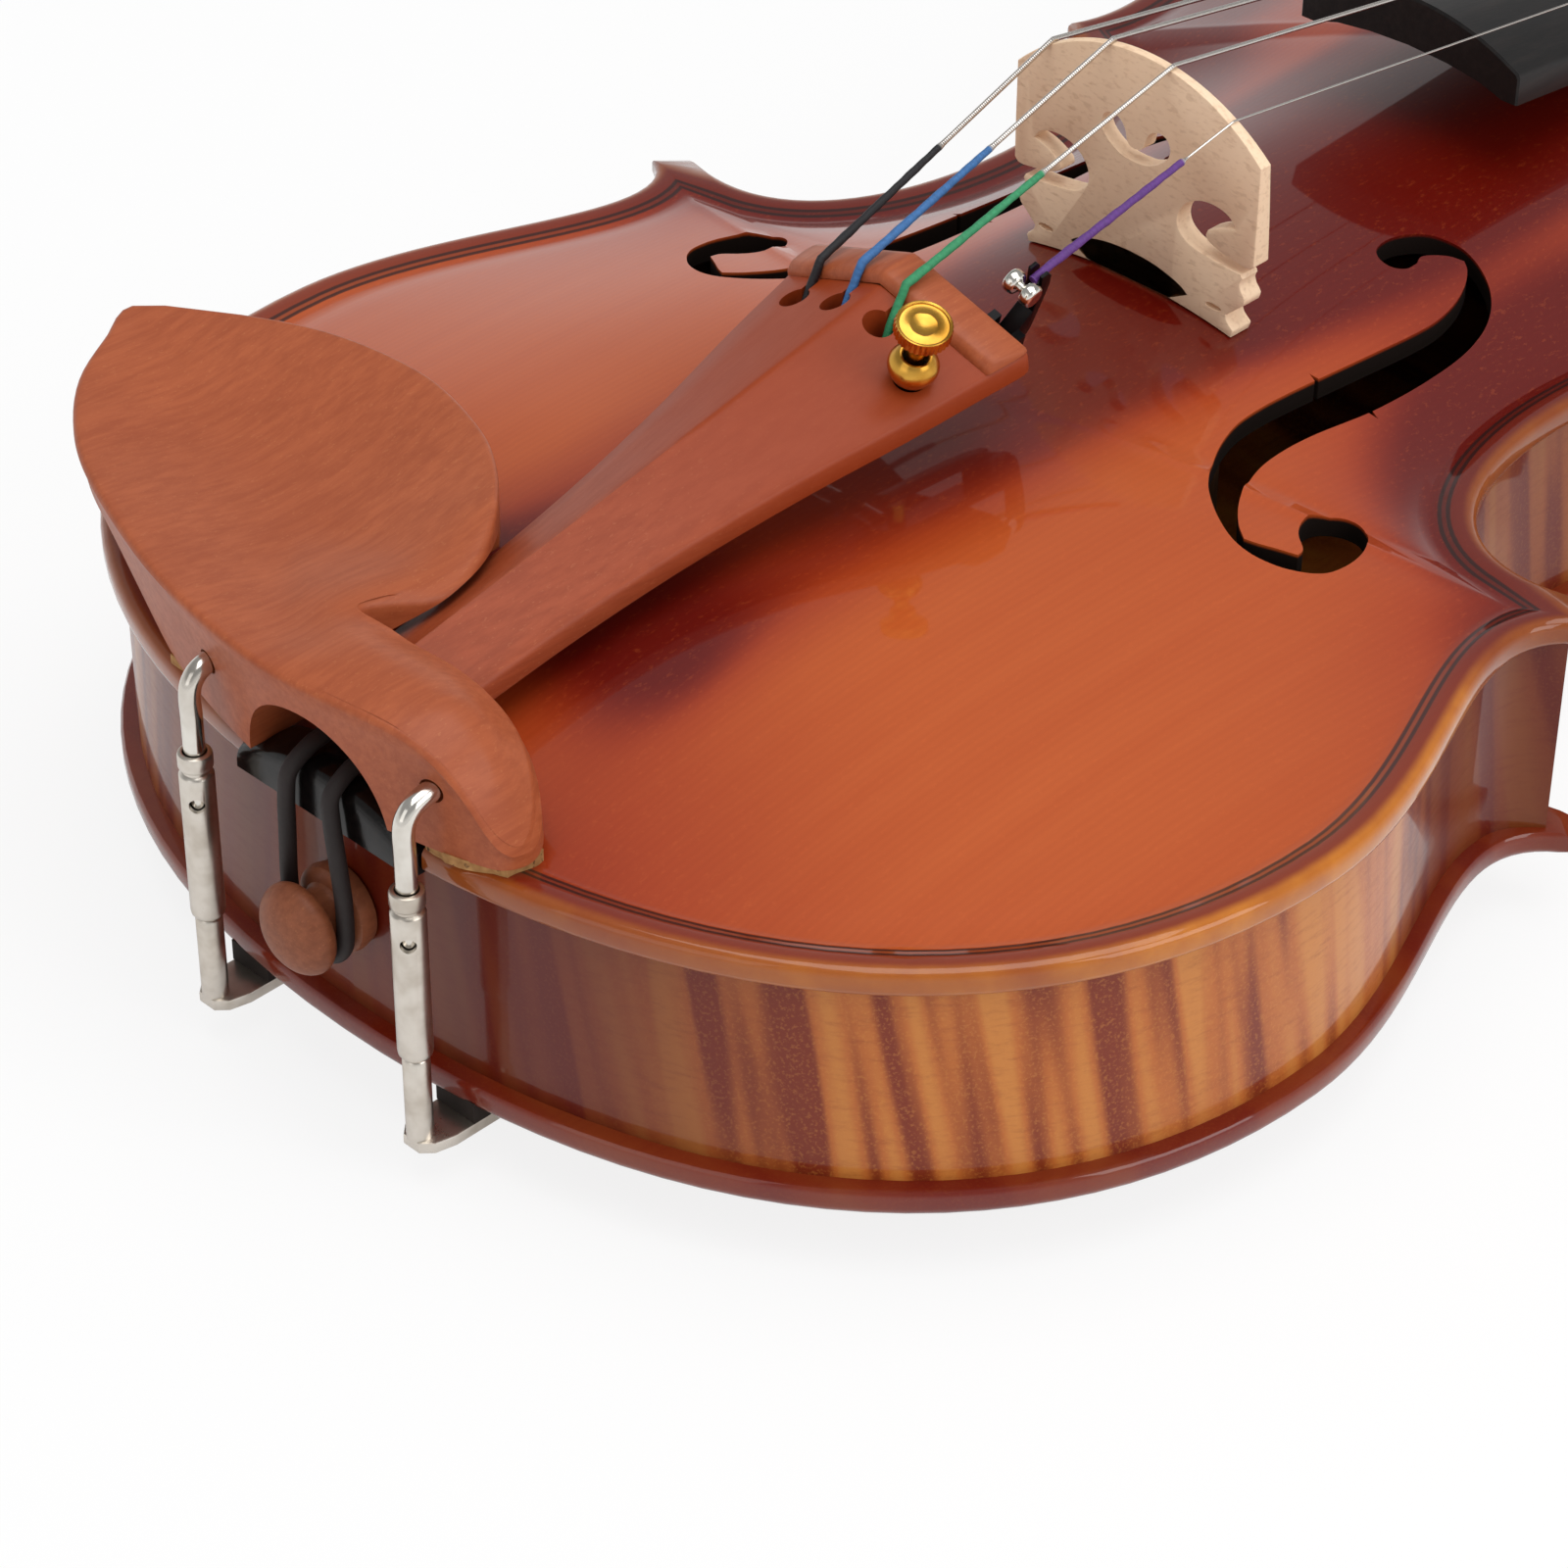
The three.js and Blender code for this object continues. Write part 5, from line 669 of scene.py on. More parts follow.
def spruceVarnish():
    f = Finish("spruce varnish")
    edge = f.attribute("edge")
    x, y = f.axis(0), f.axis(1)
    grainLines = f.wave(f.place((1, 0.02, 1)), 260, 0.6, 2.0)
    streaks = f.noise(f.place((1, 0.03, 0.4)), 320, 4.0, 0.6)
    cloud = f.noise(f.place((1, 0.6, 1)), 9, 4.0, 0.6)
    specks = f.noise(f.place((1, 0.45, 1)), 1500, 2.0, 0.7)
    # Sunburst: amber in the middle of the lower bout, deep red toward the edge and the shoulders
    upBody = f.step(y, -0.15, 0.02)
    fromEdge = f.step(edge + cloud * 14, 4.0, 42.0)
    # Redder round the tail end: partly the varnish's own colour, partly painted shadow and painted
    # reflection of the tailpiece and chinrest.
    tailEnd = y + 0.215
    fromTail = (x * x * 0.7 + tailEnd * tailEnd) ** 0.5
    redness = (1 - fromEdge) * (0.16 + upBody * 0.6) + upBody * 0.66 + (cloud - 0.5) * 0.4
    # A deep red strip up the middle: painted shade and painted reflection of the tailpiece and
    # strings above it.
    middle = (1 - f.step(x * x, 0.00022, 0.0011)) * f.step(tailEnd, 0.02, 0.05)
    waist = f.step(y, -0.12, -0.06) * (1 - f.step(edge, 4, 30)) * 0.25
    redness = f.limit(redness + (1 - f.step(fromTail, 0.03, 0.075)) * 0.5 + middle * 0.75 + waist)
    amber = f.mix(streaks, "#b04c1a", "#bb5824")
    color = f.mix(redness, amber, "#8c1f09")
    color = f.mix(f.step(redness, 0.55, 1.0), color, "#600c03")
    color = f.mix(grainLines * 0.05, color, "#7a2a10", "MULTIPLY")
    color = f.mix(f.step(specks, 0.55, 0.75) * 0.1, color, "#d86a30")
    # The rubbed golden rim of the edge: wear, paler and strongest on the lower treble side as a
    # painted highlight
    margin = (1 - f.step(edge, 3.6, 4.6)) * 0.75
    color = f.mix(margin, color, "#6a1f10")
    rubbed = (1 - f.step(edge, 0.8, 2.3)) * f.step(f.noise(f.place(), 26, 3.0), 0.2, 0.55)
    golden = f.mix(f.noise(f.place((1, 1, 1)), 190, 4.0), "#d08428", "#a25212")
    lowerTrebleHighlight = f.step(x, 0.045, 0.1) * (1 - f.step(y, -0.1, -0.075))
    color = f.mix(rubbed * (0.3 + lowerTrebleHighlight * 0.65), color, golden)

    # Purfling: two dark lines with a paler one between them
    def line(distance, sharp, wide):
        away = edge - distance
        return 1 - f.step(away * away, sharp, wide)

    darkLines = f.limit(line(4.1, 0.02, 0.17) + line(5.3, 0.02, 0.17))
    color = f.mix(line(4.7, 0.3, 0.5) * 0.45, color, "#4a1c12")
    color = f.mix(darkLines * 0.85, color, "#24100e")
    # The belly's inner face is unvarnished and rougher; its near-black colour is painted shade
    # inside the body.
    inside = f.step(f.attribute("inside"), 0.02, 0.2)
    color = f.mix(inside, color, "#140b07")
    height = grainLines * 0.35 + streaks * 0.5 + darkLines * -0.9
    rough = 0.36 + specks * 0.12 + inside * 0.4
    return f.varnished(color, rough, 1 - inside, height, 0.1)


def flamedVarnish(name, dark, middle, pale, red, along=None, tail=True, coat=0.5):
    # Maple with flame stripes. A rib's stripes follow its own length, a plate's run across it.
    f = Finish(name)
    if along:
        run = f.attribute(along) * mm
        z = f.axis(2)
        strip = f.node("ShaderNodeCombineXYZ", None, {0: run + z * 0.16, 1: z, 2: 0.0})
        stripes = f.noise(f.place((1, 0.06, 1), where=strip), 190, 1.0, 0.4)
        wide = f.noise(f.place((1, 0.1, 1), where=strip), 17, 2.0)
        fine = f.noise(f.place((0.22, 1, 1), where=strip), 900, 3.0, 0.7)
    else:
        stripes = f.noise(f.place((0.12, 1, 0.3), (0, 0, 0.12)), 78, 2.6, 0.5)
        wide = f.noise(f.place((0.1, 1, 0.3)), 15, 2.0)
        fine = f.noise(f.place((1, 0.16, 1)), 900, 3.0, 0.7)
    flame = f.step(stripes * 0.82 + wide * 0.2, 0.4, 0.53)
    color = f.mix(flame, dark, middle)
    color = f.mix(f.step(stripes, 0.5, 0.66) * 0.75, color, pale)
    color = f.mix(f.step(fine, 0.45, 0.8) * 0.35, color, dark)
    specks = f.noise(f.place(), 2100, 2.0, 0.6)
    color = f.mix(f.step(specks, 0.5, 0.68) * 0.3, color, pale)
    if tail:
        x, y = f.axis(0), f.axis(1)
        nearMiddle = 1 - f.step(x * x + wide * 0.0006, 0.0012, 0.0062)
        color = f.mix(nearMiddle * 0.88, color, red)
        # Deep red on the ribs toward the lower corners: a painted dark reflection.
        paintedReflectionNearCorner = f.step(y, -0.115, -0.095) * (1 - f.step(y, -0.067, -0.06))
        color = f.mix(paintedReflectionNearCorner * 0.8, color, red)
        color = f.mix(f.step(y, 0.06, 0.13) * 0.5, color, red)
    else:
        edge = f.attribute("edge")
        color = f.mix((1 - f.step(edge + wide * 12, 5, 40)) * 0.85, color, red)
    return f.varnished(color, 0.28 + fine * 0.16, coat, fine * 0.6 + stripes * 0.4, 0.08)


def rawWood(name, pale, dark):
    f = Finish(name)
    lines = f.wave(f.place((1, 0.05, 1)), 220, 1.5, 3.0)
    grain = f.noise(f.place((1, 0.06, 1)), 600, 4.0, 0.65)
    color = f.mix(f.limit(lines * 0.4 + grain * 0.6), pale, dark)
    return f.surface({
        "Base Color": color, "Roughness": 0.75 + grain * 0.15,
        "Normal": f.bump(grain + lines * 0.5, 0.25, 0.0002),
    })


bellyFinish = spruceVarnish()
backFinish = flamedVarnish(
    "back maple", "#6e2a12", "#a4521f", "#bf7430", "#6a1609", tail=False, coat=1.0)
ribFinish = flamedVarnish(
    "rib maple", "#782c14", "#b2622a", "#c5803c", "#560f06", along="along")
innerFinish = rawWood("inner wood", "#6b4a2c", "#4b311c")


# Belly and back
print("belly and back")
archSteps = [0.03, 0.07, 0.12, 0.18, 0.25, 0.32, 0.4, 0.48, 0.57, 0.66, 0.76, 0.88]
rimProfile = [
    (1.0, 0.0), (0.45, 0.14), (0.12, 0.5), (0.0, 1.0), (0.0, 2.5),
    (0.12, 3.05), (0.5, 3.6), (1.1, 3.9), (1.7, 3.99),
]
channelDistances = [2.2, 2.9, 3.6, 4.3, 5.0, 5.7, 6.4]


def gluingMargins():
    # The flat face for the ribs is wider over the two end blocks.
    (endHalf, endDepth), (neckHalf, neckDepth) = plate["endBlock"], plate["neckBlock"]
    margins = []
    for x, y in rim:
        nearEnd = endDepth if abs(x) < endHalf and y < body["lowerWidestY"] else 0
        nearNeck = neckDepth if abs(x) < neckHalf and y > body["upperWidestY"] else 0
        margins.append(max(plate["margin"], nearEnd + rib["overhang"], nearNeck + rib["overhang"]))
    return np.array(margins)


def carvedPlate(rise, droop, flatTop, upward):
    # Rings from the gluing face round the edge, over the arch to the spine and back inside.
    bm = bmesh.new()
    sign = 1 if upward else -1
    plane = bellyPlane if upward else backPlane

    def ring(points, heights):
        heights = np.broadcast_to(heights, len(points))
        return chain(bm, [at(x, y, plane + sign * h) for (x, y), h in zip(points, heights)])

    def arch(points):
        return np.minimum(archHeight(points, rise, droop), flatTop)

    outer = [ring(insetRing(d), h) for d, h in rimProfile]
    for d in channelDistances:
        points = insetRing(d)
        outer.append(ring(points, arch(points)))
    channel = insetRing(plate["channel"])
    outer.append(ring(channel, arch(channel)))
    arched = []
    for share in archSteps:
        points = channel + (spine - channel) * share
        arched.append(ring(points, arch(points)))
    crown = ring(spine + spineSides, arch(spine))
    margins = gluingMargins()
    margin = insetRing(margins)
    hollow = insetRing(margins + plate["hollowRun"])
    inner = [ring(spine + spineSides, arch(spine) - plate["thickness"])]
    for share in (0.7, 0.4, 0.15):
        points = hollow + (spine - hollow) * share
        inner.append(ring(points, arch(points) - plate["thickness"]))
    inner.append(ring(hollow, np.maximum(arch(hollow) - plate["thickness"], 1)))
    inner.append(ring(margin, 0))
    for vert in (v for verts, _ in inner for v in verts):
        vert.tag = True
    bridgeStacked(bm, [*inner, *outer, *arched, crown])
    for vert in [*crown[0], *inner[0][0]]:
        vert.co.x = 0
    bmesh.ops.remove_doubles(bm, verts=bm.verts, dist=0.01 * mm)
    smooth = [v for verts, _ in [*arched, crown] for v in verts if v.is_valid]
    for _ in range(14):
        bmesh.ops.smooth_vert(bm, verts=smooth, factor=0.5, use_axis_z=True)
    reach = max(sign * (vert.co.z - plane * mm) for vert in smooth)
    stretch = min(rise, flatTop) * mm / reach
    for vert in smooth:
        vert.co.z = plane * mm + (vert.co.z - plane * mm) * stretch
    return bm


# One closed outline, in runs from corner to corner; the corners are the wings' tips.
# Each run goes on from the end of the one before it.
soundHole = {
    "runs": [
        [
            (23.8, 191.3), (22.4, 189.6), (20.3, 189.3), (18.4, 190.8), (18.0, 194.4),
            (19.2, 198.1), (21.0, 200.5), (23.7, 202.0), (26.5, 202.5), (29.7, 201.8),
            (32.9, 200.0), (35.5, 197.3), (37.5, 193.6), (38.8, 189.2), (39.6, 184.3),
            (40.1, 177.8), (40.4, 170.9), (40.5, 163.3), (40.3, 157.2), (40.1, 150.5),
            (40.3, 144.1), (41.1, 137.9), (42.7, 132.6), (45.2, 128.0), (48.3, 124.3),
            (51.0, 122.3)
        ],
        [(52.8, 123.2), (55.1, 124.7), (57.5, 126.2)],
        [
            (57.0, 127.9), (54.4, 130.0), (52.7, 132.9), (52.6, 136.2), (54.2, 139.4),
            (56.5, 140.7), (58.9, 139.8), (61.2, 136.7), (62.5, 132.4), (62.6, 128.4),
            (61.8, 125.8), (60.0, 123.6), (57.4, 121.7), (54.0, 120.6), (50.1, 120.9),
            (45.6, 123.0), (41.3, 126.2), (38.9, 128.9), (36.5, 132.8), (34.5, 137.1),
            (33.0, 142.2), (32.4, 148.1), (32.3, 154.2), (32.4, 160.1), (32.6, 167.2),
            (32.9, 175.1), (33.2, 182.2), (33.1, 187.8), (32.1, 193.1), (30.6, 197.0),
            (28.9, 199.6), (27.4, 200.7)
        ],
        [(25.6, 199.4), (24.1, 197.4), (23.3, 195.4), (23.9, 193.7)]
    ],
    "notches": [(40.5, 163.0, 1), (32.4, 160.3, -1)], "notch": 1.3
}


def soundHoleCutters(side):
    corners = [run[-1] for run in soundHole["runs"]]
    outline = []
    for corner, run in zip(corners[-1:] + corners, soundHole["runs"]):
        outline += [(x * side, y) for x, y in smoothProfile([corner, *run])[:-1]]
    low, high = bellyPlane - 2, bellyCrown + 3
    cutters = [prism(outline, low, high)]
    n = soundHole["notch"]
    for x, y, out in soundHole["notches"]:
        corners = [
            (x - out * n * 1.2, y - n * 0.7), (x + out * n * 1.1, y),
            (x - out * n * 1.2, y + n * 0.7)
        ]
        cutters.append(prism([(side * a, b) for a, b in corners], low, high))
    return cutters


def boxCutter(x0, x1, y0, y1, z0, z1):
    return prism([(x0, y0), (x1, y0), (x1, y1), (x0, y1)], z0, z1)


def markPlate(mesh, plane, sign, rise, droop):
    points = np.zeros(len(mesh.vertices) * 3)
    mesh.vertices.foreach_get("co", points)
    points = points.reshape(-1, 3) / mm
    flat = points[:, :2] + (0, tailShift)
    edge = distanceTo(rim, flat)
    heights = (points[:, 2] - plane) * sign
    under = (heights < archHeight(flat, rise, droop) - plate["thickness"] * 0.5) & (edge > 1.2)
    mesh.attributes.new("edge", "FLOAT", "POINT").data.foreach_set(
        "value", edge.astype(np.float32)
    )
    inside = mesh.attributes.new("inside", "FLOAT", "POINT")
    inside.data.foreach_set("value", under.astype(np.float32))


def makeBelly():
    bm = carvedPlate(plate["rise"], plate["droop"], 99, True)
    cutters = [*soundHoleCutters(1), *soundHoleCutters(-1)]
    half, y = plate["saddleHalf"], plate["saddleTo"]
    cutters.append(boxCutter(-half, half, -20, y, bellyPlane - 1, bellyEdgeTop + 9))
    half, y = plate["heelHalf"], plate["heelFrom"]
    cutters.append(boxCutter(-half, half, y, 370, bellyPlane - 1, bellyEdgeTop + 9))
    bm = cutAway(bm, cutters)
    mesh = fromMesh(bm, "belly")
    markPlate(mesh, bellyPlane, 1, plate["rise"], plate["droop"])
    return show(mesh, "belly", bellyFinish, "body", ["top_plate"], 32)


def makeBack():
    bm = carvedPlate(plate["backRise"], plate["backDroop"], backPlane, False)
    bmesh.ops.recalc_face_normals(bm, faces=bm.faces)
    half = plate["buttonWidth"] / 2
    centreY = body["length"] + plate["buttonReach"] - half
    outline = []
    for k in range(25):
        angle = pi * k / 24
        outline.append((half * cos(angle), centreY + half * sin(angle)))
    outline += [(-half, body["length"] - 6), (half, body["length"] - 6)]
    low, high, soft = backPlane - plate["edge"], backPlane, 0.6
    loft(bm, [
        [at(x * (1 - soft / half), lerp(y, centreY, soft / half), low) for x, y in outline],
        [at(x, y, low + soft) for x, y in outline],
        [at(x, y, high) for x, y in outline],
    ])
    bmesh.ops.recalc_face_normals(bm, faces=bm.faces)
    mesh = fromMesh(bm, "back")
    markPlate(mesh, backPlane, -1, plate["backRise"], plate["backDroop"])
    return show(mesh, "back", backFinish, "body", ["back_plate"], 32)


makeBelly()
makeBack()


# Ribs, each one strip with its linings, its flame following the strip
print("ribs")


def ribStrip(name, node, first, last, side, atEnds):
    bm = bmesh.new()
    bm.verts.layers.float.new("along")
    low, high = backPlane, bellyPlane
    inner = rib["overhang"] + rib["thickness"]
    outerRing, innerRing = insetRing(rib["overhang"]), insetRing(inner)
    liningRing = insetRing(inner + rib["lining"])
    tipOuter, tipInner = insetRing(rib["tip"]), insetRing(rib["tip"] + rib["thickness"])
    rings, marks, travelled = [], [], 0
    for i in range(first, last + 1):
        toTip = min(i - first if first else 99, last - i if last < halfCount - 1 else 99)
        share = 1 - ease(0, rib["tipRun"], toTip)
        ox, oy = lerp(outerRing[i], tipOuter[i], share)
        ix, iy = lerp(innerRing[i], tipInner[i], share)
        lx, ly = lerp(liningRing[i], tipInner[i], share)
        # No lining where a block stands
        (endHalf, endY), (neckHalf, neckY) = rib["endBlock"], rib["neckBlock"]
        atCorner = min(i - first, last - i) < rib["blockRun"]
        atEnd = (iy < endY and abs(ix) < endHalf) or (iy > neckY and abs(ix) < neckHalf)
        if atCorner or atEnd:
            lx, ly = ix * 0.999 + lx * 0.001, iy * 0.999 + ly * 0.001
        if i > first:
            travelled += dist(outerRing[i], outerRing[i - 1])
        h = rib["liningHeight"]
        ring = [
            (ox, oy, low), (ox, oy, high), (lx, ly, high), (lx, ly, high - h * 0.55),
            (ix, iy, high - h), (ix, iy, low + h), (lx, ly, low + h * 0.55), (lx, ly, low)
        ]
        rings.append([at(side * x, y, z) for x, y, z in ring])
        marks.append(travelled + atEnds)
    loft(bm, rings, marks=("along", marks))
    return finishPiece(bm, name, ribFinish, "body", [node], 40, 0.0001)


def makeRibs():
    bounds = {
        # The outer bouts' ribs close the corners' ends
        "lower": (0, boutFirst["waist"]),
        "waist": (boutFirst["waist"], boutFirst["upper"] - 1),
        "upper": (boutFirst["upper"] - 1, halfCount - 1),
    }
    for sideName, side in (("treble", 1), ("bass", -1)):
        for k, (bout, (first, last)) in enumerate(bounds.items()):
            ribStrip(
                f"{sideName}{bout.title()}Rib", f"{sideName}_{bout}_rib", first, last, side,
                k * rib["boutShift"] + rib["sideShift"] * side
            )


makeRibs()
for name in ("bass_bar", "sound_post", "end_block", "neck_block", "treble_lower_corner_block",
             "treble_upper_corner_block", "bass_lower_corner_block", "bass_upper_corner_block"):
    dressNode(name, innerFinish)


# Finishes of the fittings
print("materials of the fittings")


def stainedWood(name, pale, dark, rough=0.36, along=(1, 0.06, 1), gloss=0.26, deeper=None):
    f = Finish(name)
    grain = f.noise(f.place(along), 900, 4.0, 0.65)
    broad = f.noise(f.place(along), 95, 3.0, 0.5)
    flecks = f.noise(f.place((1, 0.4, 1)), 2300, 2.0, 0.7)
    cloud = f.noise(f.place(), 34, 4.0, 0.6)
    color = f.mix(f.step(grain, 0.3, 0.7) * 0.55, pale, dark)
    color = f.mix(f.step(broad, 0.4, 0.7) * 0.22, color, dark)
    color = f.mix(f.step(flecks, 0.6, 0.72) * 0.16, color, "#d08a5c")
    color = f.mix(f.step(cloud, 0.45, 0.75) * 0.2, color, "#8a3a1e")
    if deeper:
        color = f.mix(f.step(f.axis(1), -0.185, -0.13) * 0.75, color, deeper)
    return f.surface({
        "Base Color": color, "Roughness": rough + cloud * 0.14 + grain * 0.08, "Coat Weight": 0.08,
        "Coat Roughness": 0.2, "Specular IOR Level": gloss,
        "Normal": f.bump(grain + flecks * 0.5, 0.14, 0.00012),
    })


def ebonyFinish(name, rough):
    f = Finish(name)
    grain = f.noise(f.place((1, 0.04, 1)), 700, 4.0, 0.7)
    pores = f.noise(f.place((1, 0.12, 1)), 2600, 2.0, 0.6)
    cloud = f.noise(f.place(), 30, 3.0)
    color = f.mix(f.step(grain, 0.35, 0.8), "#0a0808", "#1c1614")
    color = f.mix(f.step(pores, 0.62, 0.75) * 0.6, color, "#050404")
    return f.surface({
        "Base Color": color, "Roughness": rough + cloud * 0.16, "Specular IOR Level": 0.32,
        "Normal": f.bump(grain + pores, 0.12, 0.00012),
    })


def bridgeMaple():
    f = Finish("bridge maple")
    flecks = f.noise(f.place((0.4, 1, 1)), 1500, 3.0, 0.6)
    specks = f.noise(f.place((0.6, 1, 1.4)), 620, 2.0, 0.5)
    cloud = f.noise(f.place(), 60, 3.0)
    color = f.mix(cloud, "#f4d8ba", "#e9c6a2")
    color = f.mix(f.step(flecks, 0.5, 0.72) * 0.3, color, "#bf9068")
    color = f.mix(f.step(specks, 0.6, 0.7) * 0.22, color, "#a87850")
    return f.surface({
        "Base Color": color, "Roughness": 0.5 + flecks * 0.15, "Specular IOR Level": 0.3,
        "Normal": f.bump(flecks, 0.12, 0.0001),
    })


def metalFinish(name, color, deep, rough, metallic=1.0):
    f = Finish(name)
    scratches = f.noise(f.place((1, 1, 0.08)), 1800, 3.0, 0.7)
    smudge = f.noise(f.place(), 180, 3.0)
    return f.surface({
        "Base Color": f.mix(f.step(smudge, 0.35, 0.75), color, deep), "Metallic": metallic,
        "Roughness": rough + smudge * 0.12 + scratches * 0.08,
        "Normal": f.bump(scratches, 0.06, 0.00005),
    })


def silkedString(name, silk, silkEnd, wound):
    # Thread up to silkEnd millimetres along the string, then bright wound metal.
    f = Finish(name)
    run = f.attribute("run")
    bare = f.step(run, silkEnd - 0.3, silkEnd + 0.3)
    aroundString = {0: run * 0.5, 1: f.axis(0) * 260, 2: f.axis(2) * 260}
    threads = f.noise(f.node("ShaderNodeCombineXYZ", None, aroundString), 5, 2.0)
    turns = f.node("ShaderNodeMath", {"operation": "SINE"}, {0: run * wound})
    color = f.mix(threads * 0.6, silk, "#101014")
    color = f.mix(bare, color, "#d2ccc6")
    heights = {0: bare, 2: threads * 4, 3: turns * 0.25}
    height = f.node("ShaderNodeMix", {"data_type": "FLOAT"}, heights)
    return f.surface({
        "Base Color": color, "Metallic": bare, "Roughness": 0.62 - bare * 0.36,
        "Normal": f.bump(height, 0.3, 0.0001),
    })


def corkFinish():
    f = Finish("cork")
    cells = f.cells(f.place(), 900)
    specks = f.noise(f.place((1, 1, 0.6)), 700, 3.0, 0.7)
    color = f.mix(cells, "#b98a55", "#8e6234")
    color = f.mix(f.step(specks, 0.56, 0.66), color, "#4a2e17")
    return f.surface({
        "Base Color": color, "Roughness": 0.85 + specks * 0.1,
        "Normal": f.bump(cells + specks, 0.5, 0.0003)
    })


def softFinish(name, color, deep, rough):
    f = Finish(name)
    fuzz = f.noise(f.place(), 1500, 3.0, 0.7)
    cloud = f.noise(f.place(), 120, 3.0)
    return f.surface({
        "Base Color": f.mix(cloud, color, deep), "Roughness": rough + fuzz * 0.2,
        "Specular IOR Level": 0.3, "Normal": f.bump(fuzz, 0.2, 0.0001),
    })


boxwood = stainedWood("stained boxwood", "#a95834", "#8b4023")
tailWood = stainedWood("tailpiece boxwood", "#9c4828", "#7d3319", gloss=0.2, deeper="#8f350f")
buttonWood = stainedWood("turned boxwood", "#8a4f33", "#6c3720", 0.42, (1, 0.4, 1))
ebony = ebonyFinish("ebony", 0.3)
polishedEbony = ebonyFinish("polished ebony", 0.06)
bridgeFinish = bridgeMaple()
gold = metalFinish("gold metal", "#dba84a", "#b9832f", 0.14)
blackMetal = metalFinish("black metal", "#121113", "#1d1b1c", 0.24, 0.7)
nickel = metalFinish("nickel", "#d9d2c8", "#bdb3a6", 0.2)
polished = metalFinish("polished nickel", "#e2ded6", "#cdc6bc", 0.06)
cork = corkFinish()
padFinish = softFinish("dark pad", "#2b211c", "#1a1412", 0.7)
cordFinish = softFinish("tail cord", "#2e2524", "#1d1817", 0.5)
neckFinish = flamedVarnish(
    "neck maple", "#7a3a1c", "#a86230", "#bf8244", "#5a1a0c")

for name in ("tuner_frame", "tuner_pivot_pin"):
    dressNode(name, blackMetal)


# Outlines with a soft edge
def offsetOutline(outline, distance):
    # Each point moves in by the distance, square to the outline, which runs anticlockwise.
    moved = []
    count = len(outline)
    for i in range(count):
        before, here, after = (Vector(outline[(i + k) % count]) for k in (-1, 0, 1))
        first, second = (here - before).normalized(), (after - here).normalized()
        inward = Vector((-first.y, first.x)) + Vector((-second.y, second.x))
        if inward.length < 1e-6:
            moved.append(tuple(here))
            continue
        inward.normalize()
        stretch = max(0.5, inward.dot(Vector((-first.y, first.x))))
        moved.append(tuple(here + inward * distance / stretch))
    return moved


def area(outline):
    return sum(a[0] * b[1] - b[0] * a[1] for a, b in zip(outline, outline[1:] + outline[:1])) / 2


def softSlab(outline, place, soft):
    # place(x, y, t, depth) gives the point of the outline at t from the near face to the far one.
    if area(outline) < 0:
        outline = outline[::-1]
    steps = [
        (0, soft, 0), (0, soft * 0.3, soft * 0.3), (0, 0, soft), (1, 0, soft),
        (1, soft * 0.3, soft * 0.3), (1, soft, 0)
    ]
    bm = bmesh.new()
    loft(
        bm,
        [
            [place(x, y, far, depth) for x, y in offsetOutline(outline, inward)]
            for far, inward, depth in steps
        ]
    )
    return bm


# Bridge
print("bridge")
bridgeSizes = {
    "halfWidth": 23.2, "crownRadius": 33, "tall": 36.4, "foot": 4.5, "crest": 1.6, "y": 155.6,
    "soft": 0.28, "slotX": 16.3, "slotZ": 64.9, "slotHalf": 1.5, "slotTall": 0.5, "slotDepth": 1.1,
    "lift": 0.34
}
bridgeTop = bellyCrown + bridgeSizes["tall"]


def bridgeTopZ(x):
    r = bridgeSizes["crownRadius"]
    return bridgeTop - r + sqrt(r * r - x * x)


def bellyTopZ(x, y):
    return bellyPlane + float(archHeight(np.array([[x, y]]), plate["rise"], plate["droop"])[0])


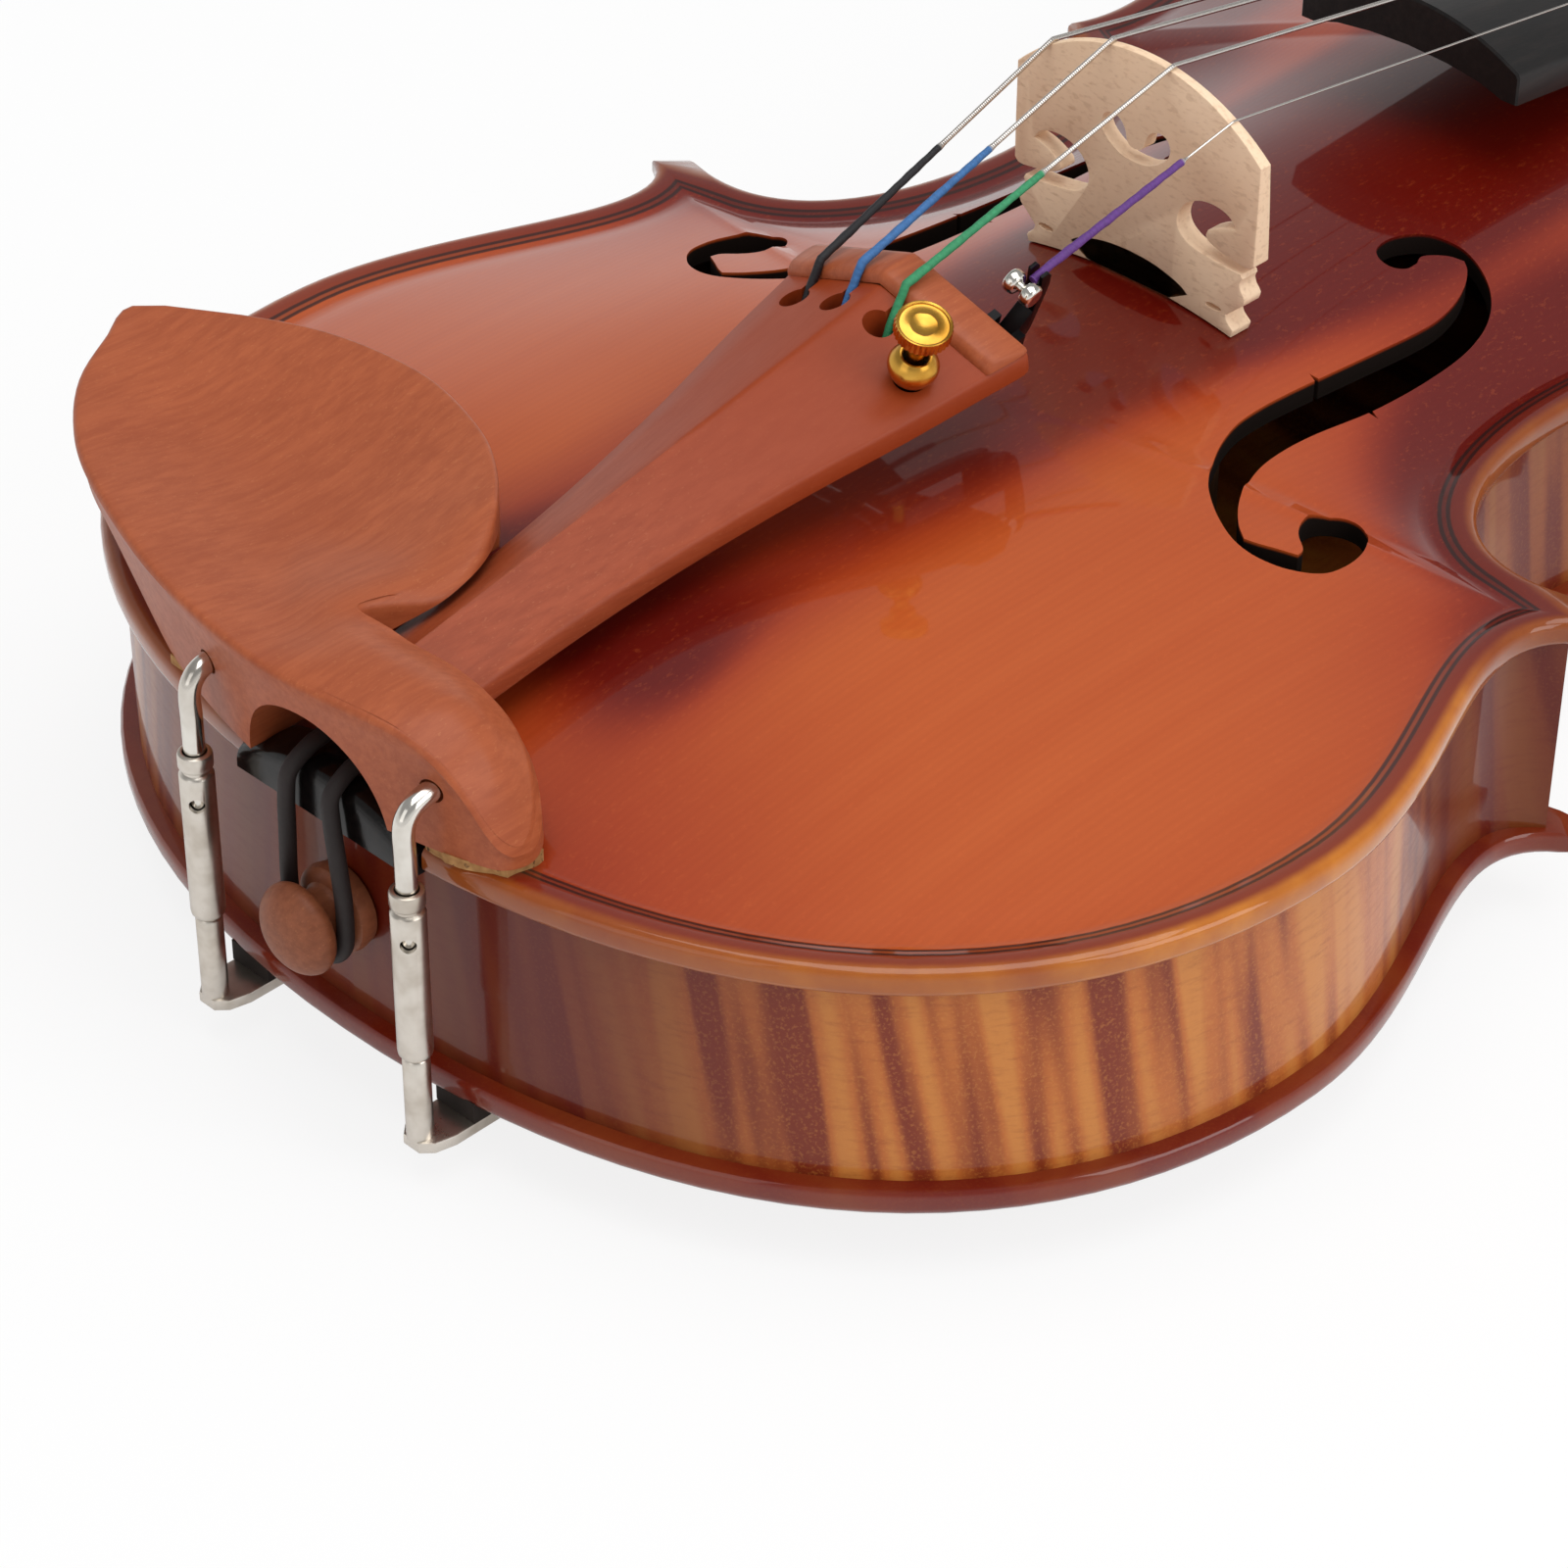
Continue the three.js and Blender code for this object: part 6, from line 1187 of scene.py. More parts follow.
def bridgeOutline():
    y = bridgeSizes["y"] + bridgeSizes["foot"] / 2
    ground = [(x, bellyTopZ(x, y) + bridgeSizes["lift"]) for x in np.linspace(7.6, 19.7, 11)]
    runs = [
        [(0, 67.3), (4, 67.05), (7.2, 66.4), (9.6, 65.6), (10.8, 64.9)],
        [(10.8, 64.9), (9.2, 64.4), (7.6, 63.2)],
        ground,
        [(19.7, ground[-1][1]), (20.1, ground[-1][1] + 1.0), (20.0, 62.5)],
        [(20.0, 62.5), (18.9, 63.5), (18.6, 64.4)],
        [(18.6, 64.4), (20.2, 65.9), (21.6, 67.1)],
        [(21.6, 67.1), (21.9, 68.2), (21.1, 69.4)],
        [(21.1, 69.4), (20.8, 70.4), (21.2, 71.4)],
        [(21.2, 71.4), (20.9, 72.0), (20.3, 72.1)],
        [
            (20.3, 72.1), (17, 72.2), (13.8, 72.6), (11.2, 73.1), (9.4, 74.2), (8.6, 75.6),
            (8.7, 77.2), (9.5, 78.7), (11, 80), (12.9, 80.8), (15.2, 81.0), (17.3, 80.6),
            (18.7, 79.7), (19.3, 78.8)
        ],
        [(19.3, 78.8), (17.6, 78.4), (15.8, 77.6), (14.2, 76.6)],
        [(14.2, 76.6), (14.0, 75.5), (15.5, 74.5), (18.5, 73.8), (21.3, 73.4)],
        [(21.3, 73.4), (22.4, 73.5), (23.1, 74.2)],
        [(23.1, 74.2), (23.2, 80), (23.2, 90.07)]
    ]
    right = []
    for run in runs:
        right += smoothProfile(run, 3 if len(run) > 3 else 2)[:-1]
    half = bridgeSizes["halfWidth"]
    crown = [(x, bridgeTopZ(x)) for x in np.linspace(half, -half, 33)]
    left = [(-x, z) for x, z in right[::-1]]
    return right + crown + left[:-1]


def bridgePlace(x, z, far, depth):
    up = (z - bellyCrown + plate["edge"]) / (bridgeTop - bellyCrown + plate["edge"])
    thick = lerp(bridgeSizes["foot"], bridgeSizes["crest"], up)
    y = bridgeSizes["y"] + (thick - depth if far else depth)
    return at(x, y, z)


def standingPrism(outline, y0, y1):
    bm = bmesh.new()
    loft(bm, [[at(x, y, z) for x, z in outline] for y in (y0, y1)])
    return bm


def makeBridge():
    bm = softSlab(bridgeOutline(), bridgePlace, bridgeSizes["soft"])
    heart = [(0, 82.2), (2.2, 82.4), (4.4, 83.4), (6.1, 84.9), (6.6, 86.5), (6.0, 87.9),
             (4.6, 88.5), (3.0, 88.0), (2.0, 86.7), (1.6, 85.3), (1.0, 84.5), (0, 84.3)]
    right = smoothProfile(heart, 3)
    heartLine = right + [(-x, z) for x, z in right[-2:0:-1]]
    b, front = bridgeSizes, bridgeSizes["y"] - 2
    cutters = [standingPrism(heartLine, front, front + 10)]
    for side in (-1, 1):
        oval = []
        for k in range(20):
            angle = tau * k / 20
            x = side * b["slotX"] + b["slotHalf"] * cos(angle)
            oval.append((x, b["slotZ"] + b["slotTall"] * sin(angle)))
        cutters.append(standingPrism(oval, front, b["y"] + b["slotDepth"]))
    finishPiece(cutAway(bm, cutters), "bridge", bridgeFinish, "body", ["bridge"], 35)


makeBridge()


# Tailpiece and its fret, in the tailpiece's own tilted frame
print("tailpiece")
tail = {
    "length": 107, "y": 6.5, "z": 55.6, "tilt": radians(10.2), "wideHalf": 20.3, "narrowHalf": 8.8,
    "edge": 3.4, "ridge": 7.4, "narrowRidge": 4.6, "shell": 4.4, "holeFromEnd": 15.5, "hole": 4.5,
    "slot": 1.5, "fretWidth": 7.4, "fretHeight": 1.5, "spacing": 8.4, "keyholeY": 94.7,
    "cordX": 3.9, "cordZ": 2.1, "cordHole": 1.5,
}
tailAlongShares = [0, 0.03, 0.1, 0.28, 0.46, 0.64, 0.8, 0.92, 0.985, 1]
tailWidthShares = [0.86, 0.97, 1, 1.06, 1.24, 1.56, 1.94, 2.18, 2.31, 2.29]
holeY = tail["length"] - tail["holeFromEnd"]


def inTail(x, y, z):
    c, s = cos(tail["tilt"]), sin(tail["tilt"])
    return at(x, tail["y"] + y * c - z * s, tail["z"] + y * s + z * c)


def tailHalfWidth(y):
    share = clampTo(0, 1, y / tail["length"])
    scale = tail["wideHalf"] / tail["narrowHalf"] / tailWidthShares[-2]
    wide = alongTable(tailAlongShares, tailWidthShares, share)
    return tail["narrowHalf"] * wide * lerp(1, scale, share)


def tailRidge(y):
    return lerp(tail["narrowRidge"], tail["ridge"], clampTo(0, 1, y / tail["length"]) ** 1.2)


def tailTop(x, y):
    return tail["edge"] + tailRidge(y) * (1 - abs(x) / tailHalfWidth(y))


def tailRing(y, inset=0.0):
    half = tailHalfWidth(y) - inset
    ridge, edge = tailRidge(y), tail["edge"]
    inner = max(half - tail["shell"], half * 0.4)
    hollow = max(0, edge + ridge - tail["shell"] - edge * 0.4)
    slope = ridge / half
    right = [
        (inner, 0), (half - 0.5, 0), (half - 0.12, 0.12), (half, 0.5), (half, edge - 0.6),
        (half - 0.14, edge - 0.18)
    ]
    for x in (half - 0.5, half * 0.7, half * 0.4, 1.1, 0.6):
        right.append((x, edge + (half - x) * slope))
    right[-2] = (1.1, edge + (half - 1.1) * slope - 0.03)
    right[-1] = (0.5, edge + (half - 0.5) * slope - 0.08)
    top = (0, edge + ridge - 0.16)
    left = [(-x, z) for x, z in right[::-1]]
    roof = [(-inner * 0.5, hollow * 0.55), (0, hollow), (inner * 0.5, hollow * 0.55)]
    ring = right + [top] + left + roof
    middle = edge * 0.6
    return [inTail(x, y, z + (inset if z < middle else -inset)) for x, z in ring]


def tailKeyhole(x, radius):
    half = tail["slot"] / 2
    slotEnd = tail["length"] - tail["fretWidth"] - 0.3
    join = asin(half / radius)
    arc = [pi / 2 + join + (tau - 2 * join) * k / 30 for k in range(31)]
    outline = [(x + radius * cos(a), tail["keyholeY"] + radius * sin(a)) for a in arc]
    tip = [(x + half * cos(pi * k / 8), slotEnd - half + half * sin(pi * k / 8)) for k in range(9)]
    outline += tip
    bm = bmesh.new()
    loft(bm, [[inTail(a, b, z) for a, b in outline] for z in (-6, 30)])
    return bm


def makeTailpiece():
    bm = bmesh.new()
    length = tail["length"]
    soft = 0.45
    ys = sorted({
        *np.linspace(0, length * 0.1, 7), *np.linspace(length * 0.1, length * 0.9, 17),
        *np.linspace(length * 0.9, length, 9)
    })
    rings = [tailRing(0, soft), tailRing(soft * 0.3, soft * 0.3), tailRing(soft)]
    rings += [tailRing(y) for y in ys if soft < y < length - soft]
    rings += [
        tailRing(length - soft), tailRing(length - soft * 0.3, soft * 0.3), tailRing(length, soft)
    ]
    loft(bm, rings)
    cutters = [tailKeyhole(x * tail["spacing"], tail["hole"] / 2) for x in (-1.5, -0.5, 0.5)]
    cutters.append(rod(inTuner(0, 0, -14), inTuner(0, 0, 11), 2.5, sides=32))
    for side in (-1, 1):
        x, z = side * tail["cordX"], tail["cordZ"]
        cutters.append(rod(inTail(x, -4, z), inTail(x, 12.3, z), tail["cordHole"]))
    finishPiece(cutAway(bm, cutters), "tailpiece", tailWood, "body", ["tailpiece"], 34)


def makeFret():
    bm = bmesh.new()
    rings = []
    steps = [
        (0, 0.06), (0.05, 0.55), (0.12, 0.88), (0.2, 1), (0.34, 0.97), (0.6, 0.78), (0.85, 0.55),
        (0.96, 0.4), (1, 0.1)
    ]
    for along, tall in steps:
        y = tail["length"] - tail["fretWidth"] * (1 - along)
        half = tailHalfWidth(y) - (0.35 if along in (0, 1) else 0.05)
        low, high = 0.15, 0.15 + tail["fretHeight"] * tall
        edge, ridge = tail["edge"], tailRidge(y)
        xs = [half, half * 0.75, half * 0.5, half * 0.25, 0.8, 0]
        over = [(x, edge + ridge * (1 - x / half) + high - (0.1 if x == 0 else 0)) for x in xs]
        over[0] = (half - 0.25, over[0][1] + ridge * 0.25 / half - 0.02)
        side = [(half, edge + low), (half, edge + max(low + 0.02, high - 0.3))]
        below = [
            (x, edge + ridge * (1 - abs(x) / half) + low) for x in (-half * 0.5, 0, half * 0.5)
        ]
        right = side + over
        ring = right + [(-x, z) for x, z in right[-2::-1]] + below
        rings.append([inTail(x, y, z) for x, z in ring])
    loft(bm, rings)
    finishPiece(bm, "tailpieceFret", boxwood, "body", ["tailpiece_fret"], 50, 0.001)


# Fine tuner, in the frame that stands on the tailpiece's treble slope
tuner = {
    "across": 12.6, "collar": 7.2, "collarHeight": 5.2, "stem": 2.6, "head": 8.1,
    "headHeight": 3.6, "headGap": 3.4, "pinAhead": 19.5, "floor": -6, "armDrop": 6.6, "arm": 1.6,
    "hookRise": 12.6, "hookAhead": 6.6, "pinZ": -9.6, "hub": 1.9, "width": 6, "metal": 1.4,
    "knurls": 34, "knurlDepth": 0.05, "ball": 3.6
}


def inTuner(x, y, z):
    lean = atan2(tailRidge(holeY), tailHalfWidth(holeY))
    c, s = cos(lean), sin(lean)
    top = tailTop(tuner["across"], holeY)
    return inTail(tuner["across"] + x * c + z * s, holeY + y, top - x * s + z * c)


def tunerAxis():
    return (inTuner(0, 0, 10) - inTuner(0, 0, 0)).normalized()


# The knurled head's section from its neck up: shares of its radius and its height
tunerHeadShares = [
    (0.5, -0.3), (0.54, -0.24), (0.56, 0.16), (0.66, 0.28), (0.92, 0.36), (1, 0.44), (1, 0.6),
    (1, 0.9), (0.96, 0.98), (0.92, 1), (0.86, 0.97), (0.84, 0.91), (0.5, 0.9), (0.47, 0.92),
    (0.44, 0.9), (0, 0.9)
]


def makeTuner():
    r, h = tuner["collar"] / 2, tuner["collarHeight"]
    inner, base = tuner["stem"] / 2 + 0.5, 0.3
    bulge = smoothProfile([
        (r * 0.58, base), (r * 0.66, base + 0.15), (r * 0.86, base + h * 0.18),
        (r, base + h * 0.44), (r * 0.98, base + h * 0.62), (r * 0.8, base + h * 0.82),
        (r * 0.62, h)
    ])
    bm = bmesh.new()
    turned(
        bm, [(inner, base), *bulge, (inner + 0.2, h), (inner, h - 0.2), (inner, base)], 64,
        inTuner(0, 0, 0), tunerAxis()
    )
    finishPiece(bm, "tunerCollar", gold, "body", ["tuner_collar"], 35, 0.001)
    low = h + tuner["headGap"]
    hr, hh = tuner["head"] / 2, tuner["headHeight"]
    bore = tuner["stem"] / 2 + 0.2
    profile = [(bore, low - hh * 0.3), *((hr * a, low + hh * b) for a, b in tunerHeadShares)]
    inside = [(0, low + hh * 0.4 + 0.2), (bore, low + hh * 0.4 + 0.2), (bore, low - hh * 0.3)]
    bm = bmesh.new()
    steps = tuner["knurls"] * 4
    turned(bm, [*profile, *inside], steps)
    for vert in bm.verts:
        radius = hypot(vert.co.x, vert.co.y) / mm
        if radius > hr * 0.9 and low + hh * 0.3 < vert.co.z / mm < low + hh * 0.97:
            angle = atan2(vert.co.y, vert.co.x)
            scale = 1 - tuner["knurlDepth"] * (1 + cos(angle * tuner["knurls"])) / 2
            vert.co.x *= scale
            vert.co.y *= scale
    place = Matrix.Translation(inTuner(0, 0, 0)) @ turnTo(tunerAxis())
    bmesh.ops.transform(bm, matrix=place, verts=bm.verts)
    finishPiece(bm, "tunerHead", gold, "tuner_head", ["tuner_screw_head"], 40, 0.0005)
    bm = bmesh.new()
    addRod(
        bm, inTuner(0, 0, -10.4), inTuner(0, 0, low + hh * 0.35), tuner["stem"] / 2 - 0.02,
        sides=32
    )
    finishPiece(bm, "tunerStem", gold, "tuner_stem", ["tuner_screw_stem"], 50)
    makeLever()


def makeLever():
    t = tuner
    half = t["width"] / 2 - t["metal"] - 0.2
    armTop = t["floor"] - t["armDrop"] + t["arm"]
    armLow = t["floor"] - t["armDrop"]
    hub, pinY, pinZ = t["hub"], t["pinAhead"], t["pinZ"]
    tip, prongTop = pinY + t["hookAhead"], pinZ + t["hookRise"]
    m = t["arm"]
    outline = [
        (-t["stem"], armLow), (pinY - hub * 2, armLow), (pinY - hub, armLow + 0.1),
        (pinY + hub * 0.4, pinZ - hub * 1.02), (pinY + hub * 0.8, pinZ - hub),
        (tip - m * 0.9, pinZ - hub * 0.3), (tip - m * 0.4, pinZ + hub * 0.4),
        (tip + m * 0.3, lerp(pinZ, prongTop, 0.5)), (tip + m * 0.6, prongTop - m * 2),
        (tip + m * 0.45, prongTop - m * 0.6), (tip, prongTop), (tip - m * 0.9, prongTop),
        (tip - m * 0.8, prongTop - m * 0.8), (tip - m * 0.6, prongTop - m * 2),
        (tip - m * 0.9, lerp(pinZ, prongTop, 0.4)), (pinY + hub * 0.9, pinZ + hub),
        (pinY, pinZ + hub * 0.98), (pinY - hub, pinZ + hub * 0.6), (pinY - hub * 1.6, armTop),
        (-t["stem"], armTop)
    ]

    def place(y, z, far, depth):
        return inTuner(half - depth if far else depth - half, y, z)

    bm = softSlab(outline, place, 0.18)
    slit = bmesh.new()
    loft(
        slit,
        [
            [
                inTuner(x, y, z)
                for x, y in (
                    (-0.85, tip - m * 2), (0.85, tip - m * 2), (0.85, tip + 8), (-0.85, tip + 8)
                )
            ]
            for z in (prongTop - 3.9, prongTop + 5)
        ]
    )
    pin = rod(inTuner(-9, pinY, pinZ), inTuner(9, pinY, pinZ), 1.2)
    finishPiece(
        cutAway(bm, [slit, pin]), "tunerLever", blackMetal, "tuner_lever", ["tuner_lever"], 35,
        0.001
    )
    ballY, ballZ = tip - m - t["ball"] / 2 - 0.3, prongTop - 1.3 * 1.3
    reach, r = t["ball"] * 0.7, t["ball"] / 2
    end = [(0, 1), (0.7, 1), (0.95, 0.86), (1, 0.6), (0.9, 0.3), (0.5, 0.14)]
    shares = [(a, -b) for a, b in end] + [(0.42, 0)] + end[::-1]
    profile = [(r * a, reach * b) for a, b in shares]
    bm = bmesh.new()
    across = (inTuner(1, 0, 0) - inTuner(0, 0, 0)).normalized()
    turned(bm, smoothProfile(profile, 3), 40, inTuner(0, ballY, ballZ), across)
    finishPiece(bm, "stringEBall", polished, "tuner_lever", ["string_e_ball"], 50, 0.001)


makeTailpiece()
makeFret()
makeTuner()


# Saddle, end button and tail cord
print("saddle, button and tail cord")
saddle = {"width": 34.6, "front": 0.9, "depth": 7, "top": 7.6, "shoulder": 3.2, "endDrop": 0.5}
button = {
    "head": 6.7, "neck": 4, "collar": 6.5, "shaft": 3.8, "z": bellyPlane - rib["height"] / 2 + 1
}
tailCord = {"thick": 1.2, "x": 5.5, "y": -2.5}


def makeSaddle():
    bm = bmesh.new()
    low, top, side = bellyPlane, bellyPlane + saddle["top"], bellyEdgeTop - saddle["endDrop"]
    front, depth, drop = -saddle["front"], saddle["depth"], saddle["shoulder"]
    rings = []
    for k in range(-16, 17):
        share = k / 16
        crown = lerp(top, side, abs(share) ** 2.2)
        squeeze = 0.35 * abs(share) ** 6
        over = [
            (depth, crown - drop * 0.3), (depth * 0.85, crown - drop * 0.08),
            (depth * 0.45, crown), (depth * 0.18, crown - drop * 0.05), (0, crown - drop * 0.18),
            (front * 0.7, crown - drop * 0.42), (front, crown - drop * 0.7)
        ]
        ring = [(front, low), (depth, low), *smoothProfile(over, 3)]
        rings.append([
            at(share * saddle["width"] / 2, lerp(y, 3, squeeze * 0.2), z - squeeze)
            for y, z in ring
        ])
    loft(bm, rings)
    finishPiece(bm, "saddle", polishedEbony, "body", ["saddle"], 45, 0.001)


def makeButton():
    tip, neckFront, collarFront, collarBack, end = -9.6, -4.2, -0.8, 2.4, 19.4
    head, neck, collar = button["head"], button["neck"], button["collar"]
    dome = smoothProfile(
        [
            (0, tip), (head * 0.3, tip + 0.12), (head * 0.62, tip + 0.75),
            (head * 0.88, tip + 2.0), (head, tip + 3.6), (head * 0.93, neckFront - 0.5),
            (head * 0.78, neckFront)
        ],
        4
    )
    groove = smoothProfile(
        [
            (neck * 1.1, neckFront + 0.3), (neck, neckFront + 1.1), (neck, collarFront - 0.9),
            (neck * 1.1, collarFront - 0.2)
        ],
        3
    )
    rest = [
        (collar * 0.86, collarFront), (collar * 0.97, collarFront + 0.5),
        (collar, collarFront + 1.6), (collar * 0.94, collarBack), (button["shaft"], collarBack),
        (button["shaft"] - 0.5, end), (0, end)
    ]
    bm = bmesh.new()
    turned(bm, [*dome, *groove, *rest], 64, at(0, 0, button["z"]), (0, 1, 0))
    finishPiece(bm, "endButton", buttonWood, "body", ["end_button"], 40, 0.001)


def makeTailCord():
    # Out of the tailpiece, over the saddle and down round the button
    x, y, z = tailCord["x"], tailCord["y"], button["z"]
    half = [inTail(tail["cordX"], ahead, tail["cordZ"]) for ahead in (12, 6, 0)]
    half += [
        at(3.9, 3.85, 55.9), at(3.9, 0.9, 55.2), at(4.1, -2.3, 53), at(4.5, -2.8, 49.3),
        at(5.0, -2.65, 43), at(x, y, 36.7), at(x, y, 31.2)
    ]
    angles = [pi * k / 8 for k in range(1, 8)]
    under = [at(x * cos(angle), y, z - x * sin(angle)) for angle in angles]
    other = [Vector((-p.x, p.y, p.z)) for p in half[::-1]]
    bm = bmesh.new()
    tube(bm, curveThrough([*half, *under, *other], 5), tailCord["thick"], 16)
    finishPiece(bm, "tailCord", cordFinish, "body", ["tail_cord"], 60, 0.001)


makeSaddle()
makeButton()
makeTailCord()


# Neck, fingerboard, nut, pegbox and scroll
print("neck and scroll")
neck = {
    "overstand": 5, "slope": 0.113, "boardSlope": 0.1308, "nutWidth": 24, "heelWidth": 31,
    "heelRun": 26, "atHeel": 14, "atNut": 12, "root": 6, "heelFullness": 0.62, "fullness": 0.92
}
board = {
    "length": 266, "endWidth": 42, "edge": 5, "radius": 42, "scoop": 2.6, "scoopLength": 128,
    "soft": 0.4, "nutLift": 0.9
}
pegbox = {
    "length": 66, "wall": 3.9, "floor": 5, "depth": 24, "throat": 17, "throatWidth": 14,
    "back": 6.5
}
scroll = {
    "radius": 21.2, "eye": 4.6, "half": 6.2, "eyeHalf": 20.5, "turns": 2.25, "flute": 1.5,
    "start": radians(38), "perTurn": 40, "ahead": 14
}
nutY = body["length"] + 130
pegboxStart = nutY + 6
pegboxEnd = pegboxStart + pegbox["length"]


def gluingZ(y):
    # The board's line is steeper than the pegbox's, which goes on from the nut.
    atNut = bellyEdgeTop + neck["overstand"] - (nutY - body["length"]) * neck["slope"]
    return atNut + (nutY - y) * (neck["boardSlope"] if y < nutY else neck["slope"])


def boardWidth(y):
    return lerp(neck["nutWidth"], board["endWidth"], (nutY - y) / board["length"])


def boardCrown(y, x):
    half, r = boardWidth(y) / 2, board["radius"]
    return gluingZ(y) + board["edge"] + sqrt(r * r - x * x) - sqrt(r * r - half * half)


def neckSection(y, half, depth, fullness):
    ring = []
    for k in range(41):
        c, s = cos(pi * k / 40), sin(pi * k / 40)
        across = copysign(abs(c) ** fullness, c)
        ring.append(at(half * across, y, gluingZ(y) - depth * s ** fullness))
    return ring


def pegboxTopZ(y):
    past = max(0, (y - pegboxStart) / pegbox["length"])
    return gluingZ(y) + pegbox["back"] * past * past


def pegboxWidth(y):
    return lerp(
        neck["nutWidth"], pegbox["throatWidth"],
        clampTo(0, 1, (y - nutY) / (pegboxEnd - nutY)) ** 1.2
    )


def pegboxDepth(y):
    along = clampTo(0, 1, (y - nutY) / (pegboxEnd - nutY))
    chin = 1 - (1 - min(1, along * 6)) ** 2
    return lerp(neck["atNut"], lerp(pegbox["depth"], pegbox["throat"], along ** 1.3), chin)


def pegboxRing(y, shift=0.0, drop=None, narrow=1.0):
    half, top, depth = pegboxWidth(y) / 2 * narrow, pegboxTopZ(y), pegboxDepth(y)
    soft = 0.5
    side = [
        (half - soft, top), (half - soft * 0.25, top - soft * 0.25), (half, top - soft),
        (half, top - depth * 0.5)
    ]
    turnIn = half * 0.35
    for k in range(9):
        angle = pi / 2 * k / 8
        side.append((
            half - turnIn * (1 - cos(angle)), top - depth * 0.72 - depth * 0.28 * sin(angle)
        ))
    ring = side + [(-x, z) for x, z in side[::-1]]
    if drop is not None:
        ring = [(x, min(z, top - drop)) for x, z in ring]
    return [at(x, y + shift, z) for x, z in ring]


def scrollPoint(turn, radius, x):
    angle = -pi / 2 - scroll["start"] + tau * turn
    centreZ = pegboxTopZ(pegboxEnd) - pegbox["throat"] + scroll["radius"] + 1
    return at(x, pegboxEnd + scroll["ahead"] + radius * cos(angle), centreZ + radius * sin(angle))


def scrollRadius(turn):
    return scroll["radius"] * (scroll["eye"] / scroll["radius"]) ** (turn / scroll["turns"])


def scrollHalf(turn):
    return lerp(scroll["half"], scroll["eyeHalf"], clampTo(0, 1, turn / scroll["turns"]) ** 1.45)


def makeScroll(bm):
    n = scroll["perTurn"]
    last = ceil(scroll["turns"] * n)
    row = [1, 0.97, 0.86, 0.7, 0.5, 0.32, 0.18, 0.08, 0]
    shares = row + [-s for s in row[-2::-1]]
    rows = []
    for k in range(n + 1):
        turn = k / n
        points = []
        for share in shares:
            groove = sin(pi * clampTo(0, 1, (abs(share) - 0.08) / 0.89)) ** 0.8
            points.append(
                scrollPoint(
                    turn, scrollRadius(turn) - scroll["flute"] * groove, share * scrollHalf(turn)
                )
            )
        rows.append(chain(bm, points, False))
    bridge(bm, rows)
    for side in (1, -1):
        top, foot = (
            [
                scrollPoint(k / n, scrollRadius(k / n), side * scrollHalf(k / n - back))
                for k in range(back * n, last + 1)
            ]
            for back in (0, 1)
        )
        upper, end = top[:last - n + 1], top[last - n:]
        middle = [a.lerp(b, 0.5) - sideways(side * 0.5) for a, b in zip(upper, foot)]
        centre = scrollPoint(0, 0, side * scrollHalf(scroll["turns"]))
        eye = [[p.lerp(centre, share) for p in end] for share in (0.5, 0.98)]
        for lines in ((foot, top[n:]), (upper, middle, foot), (end, *eye)):
            bridge(bm, [chain(bm, line, False) for line in lines])
    bmesh.ops.remove_doubles(bm, verts=bm.verts, dist=0.01 * mm)
    bmesh.ops.holes_fill(bm, edges=[e for e in bm.edges if e.is_boundary])


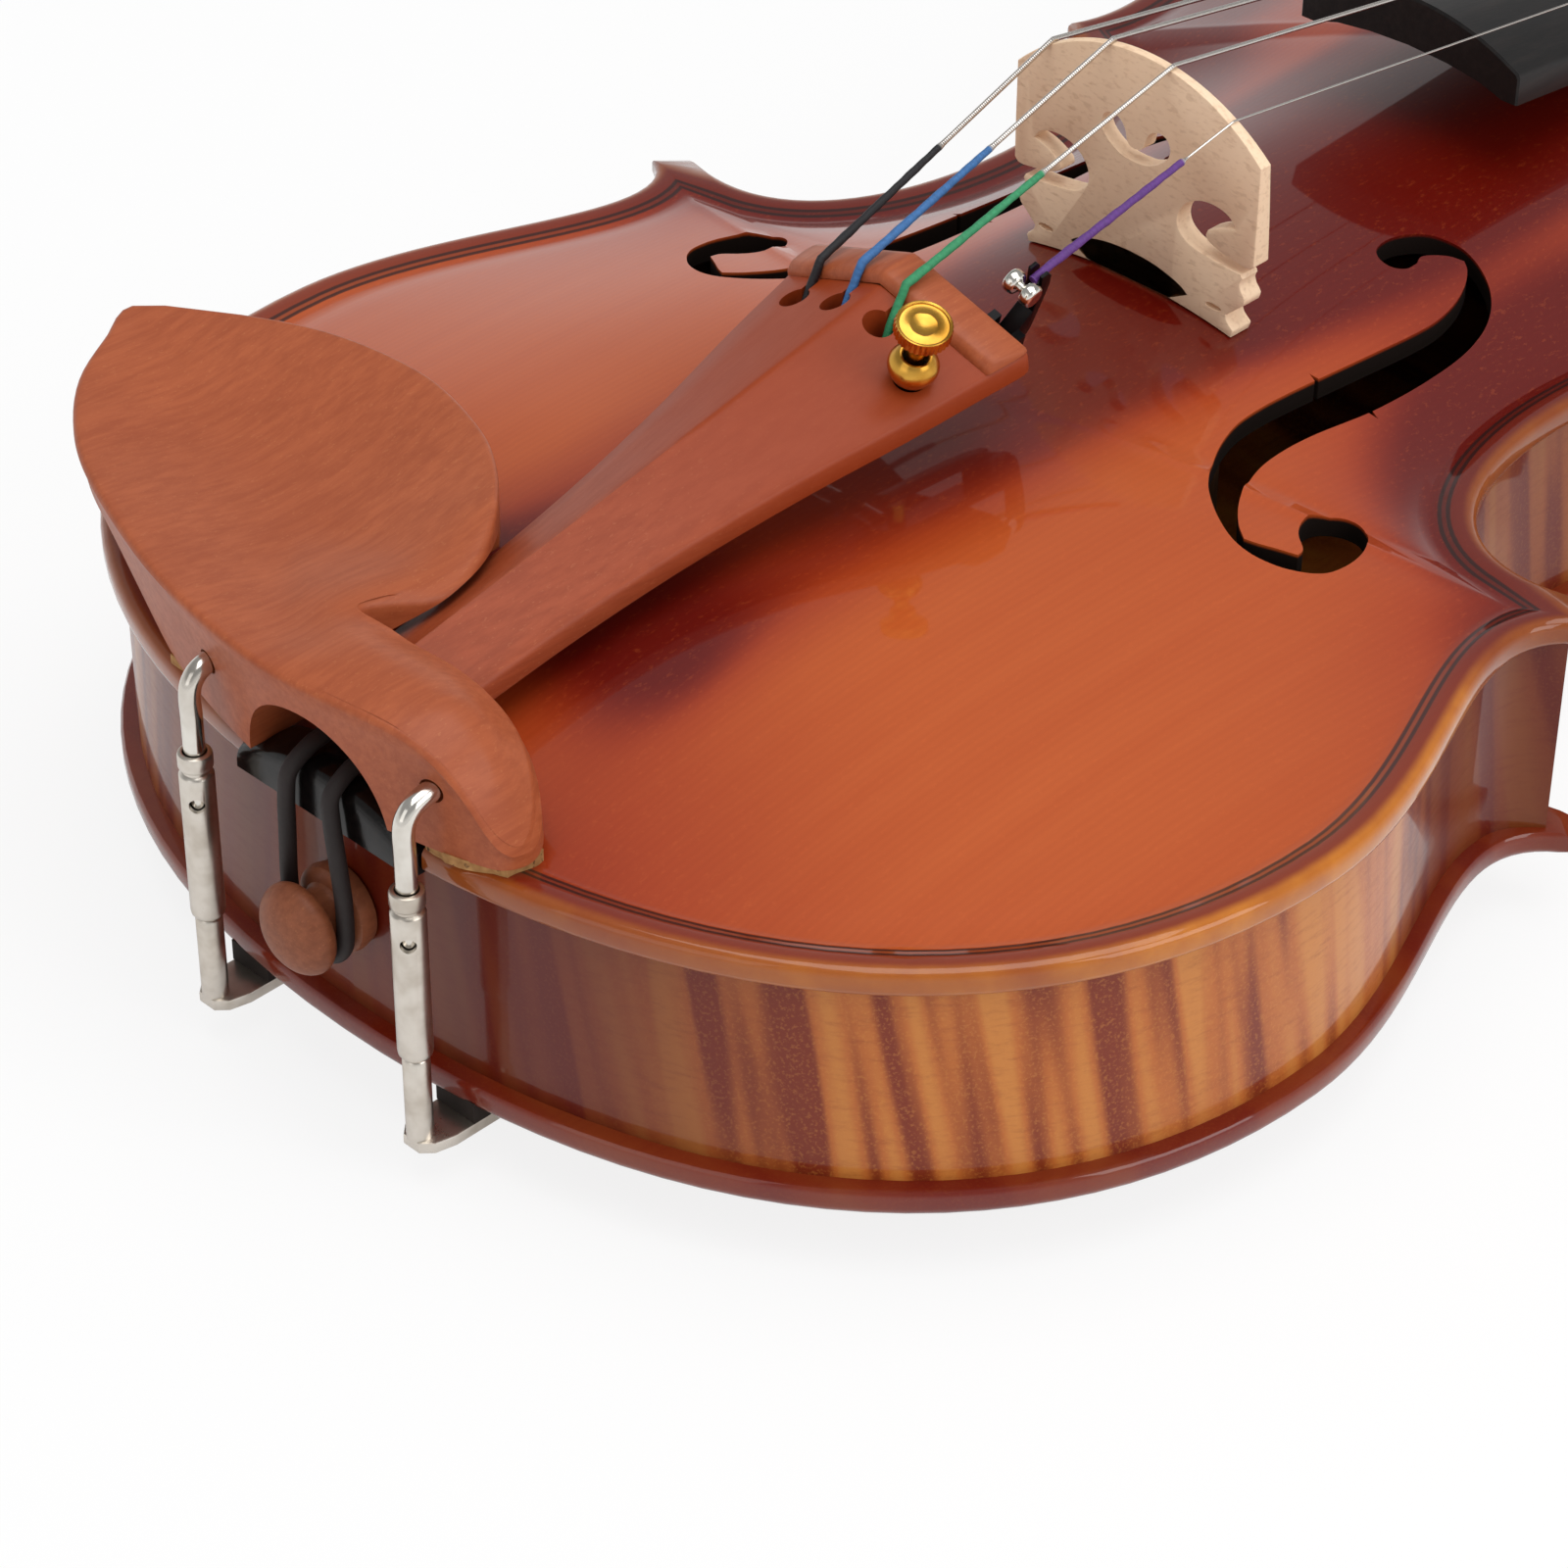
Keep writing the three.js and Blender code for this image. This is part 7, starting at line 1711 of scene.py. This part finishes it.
def makeNeck():
    bm = bmesh.new()
    shares = [0, 0.1, 0.24, 0.4, 0.62, 1]
    depths = [1, 0.97, 0.8, 0.55, 0.41, 0.355]
    rings = []
    heelDepth = gluingZ(body["length"]) - backPlane
    for k in range(25):
        run = k / 24
        y = body["length"] + neck["heelRun"] * run
        half = lerp(neck["heelWidth"] / 2, boardWidth(y) / 2, min(1, run * 1.2))
        rings.append(
            neckSection(
                y, half, heelDepth * alongTable(shares, depths, run),
                lerp(neck["heelFullness"], neck["fullness"], min(1, run * 1.5))
            )
        )
    for k in range(1, 13):
        y = lerp(body["length"] + neck["heelRun"], nutY, k / 12)
        rings.append(
            neckSection(
                y, boardWidth(y) / 2, lerp(neck["atHeel"], neck["atNut"], k / 12), neck["fullness"]
            )
        )
    loft(bm, rings)
    low, high, top = plate["buttonWidth"] / 2, neck["heelWidth"] / 2, gluingZ(body["length"])
    root = [(high, top), (low, backPlane), (-low, backPlane), (-high, top)]
    ends = (body["length"] - neck["root"], body["length"] + 0.05)
    loft(bm, [[at(x, y, z) for x, z in root] for y in ends])
    head = bmesh.new()
    ys = [nutY, lerp(nutY, pegboxStart, 0.5), *np.linspace(pegboxStart, pegboxEnd, 26)]
    sections = [pegboxRing(y) for y in ys]
    for k in range(1, 5):
        ahead = k / 4
        sections.append(
            pegboxRing(
                pegboxEnd, scroll["ahead"] * ahead,
                scroll["radius"] * lerp(0.02, 0.419, ahead ** 1.2), lerp(1, 0.94, ahead)
            )
        )
    loft(head, sections)
    pocket = bmesh.new()
    rings = []
    for share in [*np.linspace(0, 0.97, 12), 1]:
        y = lerp(pegboxStart + 0.9, pegboxEnd - pegbox["wall"] * 1.3, share)
        half = max(
            pegboxWidth(y) / 2 - pegbox["wall"] * lerp(1, 0.74, share), pegbox["wall"] * 0.3
        )
        floor = pegboxTopZ(y) - pegboxDepth(y) + pegbox["floor"] * lerp(1, 0.9, share)
        floor = lerp(floor, pegboxTopZ(y) - pegbox["floor"], 0.5 if share > 0.99 else 0)
        above = pegboxTopZ(y) + pegbox["wall"]
        rings.append([
            at(-half, y, above), at(half, y, above), at(half * 0.95, y, floor + 1),
            at(half * 0.8, y, floor), at(-half * 0.8, y, floor), at(-half * 0.95, y, floor + 1)
        ])
    loft(pocket, rings)
    cutters = [pocket]
    for key in pegs:
        axis = pegAxis(key)
        reach = sideways(30)
        cutters.append(rod(axis - reach, axis + reach, pegRadius(key, 0) + 0.3, sides=32))
    bm.from_mesh(fromMesh(cutAway(head, cutters), "pegbox"))
    coil = bmesh.new()
    makeScroll(coil)
    bm.from_mesh(fromMesh(coil, "scroll"))
    finishPiece(bm, "neck", neckFinish, "body", ["neck"], 36, 0.0005)


def boardRing(y, width, lift, hollow=0.0):
    half, low, soft = width / 2, gluingZ(y), board["soft"]
    r = board["radius"]
    fall = sqrt(r * r - half * half)
    over = []
    for k in range(25):
        x = lerp(half - soft, soft - half, k / 24)
        over.append((x, low + board["edge"] + lift + sqrt(r * r - x * x) - fall))
    sideTop = low + board["edge"] + lift
    right, left = (half, sideTop - soft), (-half, sideTop - soft)
    inner = half - board["edge"] / 2
    bottom = [
        (-inner, low), (-inner * 0.75, low + hollow * 0.55), (-inner * 0.4, low + hollow * 0.87),
        (0, low + hollow), (inner * 0.4, low + hollow * 0.87), (inner * 0.75, low + hollow * 0.55),
        (inner, low)
    ]
    ring = [right, *over, left, (-half, low), *bottom, (half, low)]
    return [at(x, y, z) for x, z in ring]


def makeBoard():
    bm = bmesh.new()
    end = nutY - board["length"]
    stop = end + board["scoopLength"]
    rings = [boardRing(end, boardWidth(end) - 0.6, -0.3, board["scoop"])]
    for y in np.linspace(end + 0.3, stop, 14):
        hollow = lerp(board["scoop"], board["scoop"] * 0.2, (y - end) / board["scoopLength"])
        rings.append(boardRing(y, boardWidth(y), 0, hollow))
    for y in [stop + 0.05, *np.linspace(stop, nutY, 14)[1:]]:
        rings.append(boardRing(y, boardWidth(y), 0))
    loft(bm, rings)
    finishPiece(bm, "fingerboard", ebony, "body", ["fingerboard"], 35, 0.001)
    bm = bmesh.new()
    start, stop = nutY + 0.3, pegboxStart
    lift = board["nutLift"]
    steps = [
        (0, lift), (0.04, lift), (0.4, lift), (0.72, lift), (0.82, 0.5), (0.92, -0.5), (1, -1.5)
    ]
    loft(
        bm, [boardRing(lerp(start, stop, along), neck["nutWidth"], lift) for along, lift in steps]
    )
    finishPiece(bm, "nut", polishedEbony, "body", ["nut"], 40, 0.001)


# Pegs, strings and the coils on the pegs
strings = {
    "bridgeSpacing": 11.45, "nutSpacing": 5.5, "silk": 1.3, "ball": 3.6, "turns": 4,
    "perTurn": 48, "gap": 0.5, "lift": 0.25,
    "thick": {"g": 0.82, "d": 0.78, "a": 0.7, "e": 0.34},
    "silkColor": {"g": "#1a181c", "d": "#3c78b8", "a": "#35a06a", "e": "#6a3690"},
    "across": {"g": -1.5, "d": -0.5, "a": 0.5, "e": 1.5},
}
peg = {
    "shaft": 7.4, "shaftEnd": 6.2, "collar": 9.6, "collarLength": 3, "reach": 12, "headLength": 18,
    "headWidth": 21, "headThickness": 8.5, "drop": 9, "tip": 1.5, "waist": 0.22
}
pegs = {"g": (-1, 13), "e": (1, 26), "d": (-1, 40), "a": (1, 53)}


def pegAxis(key):
    y = pegboxStart + pegs[key][1]
    return at(0, y, pegboxTopZ(y) - peg["drop"])


def pegRadius(key, x):
    half = pegboxWidth(pegboxStart + pegs[key][1]) / 2 + peg["tip"]
    share = (half - x * pegs[key][0]) / (2 * half)
    return lerp(peg["shaft"], peg["shaftEnd"], share) / 2


def makePeg(key):
    side, ahead = pegs[key]
    axis = pegAxis(key)
    half = pegboxWidth(pegboxStart + ahead) / 2
    tip = half + peg["tip"]
    bm = bmesh.new()
    radii = [pegRadius(key, side * tip), pegRadius(key, -side * tip)]
    addRod(bm, axis + sideways(side * tip), axis - sideways(side * (tip - 0.3)), *radii, sides=40)
    neckRadius = peg["shaft"] * 0.42
    reach, collar, tall = peg["reach"], peg["collar"] / 2, peg["collarLength"]
    profile = [
        (0, 0.75), (collar, 0.75), (collar, tall * 0.6), (collar * 0.93, tall * 0.85),
        (neckRadius * 1.15, tall * 1.05), (neckRadius, tall * 1.5),
        (neckRadius * 0.9, reach * 0.75), (neckRadius, reach), (neckRadius, reach + 1.5),
        (0, reach + 1.5)
    ]
    turned(bm, profile, 40, axis + sideways(side * half), (side, 0, 0))
    alongs = [0, 0.2, 0.45, 0.68, 0.86, 1]
    wides, thicks = [0.2, 0.62, 0.93, 1, 0.86, 0.42], [0.75, 1, 0.86, 0.66, 0.52, 0.4]
    rings = []
    start = reach - peg["tip"]
    for k in range(25):
        share = k / 24
        wide, thick = alongTable(alongs, wides, share), alongTable(alongs, thicks, share)
        soft = sqrt(max(0.0, 1 - ((share - 0.94) / 0.06) ** 2)) if share > 0.94 else 1
        ring = []
        for i in range(36):
            angle = tau * i / 36
            waist = 1 - peg["waist"] * cos(angle) ** 2
            y = cos(angle) * peg["headWidth"] * wide / 2 * lerp(0.72, 1, soft)
            z = sin(angle) * peg["headThickness"] * thick * waist / 2 * lerp(0.6, 1, soft)
            x = side * (half + start + peg["headLength"] * share)
            ring.append(axis + Vector((x * mm, y * mm, z * mm)))
        rings.append(ring)
    loft(bm, rings)
    end = half + start + peg["headLength"]
    pip = smoothProfile(
        [
            (peg["tip"], -peg["tip"]), (peg["tip"], 0.2), (peg["tip"] * 0.8, 1.0),
            (peg["tip"] * 0.4, 1.42), (0, 1.5)
        ],
        3
    )
    turned(bm, [(0, -peg["tip"]), *pip], 24, axis + sideways(side * end), (side, 0, 0))
    finishPiece(bm, f"peg{key.upper()}", boxwood, f"peg_{key}", [f"peg_{key}"], 45, 0.0005)


def windingRoute(key):
    side, ahead = pegs[key]
    axis = pegAxis(key)
    thick = strings["thick"][key]
    start = strings["across"][key] * strings["nutSpacing"] * 0.22
    fall = atan2(boardCrown(nutY, start) - axis.z / mm - peg["shaft"] / 2, ahead)
    step = -(thick + strings["gap"]) * side
    route = []
    for i in range(strings["turns"] * strings["perTurn"] + 1):
        turn = i / strings["perTurn"]
        x = start - step * strings["turns"] / 2 + step * turn
        radius = pegRadius(key, x) + thick / 2 + strings["lift"]
        angle = pi / 2 - fall - tau * turn
        route.append(
            Vector((x * mm, axis.y + radius * cos(angle) * mm, axis.z + radius * sin(angle) * mm))
        )
    return route


def makeString(key):
    thick, silk = strings["thick"][key] / 2, strings["silk"] / 2
    across = strings["across"][key]
    x = across * tail["spacing"]
    bridgeX, nutX = across * strings["bridgeSpacing"], across * strings["nutSpacing"]
    rest = thick + 0.2
    if key == "e":
        ballY = tuner["pinAhead"] + tuner["hookAhead"] - tuner["arm"] - tuner["ball"] / 2 - 0.3
        ballZ = tuner["pinZ"] + tuner["hookRise"] - strings["silk"] * 1.3
        start = [inTuner(0, ballY + 2.1, ballZ), inTuner(0, ballY + 5.2, ballZ + 0.52)]
    else:
        lowY = holeY + 0.72
        under = tailTop(x, lowY) - tail["shell"] - strings["ball"]
        slotY = tail["length"] - tail["fretWidth"] - silk * 3
        overY = tail["length"] - tail["fretWidth"] * 0.86
        start = [inTail(x, lowY, under), inTail(x, slotY, tailTop(x, slotY) - silk),
                 inTail(x, overY, tailTop(x, overY) + tail["fretHeight"] + silk + 0.6)]
    bridgePoint = at(
        bridgeX, bridgeSizes["y"] + bridgeSizes["crest"] / 2, bridgeTopZ(bridgeX) + rest
    )
    nutFront = at(nutX, nutY + 0.3, boardCrown(nutY, nutX) + board["nutLift"] + rest)
    restY = nutY + 6 * 0.72
    nutRest = at(nutX, restY, boardCrown(restY, nutX) + board["nutLift"] + rest)
    coilStart = windingRoute(key)[0] + sideways(pegs[key][0] * (strings["thick"][key] + 0.3))
    silkShare = 0.72 if key == "e" else 0.5
    points = [start[0]]
    for a, b in zip(start, start[1:]):
        points += [a.lerp(b, k / 6) for k in range(1, 7)]
    radii = [silk] * len(points)
    last = start[-1]
    steps = 60
    for k in range(1, steps + 1):
        share = k / steps
        points.append(last.lerp(bridgePoint, share))
        taper = clampTo(0, 1, (share - silkShare) / 0.02)
        inSilk = lerp(silk, silk * 0.8, share / silkShare)
        radii.append(lerp(inSilk, thick, taper) if share < silkShare + 0.02 else thick)
    silkEnd = (
        sum((b - a).length for a, b in zip(start, start[1:])) / mm
        + (bridgePoint - last).length / mm * silkShare
    )
    points += [nutFront, nutRest, coilStart]
    radii += [thick, thick, thick]
    phase = random.uniform(0, tau)

    def lumps(run, angle):
        inSilk = 1 if run < silkEnd else 0
        return inSilk * 0.09 * (
            sin(run * 2.1 + phase + angle) * 0.5 + sin(run * 0.83 + phase * 2) * 0.5
        )

    bm = bmesh.new()
    tube(bm, points, radii, 12, "run", lumps)
    if key != "e":
        layer = bm.verts.layers.float["run"]
        known = set(bm.verts)
        half = strings["ball"] / 2
        centre = points[0]
        addRod(bm, centre - sideways(half), centre + sideways(half), half, sides=32)
        for vert in bm.verts:
            if vert not in known:
                vert[layer] = 900
    finish = silkedString(
        f"string {key}", strings["silkColor"][key], silkEnd, 16 if key != "e" else 0.5
    )
    finishPiece(bm, f"string{key.upper()}", finish, "body", [f"string_{key}"], 60, 0.0005)
    coil = bmesh.new()
    tube(coil, windingRoute(key), thick, 10)
    finishPiece(
        coil, f"winding{key.upper()}", polished, f"peg_{key}", [f"winding_{key}"], 60, 0.0005
    )


makeNeck()
makeBoard()
print("pegs and strings")
for key in pegs:
    makePeg(key)
    makeString(key)


# Chinrest: a dished cup on the bass side and a bar over the tail
print("chinrest")
chin = {
    "left": 86, "right": 31, "back": 56, "front": 4.6, "rimZ": 71.5, "ridgeZ": 70, "dish": 5.2,
    "rim": 7, "archHalf": 12.6, "archTop": 64.6, "padDepth": 6, "padFront": 1.2, "barDrop": 15.5,
    "barLean": 0.6, "barCrown": 1.2, "barBackDrop": 5, "barBend": 5.2, "lean": 5, "soft": 0.9,
    "cork": 1.2, "archBelow": 4, "archSpread": 1.1, "archBack": 0.62, "tailGap": 1.2,
    "tailShare": 0.7, "hookHole": 1.8, "stations": 110
}
footTop = bellyEdgeTop + chin["cork"]
cupCentre = np.array([-0.47 * chin["left"], 0.5 * chin["back"]])
chinShares = [
    (-1, 0.7), (-0.955, 0.56), (-0.89, 0.4), (-0.8, 0.27), (-0.68, 0.155), (-0.49, 0.04),
    (-0.31, -0.45), (-0.1, -1), (0.16, -0.85), (0.6, -0.3), (0.84, 0.01), (0.965, 0.045),
    (1, 0.115), (0.93, 0.19), (0.72, 0.255), (0.27, 0.295), (-0.01, 0.27), (-0.075, 0.235),
    (-0.072, 0.3), (-0.038, 0.44), (-0.058, 0.58), (-0.12, 0.72), (-0.21, 0.845), (-0.31, 0.93),
    (-0.47, 0.995), (-0.63, 0.985), (-0.76, 0.93), (-0.89, 0.825)
]
# Where the outline's points meet the middle line, from the cup's tip to the bar's nose
frontMeets = [(0, 0), (3, 0.12), (5, 0.3), (6, 0.48), (7, 0.62), (8, 0.72), (9, 0.85), (12, 1)]
backMeets = [
    (28, 0), (26, 0.04), (25, 0.07), (24, 0.12), (23, 0.2), (22, 0.26), (21, 0.34), (20, 0.42),
    (19, 0.5), (18, 0.6), (17, 0.64), (16, 0.7), (15, 0.78), (14, 0.9), (12, 1)
]
middleLine = [
    (0, -70, 36), (0.12, -62, 33), (0.3, -45, 27), (0.42, -33, 25), (0.5, -27, 20), (0.6, -15, 11),
    (0.64, -10, 8), (0.72, 2, 6.8), (0.85, 18, 6.5), (1, 29.5, 6.5)
]


def easeArray(start, end, values):
    t = np.clip((values - start) / (end - start), 0, 1)
    return t * t * (3 - 2 * t)


def chinStations():
    count = chin["stations"]
    corners = [
        (
            x * (chin["left"] if x < 0 else chin["right"]),
            y * (chin["front"] if y < 0 else chin["back"])
        )
        for x, y in chinShares
    ]
    fine = closedCurve(corners, 12)
    dense = np.array([*fine, fine[0]])

    def outlineAt(index):
        place = index * 12
        low = np.floor(place).astype(int)
        part = (place - low)[:, None]
        return dense[low % len(dense)] * (1 - part) + dense[(low + 1) % len(dense)] * part

    s = np.linspace(0, 1, count)
    front = outlineAt(np.interp(s, [m[1] for m in frontMeets], [m[0] for m in frontMeets]))
    back = outlineAt(
        np.minimum(np.interp(s, [m[1] for m in backMeets], [m[0] for m in backMeets]), 27.999)
    )
    knots = [m[0] for m in middleLine]
    middle = np.stack([np.interp(s, knots, [m[k] for m in middleLine]) for k in (1, 2)], 1)
    back[0] = front[0]
    back[-1] = front[-1]
    outline = np.vstack([front, back[1:-1][::-1]])
    goals = np.vstack([middle, middle[1:-1][::-1]])
    sides = np.concatenate([np.full(count, -1.0), np.full(count - 2, 1.0)])
    sides[0] = sides[count - 1] = 0
    return outline, goals, sides


def chinRim(p):
    bar = np.clip(p[:, 0] / chin["right"], 0, 1)
    back = np.clip(p[:, 1] / chin["back"], 0, 1)
    rimZ = chin["ridgeZ"] + (chin["rimZ"] - chin["ridgeZ"]) * back
    return rimZ + (chin["ridgeZ"] - chin["barDrop"] - rimZ) * bar ** chin["barBend"]


def chinUnder(p):
    overBar = easeArray(-chin["left"] * 0.66, -chin["left"] * 0.42, p[:, 0])
    foot = (
        1 - easeArray(chin["padFront"] + chin["padDepth"], chin["back"] * 0.36, p[:, 1])
    ) * overBar
    away = np.hypot(*(p - cupCentre).T)
    under = (
        chinRim(p) - chin["rim"]
        - chin["dish"] * 0.5 * (1 - easeArray(0, chin["back"] * 0.6, away))
    )
    barSide = easeArray(-chin["left"] * 0.1, 0, p[:, 0])
    low = under + (footTop + chin["padDepth"] * 0.6 - under) * barSide
    return low + (footTop - low) * foot


def chinTop(p, edge):
    inCup = 1 - easeArray(-chin["left"] * 0.14, chin["right"] * 0.1, p[:, 0])
    dip = chin["dish"] * easeArray(0, chin["back"] * 0.42, edge) * inCup
    crown = chin["barCrown"] * (1 - inCup) * easeArray(0, chin["padDepth"], edge)
    back = (
        easeArray(chin["back"] * 0.1, chin["back"] * 0.34, p[:, 1]) * (1 - inCup)
        * chin["barBackDrop"]
    )
    return np.maximum(chinRim(p) - dip + crown - back, chinUnder(p) + 0.3)


def chinPulled(p, z):
    # The front wall is hollow: it draws in quickly under the rim.
    low = footTop - 0.6
    amount = np.clip((chin["ridgeZ"] - z) / (chin["ridgeZ"] - low), 0, 1) ** 0.75
    frontness = 1 - easeArray(-chin["front"], chin["back"] * 0.6, p[:, 1])
    inward = cupCentre - p
    inward = inward / np.hypot(*inward.T)[:, None]
    toBar = easeArray(-chin["left"] * 0.4, 0, p[:, 0])[:, None]
    goal = inward * (1 - toBar) + np.array([0, 1]) * toBar
    goal = goal / np.hypot(*goal.T)[:, None]
    lean = chin["lean"] * (1 - toBar[:, 0] * chin["barLean"])
    return p + goal * (frontness * lean * amount)[:, None]


def makeChinrest():
    outline, goals, sides = chinStations()
    bm = bmesh.new()

    def ring(points, heights):
        return chain(
            bm, [at(x, y, z) for (x, y), z in zip(points, np.broadcast_to(heights, len(points)))]
        )

    soft = chin["soft"]
    top, wall, under = [], [], []
    middle = goals + np.stack([np.zeros(len(goals)), sides * 0.3], 1)
    top.append(ring(middle, chinTop(goals, distanceTo(outline, goals))))
    for share in (0.9, 0.76, 0.62, 0.48, 0.36, 0.25, 0.16, 0.09):
        points = outline + (goals - outline) * share
        top.append(ring(points, chinTop(points, distanceTo(outline, points))))
    for inset in (0.9, 0.6, 0.32, 0.1, 0.0):
        points = insetRing(inset * soft / 0.9, outline, goals)
        drop = soft * (1 - sqrt(1 - (1 - inset / 0.9) ** 2))
        top.append(ring(points, chinTop(points, np.full(len(points), inset)) - drop))
    rimZ = chinTop(outline, np.zeros(len(outline))) - soft
    low = rimZ - chin["rim"]
    for _ in range(20):
        low = chinUnder(chinPulled(outline, low))
    low = np.minimum(low, rimZ - 0.6)
    for share in (0.12, 0.28, 0.46, 0.64, 0.82, 0.95):
        z = rimZ + (low - rimZ) * share
        wall.append(ring(chinPulled(outline, z), z))
    foot = chinPulled(outline, low)
    wall.append(ring(foot, low))
    for share in (0.04, 0.12, 0.25, 0.4, 0.58, 0.78):
        points = foot + (goals - foot) * share
        under.append(ring(points, chinUnder(points)))
    under.append(ring(middle, chinUnder(goals)))
    topVerts = [v for verts, _ in top[:9] for v in verts]
    bridgeStacked(bm, [*top, *wall, *under])
    for verts, _ in (top[0], under[-1]):
        for vert, goal in zip(verts, goals):
            vert.co.x, vert.co.y = goal[0] * mm, (goal[1] - tailShift) * mm
    bmesh.ops.remove_doubles(bm, verts=bm.verts, dist=0.01 * mm)
    topVerts = [v for v in topVerts if v.is_valid and v.co.x < chin["right"] * 0.55 * mm]
    for _ in range(10):
        bmesh.ops.smooth_vert(bm, verts=topVerts, factor=0.5, use_axis_z=True)
    finishPiece(cutAway(bm, chinCutters()), "chinrest", boxwood, "body", ["chinrest"], 38, 0.002)


def chinCutters():
    base = bellyEdgeTop - chin["archBelow"]
    arch = []
    for k in range(33):
        angle = pi * k / 32
        arch.append((
            chin["archHalf"] * cos(angle), base + (chin["archTop"] - base) * sin(angle) ** 0.8
        ))
    way = bmesh.new()
    loft(
        way,
        [
            [at(x, -40, z) for x, z in arch],
            [at(x * chin["archSpread"], chin["back"] * chin["archBack"], z) for x, z in arch]
        ]
    )
    room = bmesh.new()
    rings = []
    for k in range(15):
        y = tail["length"] * chin["tailShare"] * k / 14
        half, edge = tailHalfWidth(y) + chin["tailGap"], tail["edge"] + chin["tailGap"]
        rings.append([inTail(-half, y, -10), inTail(half, y, -10), inTail(half, y, edge),
                      inTail(0, y, edge + tailRidge(y)), inTail(-half, y, edge)])
    loft(room, rings)
    cutters = [way, room]
    for side in (-1, 1):
        route = hookRoute(side)
        ahead = (route[-1] - route[-2]).normalized()
        cutters.append(
            rod(route[-2] - ahead * 0.006, route[-1] + ahead * 0.0003, chin["hookHole"], sides=28)
        )
    return cutters


corkSizes = {
    "front": 1.2, "setBack": 3.4, "from": 22, "to": 31, "depth": 6.2, "squeeze": 0.1, "lap": 0.15,
    "rough": 0.12
}


def makeCork(side, name, start, end):
    # A thin strip between the belly's edge and the chinrest's foot
    c = corkSizes
    bm = bmesh.new()
    top = footTop + c["lap"]
    rings = []
    for k in range(13):
        x = lerp(start, end, k / 12)
        front = c["front"] + c["setBack"] * ease(c["from"], c["to"], x)
        ys = [front + c["depth"] * j / 6 for j in range(7)]
        heights = [bellyTopZ(side * x, y) - c["squeeze"] for y in ys]
        rough = random.uniform(-c["rough"], c["rough"])
        ring = list(zip([front + rough, *ys[1:]], heights))
        ring += [(ys[-1], top), (front + rough, top)]
        rings.append([at(side * x, y, z) for y, z in ring])
    loft(bm, rings)
    finishPiece(bm, f"cork{name.title()}", cork, "body", [f"chinrest_cork_{name}"], 40)


# The chinrest's clamps
clampSizes = {
    "x": 21, "y": -4.6, "rod": 1.5, "barrel": 2.4, "bore": 1.7, "from": 21.5, "length": 27,
    "wrench": 1.1, "wrenchUp": 19.5, "top": 61, "bend": 3.4, "hookIn": 6.5, "footWidth": 7.5,
    "footReach": 13, "footBottom": 6.2, "footThick": 1.8, "hidden": 11
}


def hookRoute(side):
    c = clampSizes
    x, y, bend = side * c["x"], c["y"], c["bend"]
    bottom = c["from"] + c["length"] - c["hidden"]
    start = c["top"] - bend
    return [
        at(x, y, bottom), at(x, y, start - bend), at(x, y, start),
        at(x, y + bend * 0.22, start + bend * 0.6), at(x, y + bend * 0.85, start + bend),
        at(x, y + bend * 0.85 + c["hookIn"], start + bend * 1.35)
    ]


def makeClamp(side, name):
    c = clampSizes
    x, y = side * c["x"], c["y"]
    route = hookRoute(side)
    smooth = [route[0], *curveThrough(route[1:], 6)]
    bm = bmesh.new()
    tube(bm, smooth, c["rod"], 24)
    finishPiece(bm, f"clampHook{name.title()}", polished, "body", [f"clamp_hook_{name}"], 50)
    r, bore, z0, length = c["barrel"], c["bore"], c["from"], c["length"]
    z1 = z0 + length
    profile = [
        (bore, z0), (r - 0.45, z0), (r - 0.1, z0 + 0.5), (r, z0 + 1.1), (r, z1 - 3.6),
        (r - 0.12, z1 - 3.4), (r - 0.5, z1 - 3.1), (r - 0.5, z1 - 2.7), (r - 0.1, z1 - 2.4),
        (r, z1 - 2.1), (r, z1 - 0.5), (r - 0.12, z1 - 0.15), (r - 0.4, z1), (bore, z1), (bore, z0)
    ]
    bm = bmesh.new()
    turned(bm, profile, 48, at(x, y, 0), (0, 0, 1))
    level = z0 + c["wrenchUp"]
    hole = rod(at(x + 4.8, y - 4.8, level), at(x - 4.8, y + 4.8, level), c["wrench"], sides=28)
    finishPiece(
        cutAway(bm, [hole]), f"clampBarrel{name.title()}", nickel, f"clamp_barrel_{name}",
        [f"clamp_barrel_{name}"], 40
    )
    half, low = c["footWidth"] / 2, c["footBottom"]
    y0, y1 = y - c["rod"] * 1.1, y + c["footReach"]
    right = [
        (c["rod"], y0), (half * 0.8, y0 + 1.6), (half, y0 + 4.8), (half, y1 - 2),
        (half * 0.9, y1 - 0.7), (half * 0.6, y1)
    ]
    outline = [(x + a, b) for a, b in right] + [(x - a, b) for a, b in right[::-1]]
    bm = softSlab(
        outline, lambda a, b, far,
        depth: at(a, b, low + (c["footThick"] - depth if far else depth)), 0.3
    )
    rodProfile = [
        (0, low + 0.3), (c["rod"] * 1.25, low + 1.5), (c["rod"] * 1.25, z0 - 0.6),
        (c["rod"] * 1.1, z0 - 0.3), (c["rod"], z0 - 0.3), (c["rod"], z0 + c["hidden"]),
        (0, z0 + c["hidden"])
    ]
    turned(bm, rodProfile, 32, at(x, y, 0), (0, 0, 1))
    finishPiece(
        bm, f"clampFoot{name.title()}", nickel, f"clamp_foot_{name}", [f"clamp_foot_{name}"], 40,
        0.001
    )
    dressNode(f"clamp_pad_{name}", padFinish)


makeChinrest()
makeCork(-1, "bass", 18, 37)
makeCork(1, "treble", 18, 30)
makeClamp(-1, "bass")
makeClamp(1, "treble")
